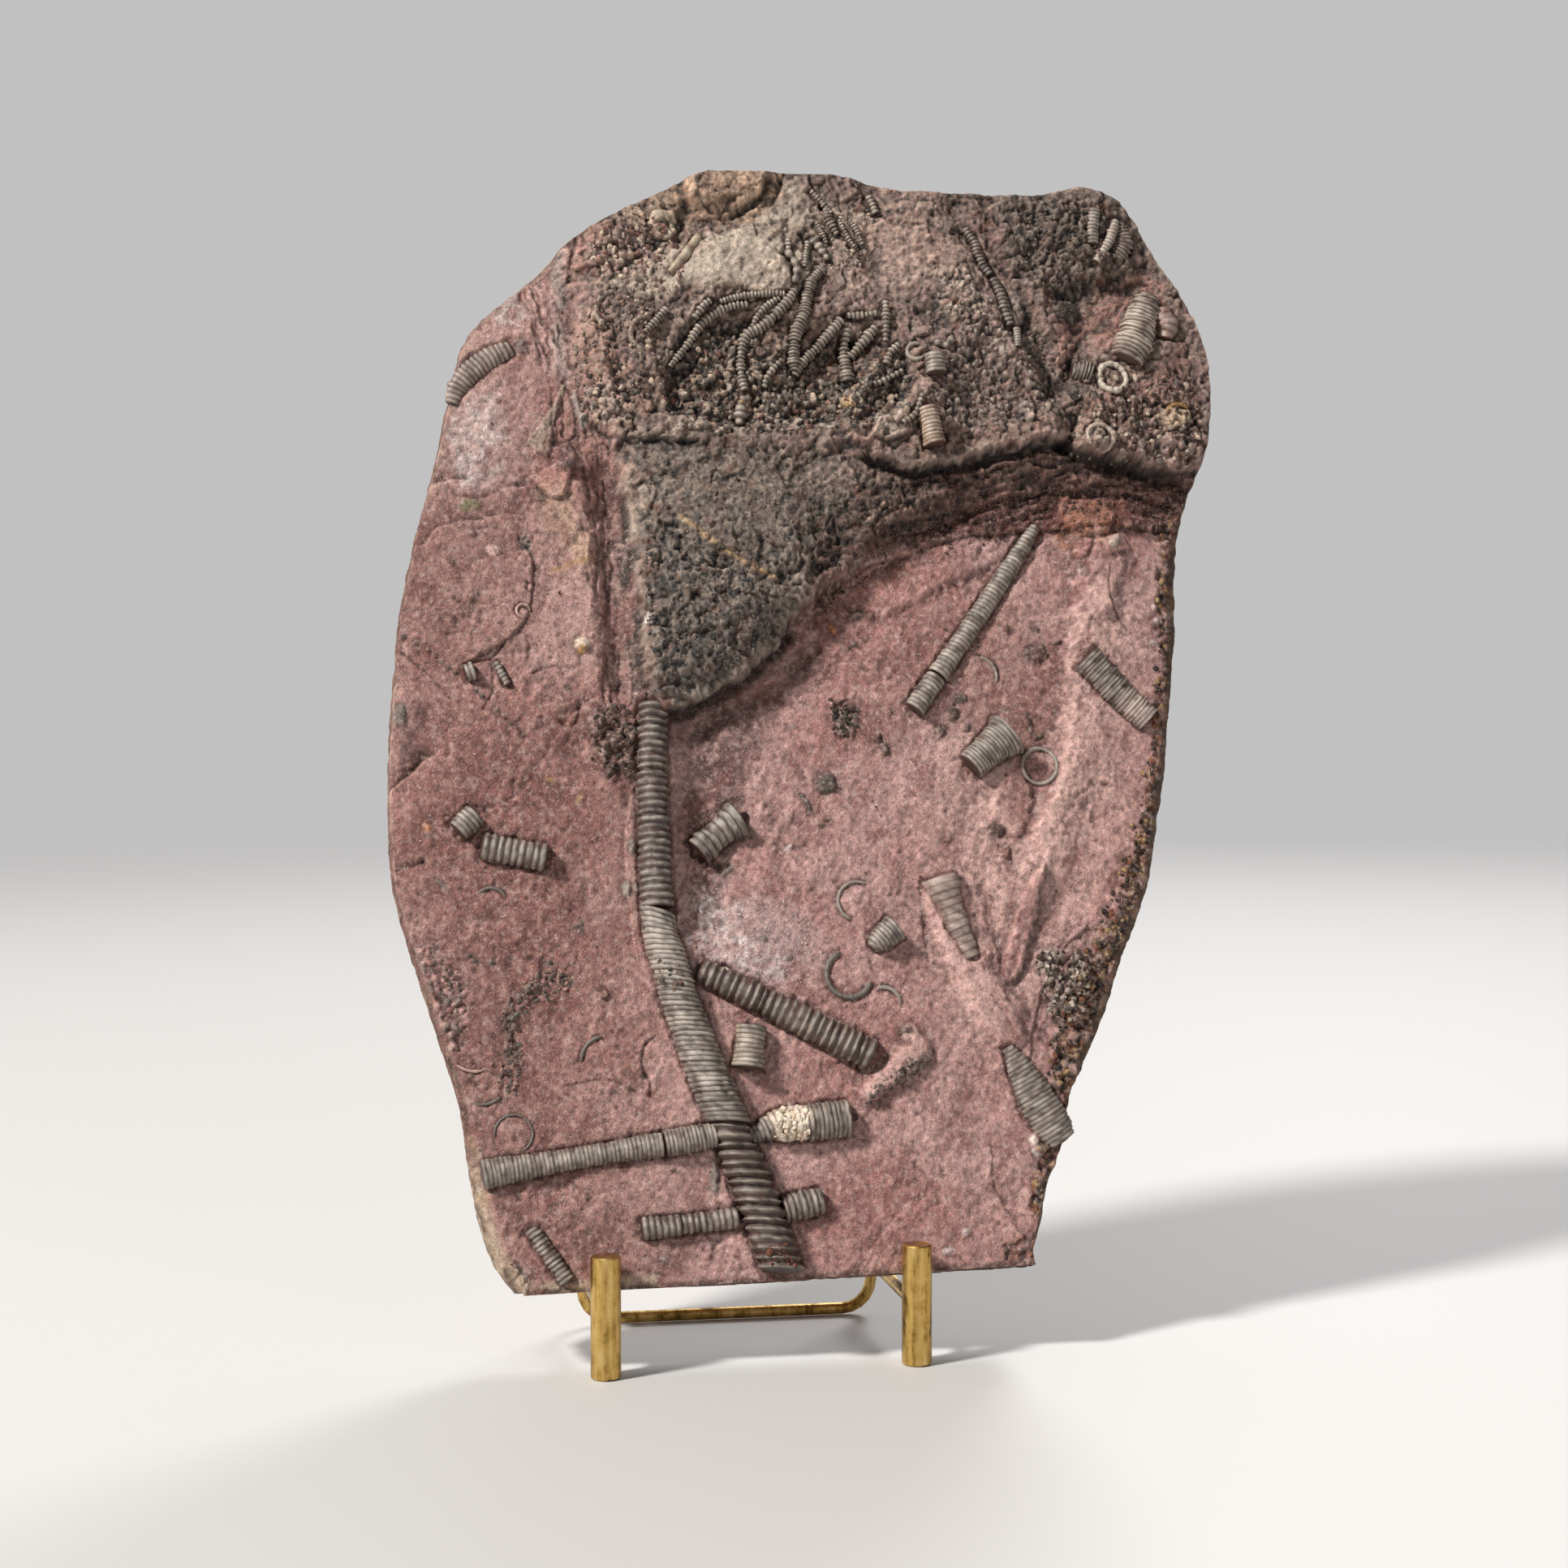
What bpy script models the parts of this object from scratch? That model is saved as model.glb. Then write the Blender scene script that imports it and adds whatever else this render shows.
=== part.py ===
"""A crinoid fossil on a slab of red limestone, leaning on a brass display stand.

Every dimension is written in millimetres, and MM turns it into metres where a mesh is made.
World frame: X to the right, Y to the back, Z up, the floor at Z = 0, the origin under the middle of it all.
Slab frame: s to the right, v up the slab's face from its lower front edge, and height out of the face.
"""
import math

import bpy
import bmesh
import numpy as np
from mathutils import noise
from mathutils.geometry import delaunay_2d_cdt

MM = 0.001

# The stand: round brass rods and bent brass wire
POST_DIAMETER = 9.525
POST_HEIGHT = 38.1
POST_CHAMFER = 0.4
POST_SIDES = 36
POST_SPACING = 99.0
LEFT_POST_X = -77.0
POST_Y = -54.0
WIRE_DIAMETER = 4.0
WIRE_SIDES = 12
ARM_HEIGHT = 18.5
FRAME_DEPTH = 70.0
FRAME_CORNER_RADIUS = 10.0
CORNER_STEPS = 5
GAP = 0.3

# The slab
LEAN = math.radians(14.0)
SLAB_EDGE_HEIGHT = 26.0
FACE_CLEARANCE = 0.7
THICKNESS_LOW = 27.0
THICKNESS_HIGH = 17.0
SLAB_HEIGHT = 376.0

# The slab's edges: the foot's height and bevel, the worn rim, and the rough side walls
FOOT_HEIGHT = 12.0
FOOT_BEVEL = 0.8
RIM_FALL = 0.4
RIM_REACH_LOW = 3.0
RIM_REACH_HIGH = 9.0
RIM_CHANGE_HEIGHT = 250.0
# Each ring of a side wall: its share of the thickness, and how far it stands in from the outline
WALL_RINGS = ((0.22, 0.0), (0.68, 0.5), (1.0, 2.0))
WALL_ROUGHNESS = 1.2
WALL_WAVELENGTH = 14.0
WALL_SEED = 7.0

# How finely the slab is meshed
KNOT_STEPS = 12
EDGE_STEP = 9.0
RIM_CLEARANCE = 1.6
COARSE_GRID = 11.5
FINE_GRID = 7.8
GRID_CLEARANCE = 0.55
GRID_HALF_WIDTH = 150.0
GRID_MARGIN = 10.0
FINE_MARGIN = 13.0
CLIFF_STEP = 6.0
CLIFF_CLEARANCE = 1.4
CLIFF_FOOT = 0.2
CLIFF_TOP_LEAST = 1.5
STRATUM_EDGES = (0.3, -0.9)
SKIRT = 0.45
POINT_CLEARANCE = 0.4
PIECE_STEP = 6.0
PATH_STEP = 1.0
ACROSS = (-0.94, -0.52, 0.0, 0.52, 0.94)
ACROSS_SLENDER = (-0.9, 0.0, 0.9)
SLENDER_RADIUS = 3.0

# The slab's outline from its lower right corner over the top to its lower left corner: s, v and the bevel's width
OUTLINE = [
    (63.5, 2.0, 1.5), (65, 10, 3), (70, 28, 2), (76, 43, 1), (77, 50, 1.5), (84, 66, 3), (95, 88, 4), (104, 110, 4),
    (112, 130, 4), (120, 168, 4), (126, 205, 4), (129, 240, 4), (135, 262, 2), (140.5, 280, 1.5), (142, 300, 1.5),
    (139, 319, 1.5), (130, 339, 2), (117, 360, 2), (108, 367.5, 2), (97, 370.5, 2), (80, 367.5, 2), (62, 367, 2),
    (37, 368.5, 2), (20, 374, 2), (0, 375.8, 2), (-27, 376, 2), (-38, 371.5, 2), (-61, 360, 2), (-80, 349, 2),
    (-90, 338, 2), (-109, 321.5, 1.5), (-116, 311, 1.5), (-119, 300, 1.5), (-125.5, 270, 1.2), (-131, 250, 1.2),
    (-137, 222, 1.2), (-140.5, 190, 1.2), (-142, 160, 1.2), (-141, 131, 1.5), (-136, 110, 2), (-129, 87, 2.5),
    (-121, 60, 3), (-117, 31, 5.5), (-111, 10, 5), (-103, -1.5, 2),
]

# Raised masses: each is a closed outline of s, v and how far in from there the mass takes to reach its full height
CROWN = [
    (-57, 190, 4), (-50, 186, 1.5), (-38, 190, 1.5), (-25, 198, 1.5), (-14, 209, 1.5), (-5, 219, 2.5), (4, 227, 3),
    (14, 233, 5), (27, 239, 12), (60, 250, 20), (100, 256, 24), (150, 264, 24), (175, 330, 24), (150, 420, 24),
    (-100, 420, 12), (-84, 350, 8), (-74, 315, 6), (-68, 280, 5), (-62, 255, 4), (-60, 230, 3), (-59, 205, 3),
]
UPPER_LEDGE = [
    (8, 285, 8), (22, 276, 3), (30, 273, 2), (40, 271, 2), (50, 274, 2), (62, 277, 2), (75, 280, 2), (88, 282, 2),
    (96, 278, 2), (112, 277, 2), (125, 273, 2), (150, 270, 2), (180, 330, 20), (140, 420, 30), (40, 420, 30),
    (20, 340, 30), (8, 310, 20),
]
LOBE = [
    (57, 168, 8), (54, 155, 5), (58, 146, 3), (66, 143, 2.5), (71, 150, 2.5), (72, 160, 3), (70, 170, 6), (64, 175, 8),
]
MASSES = [(CROWN, 8.5), (UPPER_LEDGE, 4.0), (LOBE, 1.6)]

# Long swells and hollows: a path of s and v, the half width and the height
SWELLS = [
    ([(-46, 200), (-36, 225), (-22, 255), (-8, 290)], 24, 4.5),
    ([(-40, 330), (0, 335), (45, 325)], 26, 2.0),
    ([(99, 262), (97, 225), (90, 180), (80, 145), (66, 112), (52, 85)], 15, 3.0),
    ([(69, 138), (65, 120), (60, 97)], 4, 2.0),
    ([(34, 124), (42, 112), (52, 90), (62, 70)], 9, 1.6),
    ([(-52, 184), (-30, 192), (-8, 210), (8, 222)], 10, -4.0),
    ([(-42, 180), (-40, 150), (-38, 118)], 9, -4.0),
    ([(-70, 268), (-67, 235), (-66, 195)], 5, -4.5),
    ([(-78, 262), (-76, 225), (-74, 195)], 4, 1.5),
    ([(-143, 158), (-134, 170), (-128, 184)], 6, -2.2),
    ([(-112, 205), (-104, 216), (-99, 232)], 7, 1.2),
    ([(-86, 97), (-98, 92), (-105, 83), (-107, 68)], 3, 1.4),
    ([(12, 60), (20, 68), (27, 75)], 4, 2.6),
    ([(80, 100), (79, 92), (77, 84)], 6, 1.6),
    ([(60, 12), (64, 24)], 6, 1.6),
    ([(-80, 30), (-60, 60), (-80, 120)], 30, 0.8),
    ([(20, 40), (40, 30)], 22, 1.0),
]

# Height, wavelength and seed of the rock's unevenness: everywhere, and on top of that over the crown
GENTLE_WAVES = ((1.1, 61.0, 0.0), (0.6, 27.0, 40.0))
CROWN_LUMPS = ((4.0, 34.0, 11.0), (3.2, 16.0, 23.0))

# The layered ledges under the crown's right half: a path of s and v, and the drop below it
STRATA = [
    ([(30, 262), (60, 268), (88, 273), (112, 270), (142, 263)], 1.6),
    ([(20, 247), (48, 255), (80, 262), (112, 262), (140, 255)], 1.6),
    ([(8, 228), (35, 241), (60, 248), (95, 250), (134, 250)], 1.4),
]
STRATUM_REACH = 9.0


def piece(path, pitch=0.0, depth=0.0, lift=0.0, fullness=1.0):
    """A round stem piece lying in the face: s, v and radius along it, and how its rings stand out."""
    return {"path": path, "pitch": pitch, "depth": depth, "lift": lift, "fullness": fullness}


# The long stem in two lengths: fine rings above, strong ones below
STEM_UPPER = piece(
    [(-55, 188, 4.8), (-56.5, 165, 5.2), (-56.5, 150, 5.4), (-56.5, 135, 5.5), (-55.5, 115, 5.7), (-53, 103, 5.9),
     (-50, 91, 6.1), (-46, 79, 6.3), (-42, 67, 6.5), (-37, 54, 6.7), (-35.5, 50, 6.8)],
    pitch=5.0, depth=1.0, lift=1.6)
STEM_LOWER = piece(
    [(-35.5, 50, 6.9), (-34, 46, 7.0), (-30, 34, 7.2), (-26, 22, 7.3), (-22.5, 11, 7.3), (-20, 3.5, 7.1)],
    pitch=3.4, depth=1.0, lift=1.2)

# The loose stem pieces
LOOSE_PIECES = [
    piece([(75, 246, 2.8), (70, 238, 3.3), (50, 210, 3.5), (31, 184.5, 3.6)], 5.0, 0.3, 0.3),
    piece([(92.8, 204, 5.8), (103, 193, 5.4), (113.5, 182.5, 4.5)], 3.6, 0.35, 0.3),
    piece([(50.3, 166.6, 5.1), (57, 172, 5.8), (63.6, 177.6, 7.4)], 2.4, 0.4, 0.6),
    piece([(-42.5, 138.5, 5.0), (-35.5, 144.5, 4.7), (-29.5, 148.7, 6.8)], 0, 0, 1.0),
    piece([(-42, 99.5, 4.4), (-30, 93.5, 4.7), (-9, 82.5, 5.3), (12, 71.3, 5.6)], 2.6, 0.8, 0.4),
    piece([(-27, 81.7, 4.9), (-28, 75, 5.0), (-28.2, 68.7, 5.0)], 2.6, 0.5, 0.8),
    piece([(-114, 37, 4.8), (-100, 39, 3.9), (-82, 41.7, 3.3), (-62, 44.2, 4.0), (-46, 46.2, 4.2)], 0, 0, 0.5),
    piece([(-24, 49, 5.0), (-10, 50, 5.8), (3.4, 51.3, 6.1)], 0, 0, 0.6),
    piece([(-64.5, 18.5, 3.8), (-52, 19.3, 3.4)], 2.4, 0.5, 0.2),
    piece([(-49, 19.5, 3.2), (-34, 21, 3.7)], 2.4, 0.5, 0.2),
    piece([(-19.5, 23, 4.6), (-6.3, 25.4, 4.6)], 2.6, 0.4, 0.4),
    piece([(-99.3, 20, 2.4), (-94, 12, 2.6), (-88.2, 3.2, 2.6)], 3.4, 0.3, 0.2),
    piece([(-112, 141.5, 4.6), (-91.7, 137.2, 4.6)], 2.5, 0.7, 0.6),
    piece([(-119.7, 146.4, 4.0), (-113.8, 152.0, 4.0)], 2.4, 0.4, 0.5),
    piece([(16, 108.2, 3.6), (22, 113, 4.8)], 2.2, 0.4, 0.8),
    piece([(59, 71, 4.6), (63.5, 63, 5.4), (68, 54, 6.0), (70, 43, 5.4)], 2.8, 0.6, 0.0),
    piece([(38.2, 127.8, 5.8), (41, 120, 4.2), (48, 104, 3.0)], 0, 0, 0.4, 0.8),
    piece([(-118, 296, 2.6), (-112, 303.5, 2.8), (-105, 308, 2.8), (-99, 311, 2.6)], 3.2, 0.4, 0.3),
    piece([(126, 336, 5.0), (121, 325, 5.0), (115, 313, 4.6)], 2.8, 0.6, 0.2),
    piece([(46, 311, 3.4), (46, 304.5, 3.4)], 0, 0, 0.8),
    piece([(45, 292.5, 3.2), (44, 280, 3.2)], 2.6, 0.4, 0.6),
    piece([(-34.5, 100, 1.2), (-36, 97, 1.4)], 0, 0, 0.3),
]

# The crown's ribbed arms
ARMS = [
    piece([(-7, 332, 1.8), (-15, 331.5, 1.8), (-28, 329, 1.7)]),
    piece([(-19, 328, 1.7), (-32, 324, 1.9), (-39, 315, 1.9), (-45, 304, 1.6)]),
    piece([(-1, 333, 1.8), (-9, 323, 2.0), (-19, 316, 2.0), (-21, 304, 2.0), (-21.5, 291, 1.9)]),
    piece([(7, 340, 1.8), (2, 328, 2.0), (-3, 312, 2.0), (-2, 303, 1.9)]),
    piece([(14, 323, 1.8), (5, 313, 1.9), (-1, 305, 1.9)]),
    piece([(27, 326, 1.7), (15, 325, 1.7)]),
    piece([(29, 330, 1.8), (29, 315, 1.8)]),
    piece([(16, 320, 1.9), (14, 308, 2.0), (15, 300, 2.0)]),
    piece([(26, 320, 1.8), (18, 311, 1.9)]),
    piece([(34, 315, 1.7), (28, 306, 1.7)]),
    piece([(10, 363, 1.6), (14, 355, 1.6)]),
    piece([(62, 358, 1.8), (68, 345, 2.0), (72, 332, 2.0)]),
    piece([(113, 362, 1.8), (109, 352, 1.8), (105, 347, 1.6)]),
    piece([(-47, 325, 1.8), (-53, 318, 1.8)]),
]
ARM_LIFT = 1.4

STONE_COLOUR = (0.42, 0.22, 0.19, 1.0)
BRASS_COLOUR = (0.50, 0.36, 0.13, 1.0)


def smooth_path(points, step, closed=False):
    """Points about every `step` along the Catmull-Rom curve through `points`, with any further columns."""
    knots = np.array(points, dtype=float)
    if closed:
        knots = np.vstack([knots[-1:], knots, knots[:2]])
    else:
        knots = np.vstack([2 * knots[0] - knots[1], knots, 2 * knots[-1] - knots[-2]])
    fine = []
    for a, b, c, d in zip(knots, knots[1:], knots[2:], knots[3:]):
        for t in np.linspace(0, 1, KNOT_STEPS, endpoint=False):
            fine.append(b + 0.5 * t * (c - a + t * (2 * a - 5 * b + 4 * c - d + t * (3 * (b - c) + d - a))))
    fine.append(knots[-2])
    fine = np.array(fine)
    arc = np.concatenate([[0], np.cumsum(np.hypot(*np.diff(fine[:, :2], axis=0).T))])
    count = max(2, round(arc[-1] / step) + 1)
    places = np.linspace(0, arc[-1], count)
    if closed:
        places = places[:-1]
    return np.stack([np.interp(places, arc, column) for column in fine.T], axis=1)


def nearest(points, path, closed=False):
    """For each point: how far the path is, the arc length there, the overshoot past its ends, and its last column."""
    ends = np.vstack([path[1:], path[:1]]) if closed else path[1:]
    starts = path if closed else path[:-1]
    distance = np.full(len(points), np.inf)
    along = np.zeros(len(points))
    over = np.zeros(len(points))
    value = np.zeros(len(points))
    arc = 0.0
    for i, (a, b) in enumerate(zip(starts, ends)):
        run = b[:2] - a[:2]
        length = np.hypot(*run)
        raw = (points - a[:2]) @ run / length ** 2
        t = np.clip(raw, 0, 1)
        gap = np.hypot(*(points - a[:2] - t[:, None] * run).T)
        past = np.zeros(len(points))
        if not closed and i == 0:
            past = np.maximum(past, -raw * length)
        if not closed and i == len(starts) - 1:
            past = np.maximum(past, (raw - 1) * length)
        closer = gap < distance
        distance[closer] = gap[closer]
        along[closer] = arc + (t * length)[closer]
        over[closer] = past[closer]
        value[closer] = (a[2] + t * (b[2] - a[2]))[closer]
        arc += length
    return distance, along, over, value


def inside(points, polygon):
    """Which points lie inside a closed polygon."""
    within = np.zeros(len(points), dtype=bool)
    s, v = points.T
    for (s0, v0), (s1, v1) in zip(polygon[:, :2], np.roll(polygon[:, :2], -1, axis=0)):
        crosses = (v0 > v) != (v1 > v)
        if crosses.any():
            at = s0 + (v[crosses] - v0) * (s1 - s0) / (v1 - v0)
            within[np.flatnonzero(crosses)[s[crosses] < at]] ^= True
    return within


def ease(x):
    """A smooth rise from 0 to 1."""
    x = np.clip(x, 0, 1)
    return x * x * (3 - 2 * x)


def waves(points, size, wavelength, seed):
    """Smooth random unevenness."""
    return size * np.array([noise.noise((s / wavelength, v / wavelength, seed)) for s, v in points])


def mass_share(points, outline):
    """How far a raised mass has risen at each point, from 0 outside it to 1."""
    outline = smooth_path(outline, CLIFF_STEP, closed=True)
    distance, _, _, width = nearest(points, outline, closed=True)
    return ease(distance / np.maximum(width, 0.5)) * inside(points, outline)


def bed_height(points):
    """The height of the rock itself, without the stem pieces that lie in it."""
    height = sum(waves(points, *wave) for wave in GENTLE_WAVES)
    for outline, rise in MASSES:
        height += rise * mass_share(points, outline)
    lumps = sum(waves(points, *wave) for wave in CROWN_LUMPS)
    height += lumps * mass_share(points, CROWN)
    for path, drop in STRATA:
        path = smooth_path([(s, v, 0) for s, v in path], CLIFF_STEP)
        distance, _, over, _ = nearest(points, path)
        below = points[:, 1] < np.interp(points[:, 0], path[:, 0], path[:, 1])
        height -= drop * np.exp(-distance / STRATUM_REACH) * (below & (over <= 0))
    for path, half_width, rise in SWELLS:
        path = smooth_path([(s, v, half_width) for s, v in path], CLIFF_STEP)
        distance, _, _, _ = nearest(points, path)
        height += rise * np.exp(-(distance / half_width) ** 2)
    return height


def path_length(path):
    """The length of a polyline."""
    return np.hypot(*np.diff(path[:, :2], axis=0).T).sum()


def row_spacing(stem):
    """The exact spacing of the rows that mesh a stem piece: half a ring, where it has rings."""
    length = path_length(smooth_path(stem["path"], PATH_STEP / 2))
    wanted = stem["pitch"] / 2 if stem["pitch"] else PIECE_STEP
    return length / max(1, round(length / wanted))


def piece_height(stem, points):
    """The height of a stem piece's upper side, or minus infinity outside it."""
    path = smooth_path(stem["path"], PATH_STEP)
    distance, along, over, radius = nearest(points, path)
    if stem["pitch"]:
        radius = radius - stem["depth"] * (0.5 - 0.5 * np.cos(math.pi * along / row_spacing(stem)))
    covered = (distance < radius) & (over <= 1e-6)
    height = np.full(len(points), -np.inf)
    if covered.any():
        arcs = np.linspace(0, path_length(path), len(path))
        under = np.interp(along[covered], arcs, bed_height(path[:, :2]))
        dome = np.sqrt(radius[covered] ** 2 - distance[covered] ** 2)
        height[covered] = under + stem["lift"] + stem["fullness"] * dome
    return height


def piece_points(stem):
    """Points over a stem piece: rows across it at each ring and each groove, and a skirt beside it on the bed."""
    rows = smooth_path(stem["path"], row_spacing(stem))
    aside = aside_of(rows)
    spread = ACROSS_SLENDER if rows[:, 2].max() < SLENDER_RADIUS else ACROSS
    found = []
    for i, (row, side) in enumerate(zip(rows, aside)):
        groove = stem["depth"] if stem["pitch"] and i % 2 else 0.0
        radius = row[2] - groove
        found += [row[:2] + side * radius * across for across in spread]
        if i % 2 == 0 or not stem["pitch"]:
            found += [row[:2] + side * (row[2] + SKIRT) * sign for sign in (-1, 1)]
    for row, side, sign in ((rows[0], aside[0], -1), (rows[-1], aside[-1], 1)):
        beyond = row[:2] + SKIRT * sign * np.array([-side[1], side[0]])
        found += [beyond + side * (row[2] + SKIRT) * across for across in spread]
    return np.array(found)


def aside_of(path, closed=False):
    """The direction to the right of a path at each of its points."""
    if closed:
        heading = np.roll(path[:, :2], -1, axis=0) - np.roll(path[:, :2], 1, axis=0)
    else:
        heading = np.gradient(path[:, :2], axis=0)
    heading /= np.hypot(*heading.T)[:, None]
    return np.stack([heading[:, 1], -heading[:, 0]], axis=1)


def triangular_grid(step):
    """Points of an even triangular grid over the whole face."""
    grid = []
    for j, v in enumerate(np.arange(-GRID_MARGIN, SLAB_HEIGHT + GRID_MARGIN, step * math.sqrt(3) / 2)):
        grid += [(s, v) for s in np.arange(-GRID_HALF_WIDTH + step / 2 * (j % 2), GRID_HALF_WIDTH, step)]
    return grid


def slab_rim():
    """The outline in the plane of the face, its outward direction and its bevel's width at each point."""
    arch = smooth_path(OUTLINE, EDGE_STEP)
    first, last = arch[0], arch[-1]
    count = round(np.hypot(*(first - last)[:2]) / EDGE_STEP)
    foot = [last + (first - last) * i / count for i in range(1, count)]
    rim = np.vstack([arch, foot])
    rim[len(arch):, 2] = FOOT_BEVEL
    return rim, aside_of(rim, True)


def thin_out(kept, more, clearance):
    """Adds to `kept` each of `more` that is no closer than `clearance` to a point that is already there."""
    cells = {}
    for s, v in kept:
        cells.setdefault((int(s // clearance), int(v // clearance)), []).append((s, v))
    for s, v in more:
        i, j = int(s // clearance), int(v // clearance)
        around = [p for a in (-1, 0, 1) for b in (-1, 0, 1) for p in cells.get((i + a, j + b), ())]
        if all((s - p[0]) ** 2 + (v - p[1]) ** 2 >= clearance ** 2 for p in around):
            cells.setdefault((i, j), []).append((s, v))
            kept.append((s, v))
    return kept


def face_points(front_rim):
    """Every point of the face's mesh inside its rim: pieces first, then cliffs, then an even triangular grid."""
    pieces = [STEM_UPPER, STEM_LOWER] + LOOSE_PIECES + ARMS
    points = []
    for i, stem in enumerate(pieces):
        fresh = piece_points(stem)
        for other in pieces[:i]:
            distance, _, over, radius = nearest(fresh, smooth_path(other["path"], PATH_STEP))
            fresh = fresh[(distance > radius + SKIRT / 2) | (over > SKIRT / 2)]
        points = thin_out(points, [tuple(p) for p in fresh], POINT_CLEARANCE)
    for outline, _ in MASSES:
        cliff = smooth_path(outline, CLIFF_STEP, closed=True)
        aside = aside_of(cliff, True)
        for offset in (CLIFF_FOOT, -np.clip(cliff[:, 2:], CLIFF_TOP_LEAST, CLIFF_STEP)):
            edge = cliff[:, :2] + aside * offset
            points = thin_out(points, [tuple(p) for p in edge], CLIFF_CLEARANCE)
    for path, _ in STRATA:
        ledge = smooth_path([(s, v, 0) for s, v in path], CLIFF_STEP)
        for offset in STRATUM_EDGES:
            points = thin_out(points, [(s, v + offset) for s, v in ledge[:, :2]], CLIFF_CLEARANCE / 2)
    fine = np.array(triangular_grid(FINE_GRID))
    crown_edge = smooth_path(CROWN, CLIFF_STEP, closed=True)
    distance, _, _, _ = nearest(fine, crown_edge, closed=True)
    rough = inside(fine, crown_edge) | (distance < FINE_MARGIN)
    points = thin_out(points, [tuple(p) for p in fine[rough]], FINE_GRID * GRID_CLEARANCE)
    points = np.array(thin_out(points, triangular_grid(COARSE_GRID), COARSE_GRID * GRID_CLEARANCE))
    distance, _, _, _ = nearest(points, front_rim, closed=True)
    return points[inside(points, front_rim) & (distance > RIM_CLEARANCE)]


def make_object(name, vertices, faces, material):
    """A mesh object from vertices in millimetres, with its faces pointing out."""
    mesh = bpy.data.meshes.new(name)
    mesh.from_pydata([tuple(c * MM for c in vertex) for vertex in vertices], [], faces)
    builder = bmesh.new()
    builder.from_mesh(mesh)
    bmesh.ops.recalc_face_normals(builder, faces=builder.faces)
    builder.to_mesh(mesh)
    builder.free()
    mesh.materials.append(material)
    made = bpy.data.objects.new(name, mesh)
    bpy.context.scene.collection.objects.link(made)
    return made


def principled(name, colour, roughness, metallic):
    """A plain Principled material."""
    material = bpy.data.materials.new(name)
    material.use_nodes = True
    shader = material.node_tree.nodes["Principled BSDF"]
    shader.inputs["Base Color"].default_value = colour
    shader.inputs["Roughness"].default_value = roughness
    shader.inputs["Metallic"].default_value = metallic
    material.diffuse_color = colour
    return material


def thickness(v):
    """The slab's thickness below its face: it thins towards the top."""
    return THICKNESS_LOW + (THICKNESS_HIGH - THICKNESS_LOW) * v / SLAB_HEIGHT


def back_foot():
    """How far up the slab the lower edge of its back is, so that the edge clears the arms by the gap."""
    arm_top = ARM_HEIGHT + WIRE_DIAMETER / 2
    edge = SLAB_EDGE_HEIGHT - THICKNESS_LOW * math.sin(LEAN)
    return (arm_top + GAP - edge) / math.cos(LEAN)


def make_slab(material):
    """The slab: a relief face, rough side walls and a flat back, in one closed skin."""
    rim, outward = slab_rim()
    count = len(rim)
    front = np.column_stack([rim[:, :2] - outward * rim[:, 2:], np.zeros(count)])
    inner = face_points(front)
    flat = np.vstack([front[:, :2], inner])
    edges = [(i, (i + 1) % count) for i in range(count)]
    verts, _, faces, origins, _, _ = delaunay_2d_cdt([tuple(p) for p in flat], edges, [], 1, 1e-5)
    assert len(verts) == len(flat), "two points of the face coincide"
    order = [group[0] for group in origins]
    faces = [tuple(order[i] for i in face) for face in faces]

    height = bed_height(flat)
    for stem in [STEM_UPPER, STEM_LOWER] + LOOSE_PIECES:
        height = np.maximum(height, piece_height(stem, flat))
    for arm in ARMS:
        height = np.maximum(height, piece_height({**arm, "lift": ARM_LIFT}, flat))
    edge_distance, _, _, _ = nearest(flat, front, closed=True)
    reach = np.where(flat[:, 1] > RIM_CHANGE_HEIGHT, RIM_REACH_HIGH, RIM_REACH_LOW)
    height -= reach * RIM_FALL * (1 - ease(edge_distance / reach)) * (flat[:, 1] > FOOT_HEIGHT)

    vertices = [(s, -h, v) for (s, v), h in zip(flat, height)]
    depth = thickness(rim[:, 1])
    lowest = back_foot()
    rings = [list(range(count))]
    for share, inset in WALL_RINGS:
        start = len(vertices)
        for i, (point, out) in enumerate(zip(rim[:, :2], outward)):
            place = point / WALL_WAVELENGTH
            rough = WALL_ROUGHNESS * abs(noise.noise((place[0], place[1], WALL_SEED * share)))
            spot = point - out * (inset + (rough if share < 1 else 0))
            v = max(spot[1], lowest * share) if point[1] < FOOT_HEIGHT else spot[1]
            vertices.append((spot[0], depth[i] * share, v))
        rings.append(list(range(start, start + count)))
    for above, below in zip(rings, rings[1:]):
        for i in range(count):
            j = (i + 1) % count
            faces += [(above[i], above[j], below[j]), (above[i], below[j], below[i])]
    faces.append(tuple(reversed(rings[-1])))

    slab = make_object("fossil_slab", vertices, faces, material)
    builder = bmesh.new()
    builder.from_mesh(slab.data)
    bmesh.ops.triangulate(builder, faces=[face for face in builder.faces if len(face.verts) > 3])
    builder.to_mesh(slab.data)
    builder.free()
    slab.data.shade_smooth()
    slab.data.set_sharp_from_angle(angle=math.radians(40))
    slab.location = (0, (POST_Y + POST_DIAMETER / 2 + FACE_CLEARANCE) * MM, SLAB_EDGE_HEIGHT * MM)
    slab.rotation_euler = (-LEAN, 0, 0)


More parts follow.
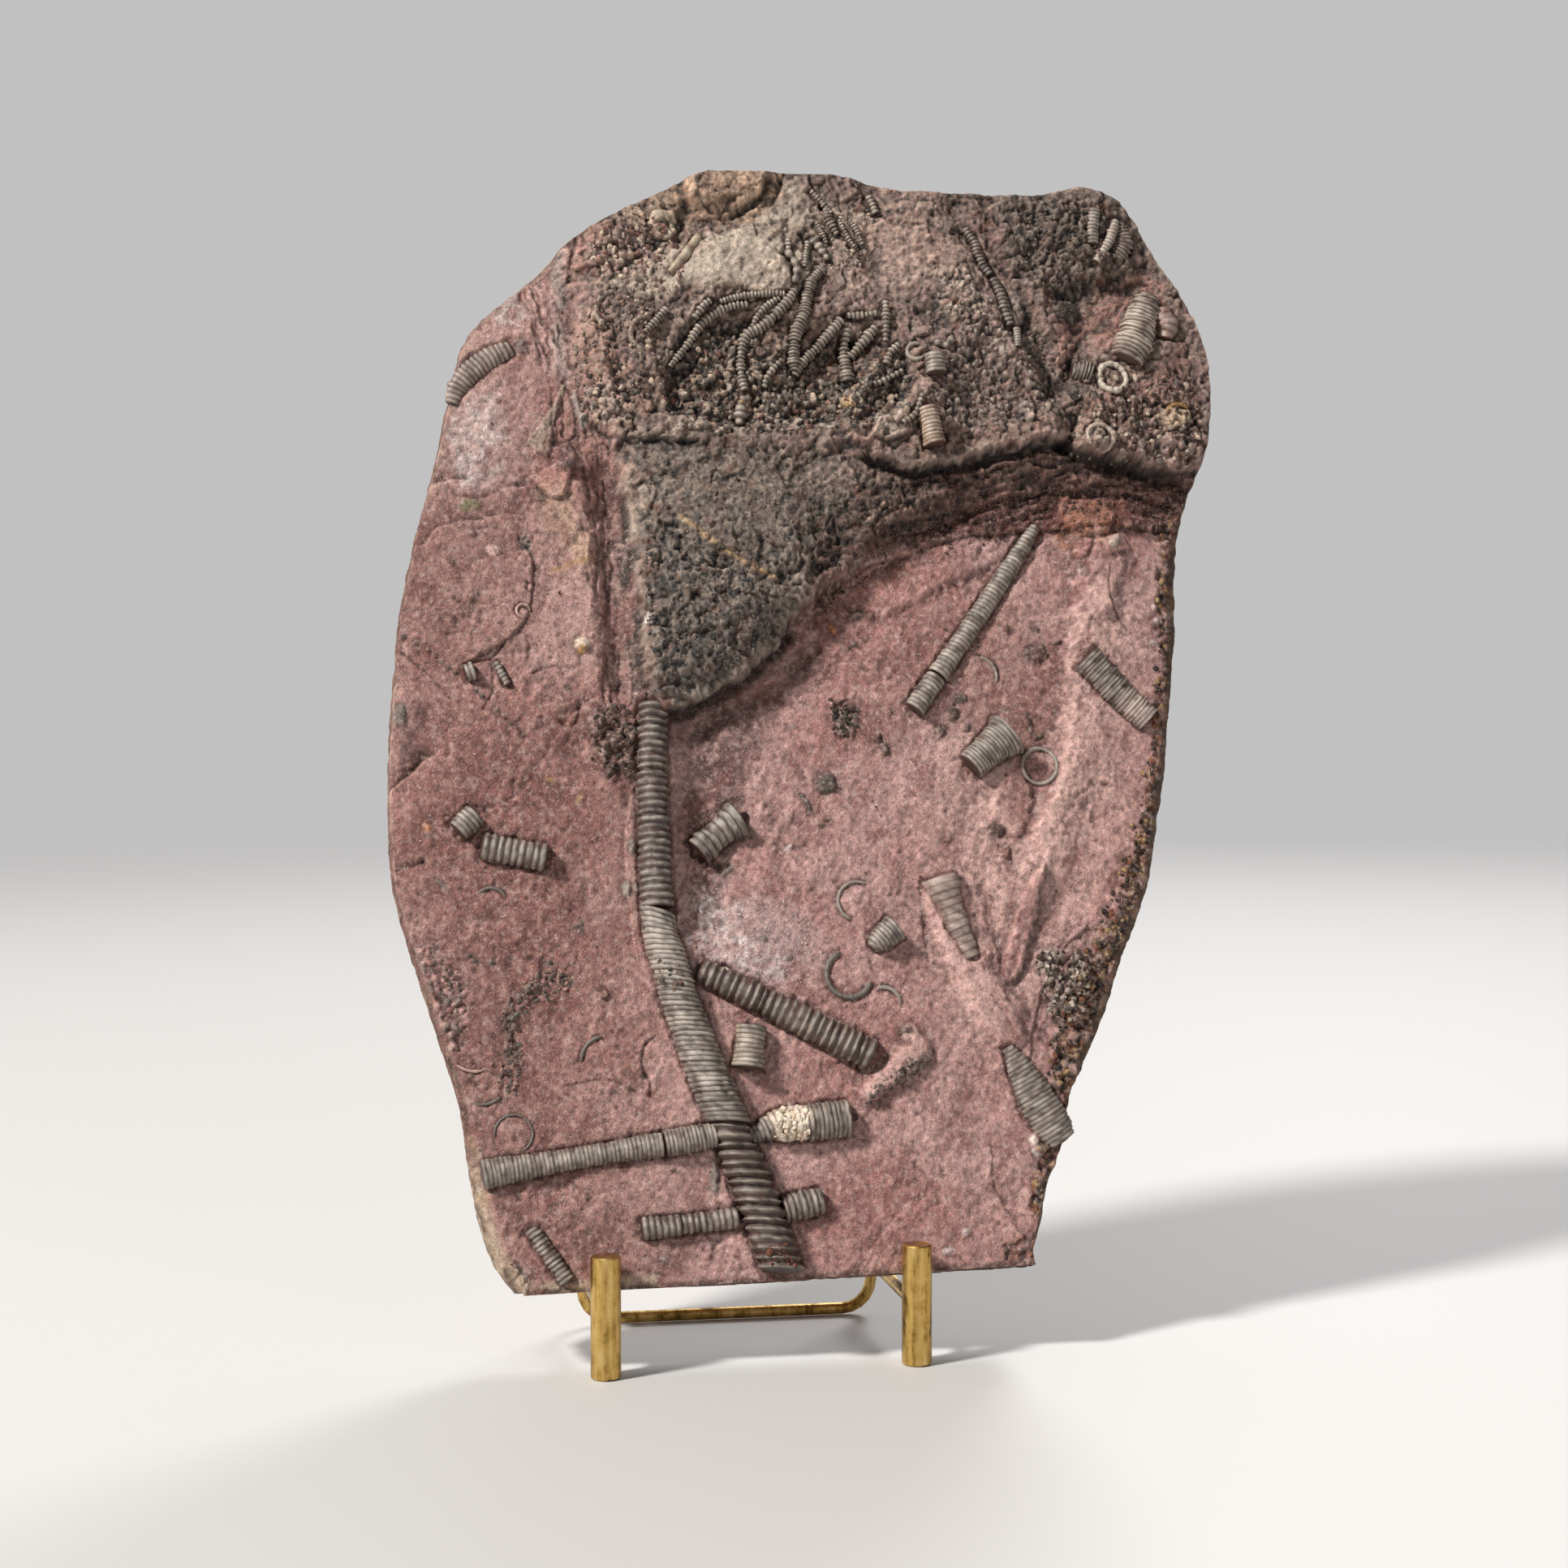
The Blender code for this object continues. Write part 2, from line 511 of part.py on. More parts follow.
def make_post(name, x, material):
    """A solid round rod standing on the floor, with a small chamfer at each end."""
    radius = POST_DIAMETER / 2
    profile = [(radius - POST_CHAMFER, 0), (radius, POST_CHAMFER), (radius, POST_HEIGHT - POST_CHAMFER),
               (radius - POST_CHAMFER, POST_HEIGHT)]
    vertices = []
    for r, z in profile:
        for i in range(POST_SIDES):
            turn = 2 * math.pi * i / POST_SIDES
            vertices.append((r * math.cos(turn), r * math.sin(turn), z))
    faces = [tuple(reversed(range(POST_SIDES))), tuple(range(3 * POST_SIDES, 4 * POST_SIDES))]
    for level in range(3):
        for i in range(POST_SIDES):
            j = (i + 1) % POST_SIDES
            low, high = level * POST_SIDES, (level + 1) * POST_SIDES
            faces.append((low + i, low + j, high + j, high + i))
    post = make_object(name, vertices, faces, material)
    post.location = (x * MM, POST_Y * MM, 0)
    post.data.shade_smooth()
    post.data.set_sharp_from_angle(angle=math.radians(30))


def make_wire(name, path, normals, closed, material):
    """A round wire along a path; each normal is a direction square to the path, and the first side faces along it."""
    path, normals = np.array(path, float), np.array(normals, float)
    if closed:
        tangents = np.roll(path, -1, axis=0) - np.roll(path, 1, axis=0)
    else:
        tangents = np.gradient(path, axis=0)
    vertices = []
    for centre, normal, tangent in zip(path, normals, tangents):
        side = np.cross(tangent / np.linalg.norm(tangent), normal)
        for i in range(WIRE_SIDES):
            turn = 2 * math.pi * i / WIRE_SIDES
            vertices.append(centre + WIRE_DIAMETER / 2 * (math.cos(turn) * normal + math.sin(turn) * side))
    rows = len(path)
    faces = []
    for row in range(rows if closed else rows - 1):
        here, there = row * WIRE_SIDES, (row + 1) % rows * WIRE_SIDES
        for i in range(WIRE_SIDES):
            j = (i + 1) % WIRE_SIDES
            faces.append((here + i, there + i, there + j, here + j))
    if not closed:
        faces += [tuple(range(WIRE_SIDES)), tuple(reversed(range((rows - 1) * WIRE_SIDES, rows * WIRE_SIDES)))]
    wire = make_object(name, vertices, faces, material)
    wire.data.shade_smooth()
    wire.data.set_sharp_from_angle(angle=math.radians(40))


def frame_top():
    """The height of the back frame's upper run, where the slab's back comes down to it."""
    slope = LEAN - math.atan((THICKNESS_LOW - THICKNESS_HIGH) / SLAB_HEIGHT)
    edge_y = POST_Y + POST_DIAMETER / 2 + FACE_CLEARANCE + THICKNESS_LOW * math.cos(LEAN)
    edge_z = SLAB_EDGE_HEIGHT - THICKNESS_LOW * math.sin(LEAN)
    run = POST_Y + FRAME_DEPTH - edge_y - (WIRE_DIAMETER / 2 + GAP) / math.cos(slope)
    return edge_z + run / math.tan(slope)


def make_back_frame(material):
    """One wire bent to a closed rectangle, its lower run on the floor."""
    left, right = LEFT_POST_X, LEFT_POST_X + POST_SPACING
    low, high = WIRE_DIAMETER / 2, frame_top()
    y = POST_Y + FRAME_DEPTH
    r = FRAME_CORNER_RADIUS
    path, normals = [], []
    corners = [(left + r, low + r, 180), (right - r, low + r, 270), (right - r, high - r, 0), (left + r, high - r, 90)]
    for x, z, start in corners:
        for step in range(CORNER_STEPS + 1):
            turn = math.radians(start + 90 * step / CORNER_STEPS)
            out = (math.cos(turn), 0, math.sin(turn))
            path.append((x + r * out[0], y, z + r * out[2]))
            normals.append(out)
    make_wire("back_frame", path, normals, True, material)


def make_arm(name, x, material):
    """A straight wire from the back of a post to the upright of the back frame."""
    start = POST_Y + POST_DIAMETER / 2 + GAP
    end = POST_Y + FRAME_DEPTH - WIRE_DIAMETER / 2 - GAP
    path = [(x, start, ARM_HEIGHT), (x, end, ARM_HEIGHT)]
    make_wire(name, path, [(0, 0, 1)] * 2, False, material)


def main():
    for old in list(bpy.data.objects):
        bpy.data.objects.remove(old)
    stone = principled("red_limestone", STONE_COLOUR, 0.85, 0.0)
    brass = principled("aged_brass", BRASS_COLOUR, 0.35, 1.0)
    make_slab(stone)
    for side, x in (("left", LEFT_POST_X), ("right", LEFT_POST_X + POST_SPACING)):
        make_post(side + "_post", x, brass)
        make_arm(side + "_arm", x, brass)
    make_back_frame(brass)


main()
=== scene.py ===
"""The looks of a crinoid fossil on a slab of red limestone, leaning on its brass stand.

Lengths are written in millimetres and MM turns them into metres. The slab is modelled in its own frame: s
to the right, v up its face from the lower front edge, and height out of the face. Colours are written as 0
to 255 sRGB.
"""
import math

import bpy
import numpy as np
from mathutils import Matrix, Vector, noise
from mathutils.geometry import delaunay_2d_cdt


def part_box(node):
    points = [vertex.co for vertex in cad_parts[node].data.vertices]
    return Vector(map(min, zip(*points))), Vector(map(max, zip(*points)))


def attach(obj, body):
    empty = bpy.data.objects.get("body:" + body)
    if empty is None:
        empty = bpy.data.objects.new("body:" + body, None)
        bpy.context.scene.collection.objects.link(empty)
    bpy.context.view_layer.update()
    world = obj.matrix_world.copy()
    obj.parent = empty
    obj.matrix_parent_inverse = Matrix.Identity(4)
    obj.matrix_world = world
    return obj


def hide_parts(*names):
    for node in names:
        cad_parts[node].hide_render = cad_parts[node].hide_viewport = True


MM = 0.001

# ---------------------------------------------------------------- the slab's frame and size
# How far the slab leans back, where s, v and height begin in the part's frame, its thickness at the foot
# and at
# the top, its height, how far its back's foot is lifted, and the part's own box in metres
LEAN = math.radians(14.0)
SLAB_ORIGIN = (0.0, -48.5375, 26.0)
THICKNESS_LOW = 27.0
THICKNESS_HIGH = 17.0
SLAB_HEIGHT = 376.0
BACK_FOOT = 0.85
BOX_LOW = (-0.1417, -0.0587, 0.0)
BOX_HIGH = (0.1419, 0.0585, 0.3901)
# The slab's outline from the foot's right end round over the top: s, v and the bevel's width
OUTLINE = [
    (63.5, 2.0, 1.5), (65, 10, 3), (70, 28, 2), (76, 43, 1), (77, 50, 1.5), (84, 66, 3), (95, 88, 4),
    (104, 110, 4),
    (112, 130, 4), (120, 168, 4), (126, 205, 4), (129, 240, 4), (135, 262, 2), (140.5, 280, 1.5),
    (142, 300, 1.5),
    (139, 319, 1.5), (130, 339, 2), (117, 360, 2), (108, 367.5, 2), (97, 370.5, 2), (80, 367.5, 2),
    (62, 367, 2),
    (37, 368.5, 2), (20, 374, 2), (0, 375.8, 2), (-27, 376, 2), (-38, 371.5, 2), (-61, 360, 2),
    (-80, 349, 2),
    (-90, 338, 2), (-109, 321.5, 1.5), (-116, 311, 1.5), (-119, 300, 1.5), (-125.5, 270, 1.2),
    (-131, 250, 1.2),
    (-137, 222, 1.2), (-140.5, 190, 1.2), (-142, 160, 1.2), (-141, 131, 1.5), (-136, 110, 2),
    (-129, 87, 2.5),
    (-121, 60, 3), (-117, 31, 5.5), (-111, 10, 5), (-103, -1.5, 2),
]

# Raised masses: s, v and how far in from there the mass takes to reach its full height
CROWN = [
    (-57, 190, 3), (-50, 186, 1.5), (-38, 190, 1.2), (-25, 198, 1.2), (-14, 209, 1.2), (-7, 217, 1.4),
    (4, 227, 3),
    (14, 233, 5), (27, 239, 12), (60, 250, 20), (100, 256, 24), (150, 264, 24), (175, 330, 24),
    (150, 420, 24),
    (-110, 420, 30), (-92, 350, 22), (-82, 315, 16), (-72, 280, 9), (-63, 255, 4), (-60, 230, 2.5),
    (-59, 205, 2.5),
]
UPPER_LEDGE = [
    (8, 285, 8), (22, 276, 3), (30, 273, 1.5), (40, 271, 1.5), (50, 274, 1.5), (62, 277, 1.5),
    (75, 280, 1.5),
    (88, 282, 1.5), (96, 278, 1.5), (112, 277, 1.5), (125, 273, 1.5), (150, 270, 1.5), (180, 330, 20),
    (140, 420, 30), (40, 420, 30), (20, 340, 30), (8, 310, 20),
]
LOBE = [
    (57, 168, 8), (54, 155, 5), (58, 146, 3), (66, 143, 2.5), (71, 150, 2.5), (72, 160, 3), (70, 170, 6),
    (64, 175, 8),
]


# ---------------------------------------------------------------- colours
def tone(r, g, b):
    """A colour from its 0 to 255 sRGB values."""
    c = np.array([r, g, b]) / 255
    return np.where(c <= 0.04045, c / 12.92, ((c + 0.055) / 1.055) ** 2.4)


PINK = tone(160, 115, 107)
PINK_LIGHT = tone(180, 142, 134)
PINK_PALE = tone(196, 160, 149)
RED = tone(126, 84, 77)
RED_DEEP = tone(92, 54, 48)
STRATA_RED = tone(60, 34, 30)
PURPLE_AND_SHADOW = tone(74, 50, 47)
CHALK = tone(190, 170, 165)
WHITE = tone(212, 200, 190)
CREAM = tone(205, 184, 164)
OCHRE = tone(160, 122, 74)
RUST = tone(120, 70, 44)
BROWN = tone(66, 48, 38)
BLACK = tone(34, 27, 24)
GREY = tone(112, 103, 95)
GREY_LIGHT = tone(150, 138, 127)
GREY_DARK = tone(70, 63, 58)
CROWN_PINK = tone(152, 124, 116)
OLIVE = tone(120, 112, 82)


# ---------------------------------------------------------------- noise
def lattice(i, j, seed):
    """A repeatable random number from 0 to 1 for each cell of a lattice."""
    n = (i.astype(np.int64) * 374761393 + j.astype(np.int64) * 668265263 + seed * 974634777) & 0xFFFFFFFF
    n = ((n ^ (n >> 13)) * 1274126177) & 0xFFFFFFFF
    n = ((n ^ (n >> 15)) * 2246822519) & 0xFFFFFFFF
    return ((n ^ (n >> 16)) & 0xFFFFF) / 0xFFFFF


def tables(x, y, seeds):
    """Each point's cell of a lattice, counted from the lowest, and a table of random numbers a seed."""
    i, j = np.floor(x).astype(int), np.floor(y).astype(int)
    low_i, low_j = i.min() - 1, j.min() - 1
    columns = np.arange(low_i, i.max() + 3)[:, None]
    rows = np.arange(low_j, j.max() + 3)[None, :]
    return i - low_i, j - low_j, [lattice(columns, rows, seed) for seed in seeds]


def swirl(s, v, size, seed):
    """Smooth gradient noise, about -1 to 1, with features of the given size."""
    x, y = s / size + 0.37 * seed, v / size - 0.61 * seed
    i, j, (turn,) = tables(x, y, (seed,))
    x, y = x - np.floor(x), y - np.floor(y)
    wx, wy = x * x * x * (x * (x * 6 - 15) + 10), y * y * y * (y * (y * 6 - 15) + 10)
    cosine, sine = np.cos(2 * math.pi * turn), np.sin(2 * math.pi * turn)
    total = 0
    for a in (0, 1):
        for b in (0, 1):
            push = cosine[i + a, j + b] * (x - a) + sine[i + a, j + b] * (y - b)
            total = total + push * (wx if a else 1 - wx) * (wy if b else 1 - wy)
    return 1.5 * total


def clouds(s, v, size, seed, octaves, gain=0.5):
    """Noise of several sizes, each about half the last one."""
    total, height = 0, 1.0
    for k in range(octaves):
        c, d = math.cos(1.1 * k), math.sin(1.1 * k)
        total = total + height * swirl(c * s + d * v, c * v - d * s, size / 2.03 ** k, seed + 7 * k)
        height *= gain
    return total


def cells(s, v, size, seed):
    """For each point: how far the two nearest scattered seeds are, the way from the first, and its number."""
    x, y = s / size, v / size
    i, j, (aside, up, numbers) = tables(x, y, (seed, seed + 1, seed + 2))
    x, y = x - np.floor(x), y - np.floor(y)
    first = np.full(np.shape(x), 9.0)
    second = first.copy()
    way_s, way_v, number = first * 0, first * 0, first * 0
    for a in (-1, 0, 1):
        for b in (-1, 0, 1):
            ds = x - a - aside[i + a, j + b]
            dv = y - b - up[i + a, j + b]
            d = np.sqrt(ds * ds + dv * dv)
            near = d < first
            second = np.where(near, first, np.minimum(second, d))
            way_s, way_v = np.where(near, ds, way_s), np.where(near, dv, way_v)
            number = np.where(near, numbers[i + a, j + b], number)
            first = np.where(near, d, first)
    return first * size, second * size, way_s * size, way_v * size, number


def facets(s, v, size, seed):
    """Broken rock: flat triangles of random tilt that meet in sharp creases, about -1 to 1."""
    s = s + 0.4 * size * swirl(s, v, 1.4 * size, seed + 5)
    v = v + 0.4 * size * swirl(s, v, 1.4 * size, seed + 6)
    x, y = (s - v / math.sqrt(3)) / size, 2 * v / math.sqrt(3) / size
    i, j, (level,) = tables(x, y, (seed,))
    x, y = x - np.floor(x), y - np.floor(y)
    low = (1 - x - y) * level[i, j] + x * level[i + 1, j] + y * level[i, j + 1]
    high = (x + y - 1) * level[i + 1, j + 1] + (1 - y) * level[i + 1, j] + (1 - x) * level[i, j + 1]
    return 2 * np.where(x + y < 1, low, high) - 1


def broken(s, v, size, seed):
    """Broken rock of another kind: flat lumps, each at its own level and tilt, with gaps between them."""
    s = s + 0.35 * size * swirl(s, v, 0.9 * size, seed + 5)
    v = v + 0.35 * size * swirl(s, v, 0.9 * size, seed + 6)
    first, second, ds, dv, number = cells(s, v, size, seed)
    turn = 2 * math.pi * (37 * number % 1)
    tilt = (np.cos(turn) * ds + np.sin(turn) * dv) / size
    gap = np.exp(-((second - first) / (0.10 * size)) ** 2)
    return 1.5 * (7.3 * number % 1) - 0.75 + 0.9 * tilt - 0.45 * gap


def ease(x):
    """A smooth rise from 0 to 1."""
    x = np.clip(x, 0, 1)
    return x * x * (3 - 2 * x)


# ---------------------------------------------------------------- paths in the face
def arc_lengths(path):
    """How far along a path each of its points lies."""
    return np.concatenate([[0], np.cumsum(np.hypot(*np.diff(path[:, :2], axis=0).T))])


def smooth_path(points, step, closed=False):
    """Points about every `step` along the Catmull-Rom curve through `points`, with any further columns."""
    knots = np.array(points, dtype=float)
    if closed:
        knots = np.vstack([knots[-1:], knots, knots[:2]])
    else:
        knots = np.vstack([2 * knots[0] - knots[1], knots, 2 * knots[-1] - knots[-2]])
    fine = []
    for a, b, c, d in zip(knots, knots[1:], knots[2:], knots[3:]):
        for t in np.linspace(0, 1, 12, endpoint=False):
            fine.append(b + 0.5 * t * (c - a + t * (2 * a - 5 * b + 4 * c - d + t * (3 * (b - c) + d - a))))
    fine.append(knots[-2])
    fine = np.array(fine)
    arc = arc_lengths(fine)
    count = max(2, round(arc[-1] / step) + 1)
    places = np.linspace(0, arc[-1], count)
    if closed:
        places = places[:-1]
    return np.stack([np.interp(places, arc, column) for column in fine.T], axis=1)


def aside_of(path, closed=False):
    """The direction to the right of a path at each of its points."""
    if closed:
        heading = np.roll(path[:, :2], -1, axis=0) - np.roll(path[:, :2], 1, axis=0)
    else:
        heading = np.gradient(path[:, :2], axis=0)
    heading = heading / np.hypot(*heading.T)[:, None]
    return np.stack([heading[:, 1], -heading[:, 0]], axis=1)


def segment(s, v, a, b):
    """How far points are from a segment, how far along it as a share, and whether they're right of it."""
    run = b[:2] - a[:2]
    ds, dv = s - a[0], v - a[1]
    raw = (ds * run[0] + dv * run[1]) / (run @ run)
    t = np.clip(raw, 0, 1)
    return np.hypot(ds - t * run[0], dv - t * run[1]), t, raw, ds * run[1] - dv * run[0] > 0


# ---------------------------------------------------------------- the face as a raster
# The raster's step and extent, and the steps of the mesh where the face is fine and where it is plain
STEP = 0.4
LEFT, RIGHT, FOOT, HEAD = -146.0, 146.0, -6.0, 380.0
FINE_STEP, PLAIN_STEP = 0.52, 0.72
# Where the photograph was taken from, as s, v and height
VIEWPOINT = np.array((-169.0, -17.0, 848.0))
# How square a stone's outline is: 2 is an ellipse
LUMP_POWER = 2.5


class Face:
    """The slab's face on an even raster: its height, how far it leans over sideways, and its colour."""

    def __init__(self):
        self.s, self.v = np.meshgrid(np.arange(LEFT, RIGHT, STEP), np.arange(FOOT, HEAD, STEP))
        self.height = np.zeros_like(self.s)
        self.push_s, self.push_v = np.zeros_like(self.s), np.zeros_like(self.s)
        self.colour = np.zeros(self.s.shape + (3,)) + PINK
        self.fine = np.zeros_like(self.s)
        self.broad = None
        # Filled in later: the painted shadow strips under overhangs, the bed for stems, and the distance from
        # the rim
        self.overhang_shadows = []
        self.bed = None
        self.inland = None
        self.rag_s = 0.6 * swirl(self.s, self.v, 2.6, 3) + swirl(self.s, self.v, 7.0, 4)
        self.rag_v = 0.6 * swirl(self.s, self.v, 2.6, 5) + swirl(self.s, self.v, 7.0, 6)

    def window(self, points, reach):
        """The part of the raster within `reach` of some points."""
        low, high = np.min(points, axis=0)[:2] - reach, np.max(points, axis=0)[:2] + reach
        rows, columns = self.s.shape
        j0, j1 = (int(np.clip((c - LEFT) / STEP, 0, columns)) for c in (low[0], high[0]))
        i0, i1 = (int(np.clip((c - FOOT) / STEP, 0, rows)) for c in (low[1], high[1]))
        return slice(i0, i1 + 1), slice(j0, j1 + 1)

    def near(self, path, reach, closed=False, ragged=0.0):
        """The window around a path, and for its points, nudged by a ragged noise: how far the path is, the
        arc length there, the overshoot past its ends, its third column, and whether they are to its right."""
        margin = reach + 2.2 * ragged
        w = self.window(path, margin)
        shape = self.s[w].shape
        distance = np.full(shape, float(reach))
        along, over, value = np.zeros(shape), np.zeros(shape), np.zeros(shape)
        right = np.zeros(shape, dtype=bool)
        joints = np.vstack([path, path[:1]]) if closed else path
        last = len(joints) - 2
        arc = 0.0
        for k in range(last + 1):
            a, b = joints[k], joints[k + 1]
            length = math.hypot(b[0] - a[0], b[1] - a[1])
            part = self.window(np.array([a, b]), margin)
            s = self.s[part] + ragged * self.rag_s[part]
            v = self.v[part] + ragged * self.rag_v[part]
            here = tuple(slice(p.start - o.start, p.stop - o.start) for p, o in zip(part, w))
            gap, t, raw, side = segment(s, v, a, b)
            closer = gap < distance[here]
            past = 0 * gap
            if k == 0 and not closed:
                past = np.maximum(past, -raw * length)
            if k == last and not closed:
                past = np.maximum(past, (raw - 1) * length)
            for field, fresh in ((distance, gap), (along, arc + t * length), (over, past),
                                 (value, a[2] + t * (b[2] - a[2])), (right, side)):
                np.copyto(field[here], fresh, where=closer)
            arc += length
        return w, (distance, along, over, value, right)

    def within(self, path):
        """Which points of the raster lie inside a closed path."""
        ends = np.roll(path[:, :2], -1, axis=0)
        found = np.zeros(self.s.shape, dtype=bool)
        for row, v in enumerate(self.v[:, 0]):
            cut = (path[:, 1] > v) != (ends[:, 1] > v)
            if cut.any():
                a, b = path[cut], ends[cut]
                at = np.sort(a[:, 0] + (v - a[:, 1]) * (b[:, 0] - a[:, 0]) / (b[:, 1] - a[:, 1]))
                found[row] = np.searchsorted(at, self.s[row]) % 2 == 1
        return found

    def signed(self, path, reach):
        """How far inside a closed path each point is, within `reach`, and the path's third column there."""
        w, (distance, _, _, value, _) = self.near(path, reach, True)
        field, width = np.full(self.s.shape, float(reach)), np.full(self.s.shape, float(path[0, 2]))
        field[w], width[w] = distance, value
        return np.where(self.within(path), field, -field), width

    def lay(self, path):
        """Moves points from where they seem to lie, seen from the viewpoint onto the plane of the face, to
        where they are, given how high the rock stands there."""
        path = np.array([tuple(p) for p in path], dtype=float)
        if self.broad is None:
            return path
        seen = path[:, :2].copy()
        for _ in range(3):
            height = self.at(self.broad, path[:, 0], path[:, 1])
            path[:, :2] = seen - (seen - VIEWPOINT[:2]) * (height / VIEWPOINT[2])[:, None]
        return path

    def tint(self, w, mask, colour):
        """Mixes a colour in by a mask."""
        mask = np.clip(mask, 0, 1)[..., None]
        self.colour[w] += mask * (colour - self.colour[w])

    def share(self, outline, edge=None, ragged=0.0, smooth=True):
        """A window and how far inside an outline its points are: 0 outside, 1 from `edge` inwards."""
        if edge is not None:
            outline = [(p[0], p[1], edge) for p in outline]
        outline = self.lay(outline)
        path = smooth_path(outline, 3.0, closed=True) if smooth else np.array(outline, dtype=float)
        signed, width = self.signed(path, 1.3 * path[:, 2].max() + 1)
        w = self.window(path, 2.2 * ragged + 1)
        if ragged:
            s, v = self.s[w] + ragged * self.rag_s[w], self.v[w] + ragged * self.rag_v[w]
            return w, ease(self.at(signed, s, v) / np.maximum(self.at(width, s, v), 0.3))
        return w, ease(signed[w] / np.maximum(width[w], 0.3))

    def patch(self, outline, rise=0.0, edge=1.0, colour=None, strength=1.0, ragged=0.5, fine=0.0,
              smooth=True):
        """Raises and tints the inside of an outline."""
        w, mask = self.share(outline, edge, ragged, smooth)
        self.height[w] += rise * mask
        if colour is not None:
            self.tint(w, mask * strength, colour)
        self.fine[w] = np.maximum(self.fine[w], fine * (mask > 0))
        return w, mask

    def stroke(self, path, width, rise=0.0, colour=None, strength=1.0, ragged=0.3, power=2, fine=0.0):
        """Raises or sinks a soft band along a path, and tints it."""
        line = smooth_path(self.lay([(p[0], p[1], p[2] if len(p) > 2 else 1.0) for p in path]), 1.0)
        w, (distance, _, over, scale, _) = self.near(line, 2.6 * width * line[:, 2].max(), ragged=ragged)
        scale = np.maximum(scale, 0.05)
        mask = np.exp(-(distance / (width * scale)) ** power) * (over < 1.5 * width)
        mask = mask * (distance < 2.59 * width * line[:, 2].max())
        self.height[w] += rise * mask
        if colour is not None:
            self.tint(w, mask * strength, colour)
        self.fine[w] = np.maximum(self.fine[w], fine * (mask > 0.05))
        return w, mask

    def ledge(self, path, drop, reach, lip=0.4, shade=None, strength=0.8, ragged=0.6, fine=1.0):
        """A step: just right of the path the rock lies lower, and it comes back up over `reach`."""
        line = smooth_path(self.lay([(p[0], p[1], p[2] if len(p) > 2 else 1.0) for p in path]), 1.5)
        w, (distance, _, over, scale, right) = self.near(line, 4 * reach, ragged=ragged)
        ends = np.exp(-(over / 3) ** 2)
        below = right * ends * scale
        foot = ease(distance / lip) * np.exp(-distance / reach)
        self.height[w] -= drop * below * foot
        if shade is not None:
            self.tint(w,
                      strength * below * np.exp(-distance / (0.55 * reach)) * ease(distance / (0.5 * lip)),
                      shade)
        self.fine[w] = np.maximum(self.fine[w], fine * (distance < 1.5) * (ends > 0.3))

    def lump(self, s, v, length, width, turn, rise, colour):
        """A small stone or shard standing out of the face: its long side lies at `turn` degrees."""
        s, v = self.lay([(s, v)])[0]
        w = self.window(np.array([(s, v)]), 0.8 * max(length, width) + 0.8)
        c, d = math.cos(math.radians(turn)), math.sin(math.radians(turn))
        ds = self.s[w] - s + 0.12 * width * self.rag_s[w]
        dv = self.v[w] - v + 0.12 * width * self.rag_v[w]
        x, y = 2 * (c * ds + d * dv) / length, 2 * (c * dv - d * ds) / width
        r = (np.abs(x) ** LUMP_POWER + np.abs(y) ** LUMP_POWER) ** (1 / LUMP_POWER)
        body = np.sqrt(np.clip(1 - r ** 2, 0, 1)) * ease((1.02 - r) * min(length, width))
        # A ring of painted shade round the stone's foot, just outside it.
        ring = np.exp(-((r - 1.12) * min(length, width) / 0.9) ** 2)
        self.height[w] += rise * body
        self.tint(w, (r < 1.0) * 1.0, colour)
        self.tint(w, 0.45 * ring * (r >= 1.0), self.colour[w] * 0.55)
        self.fine[w] = np.maximum(self.fine[w], 1.0 * (r < 1.3))

    def shaded_ring_gutters(self, s, v, radius, width, start, stop):
        """The gutters beside a thin ring, or part of one, from `start` to `stop` degrees: sunk a little, with
        painted shade in them.
        """
        turns = np.radians(np.linspace(start, stop, max(8, int(abs(stop - start) / 12))))
        for way in (-1.3, 1.3):
            path = [(s + (radius + way * width) * math.cos(t),
                     v + (radius + way * width) * math.sin(t)) for t in turns]
            self.stroke(path, 0.7 * width, -0.35, RED_DEEP, 0.6, ragged=0.1, fine=1.0)

    def at(self, field, s, v):
        """The value of a raster field at any points."""
        x = np.clip((np.asarray(s) - LEFT) / STEP, 0, self.s.shape[1] - 1.001)
        y = np.clip((np.asarray(v) - FOOT) / STEP, 0, self.s.shape[0] - 1.001)
        j, i = x.astype(int), y.astype(int)
        x, y = x - j, y - i
        if field.ndim == 3:
            x, y = x[..., None], y[..., None]
        return ((1 - y) * ((1 - x) * field[i, j] + x * field[i, j + 1])
                + y * ((1 - x) * field[i + 1, j] + x * field[i + 1, j + 1]))


def blurred(field, radius):
    """A raster blurred three times by a box of the given radius in millimetres."""
    n = max(1, round(radius / STEP))
    for _ in range(3):
        for axis in (0, 1):
            pad = [(n + 1, n) if a == axis else (0, 0) for a in range(2)]
            total = np.cumsum(np.pad(field, pad, mode="edge"), axis=axis)
            field = (np.take(total, range(2 * n + 1, total.shape[axis]), axis)
                     - np.take(total, range(0, total.shape[axis] - 2 * n - 1), axis)) / (2 * n + 1)
    return field


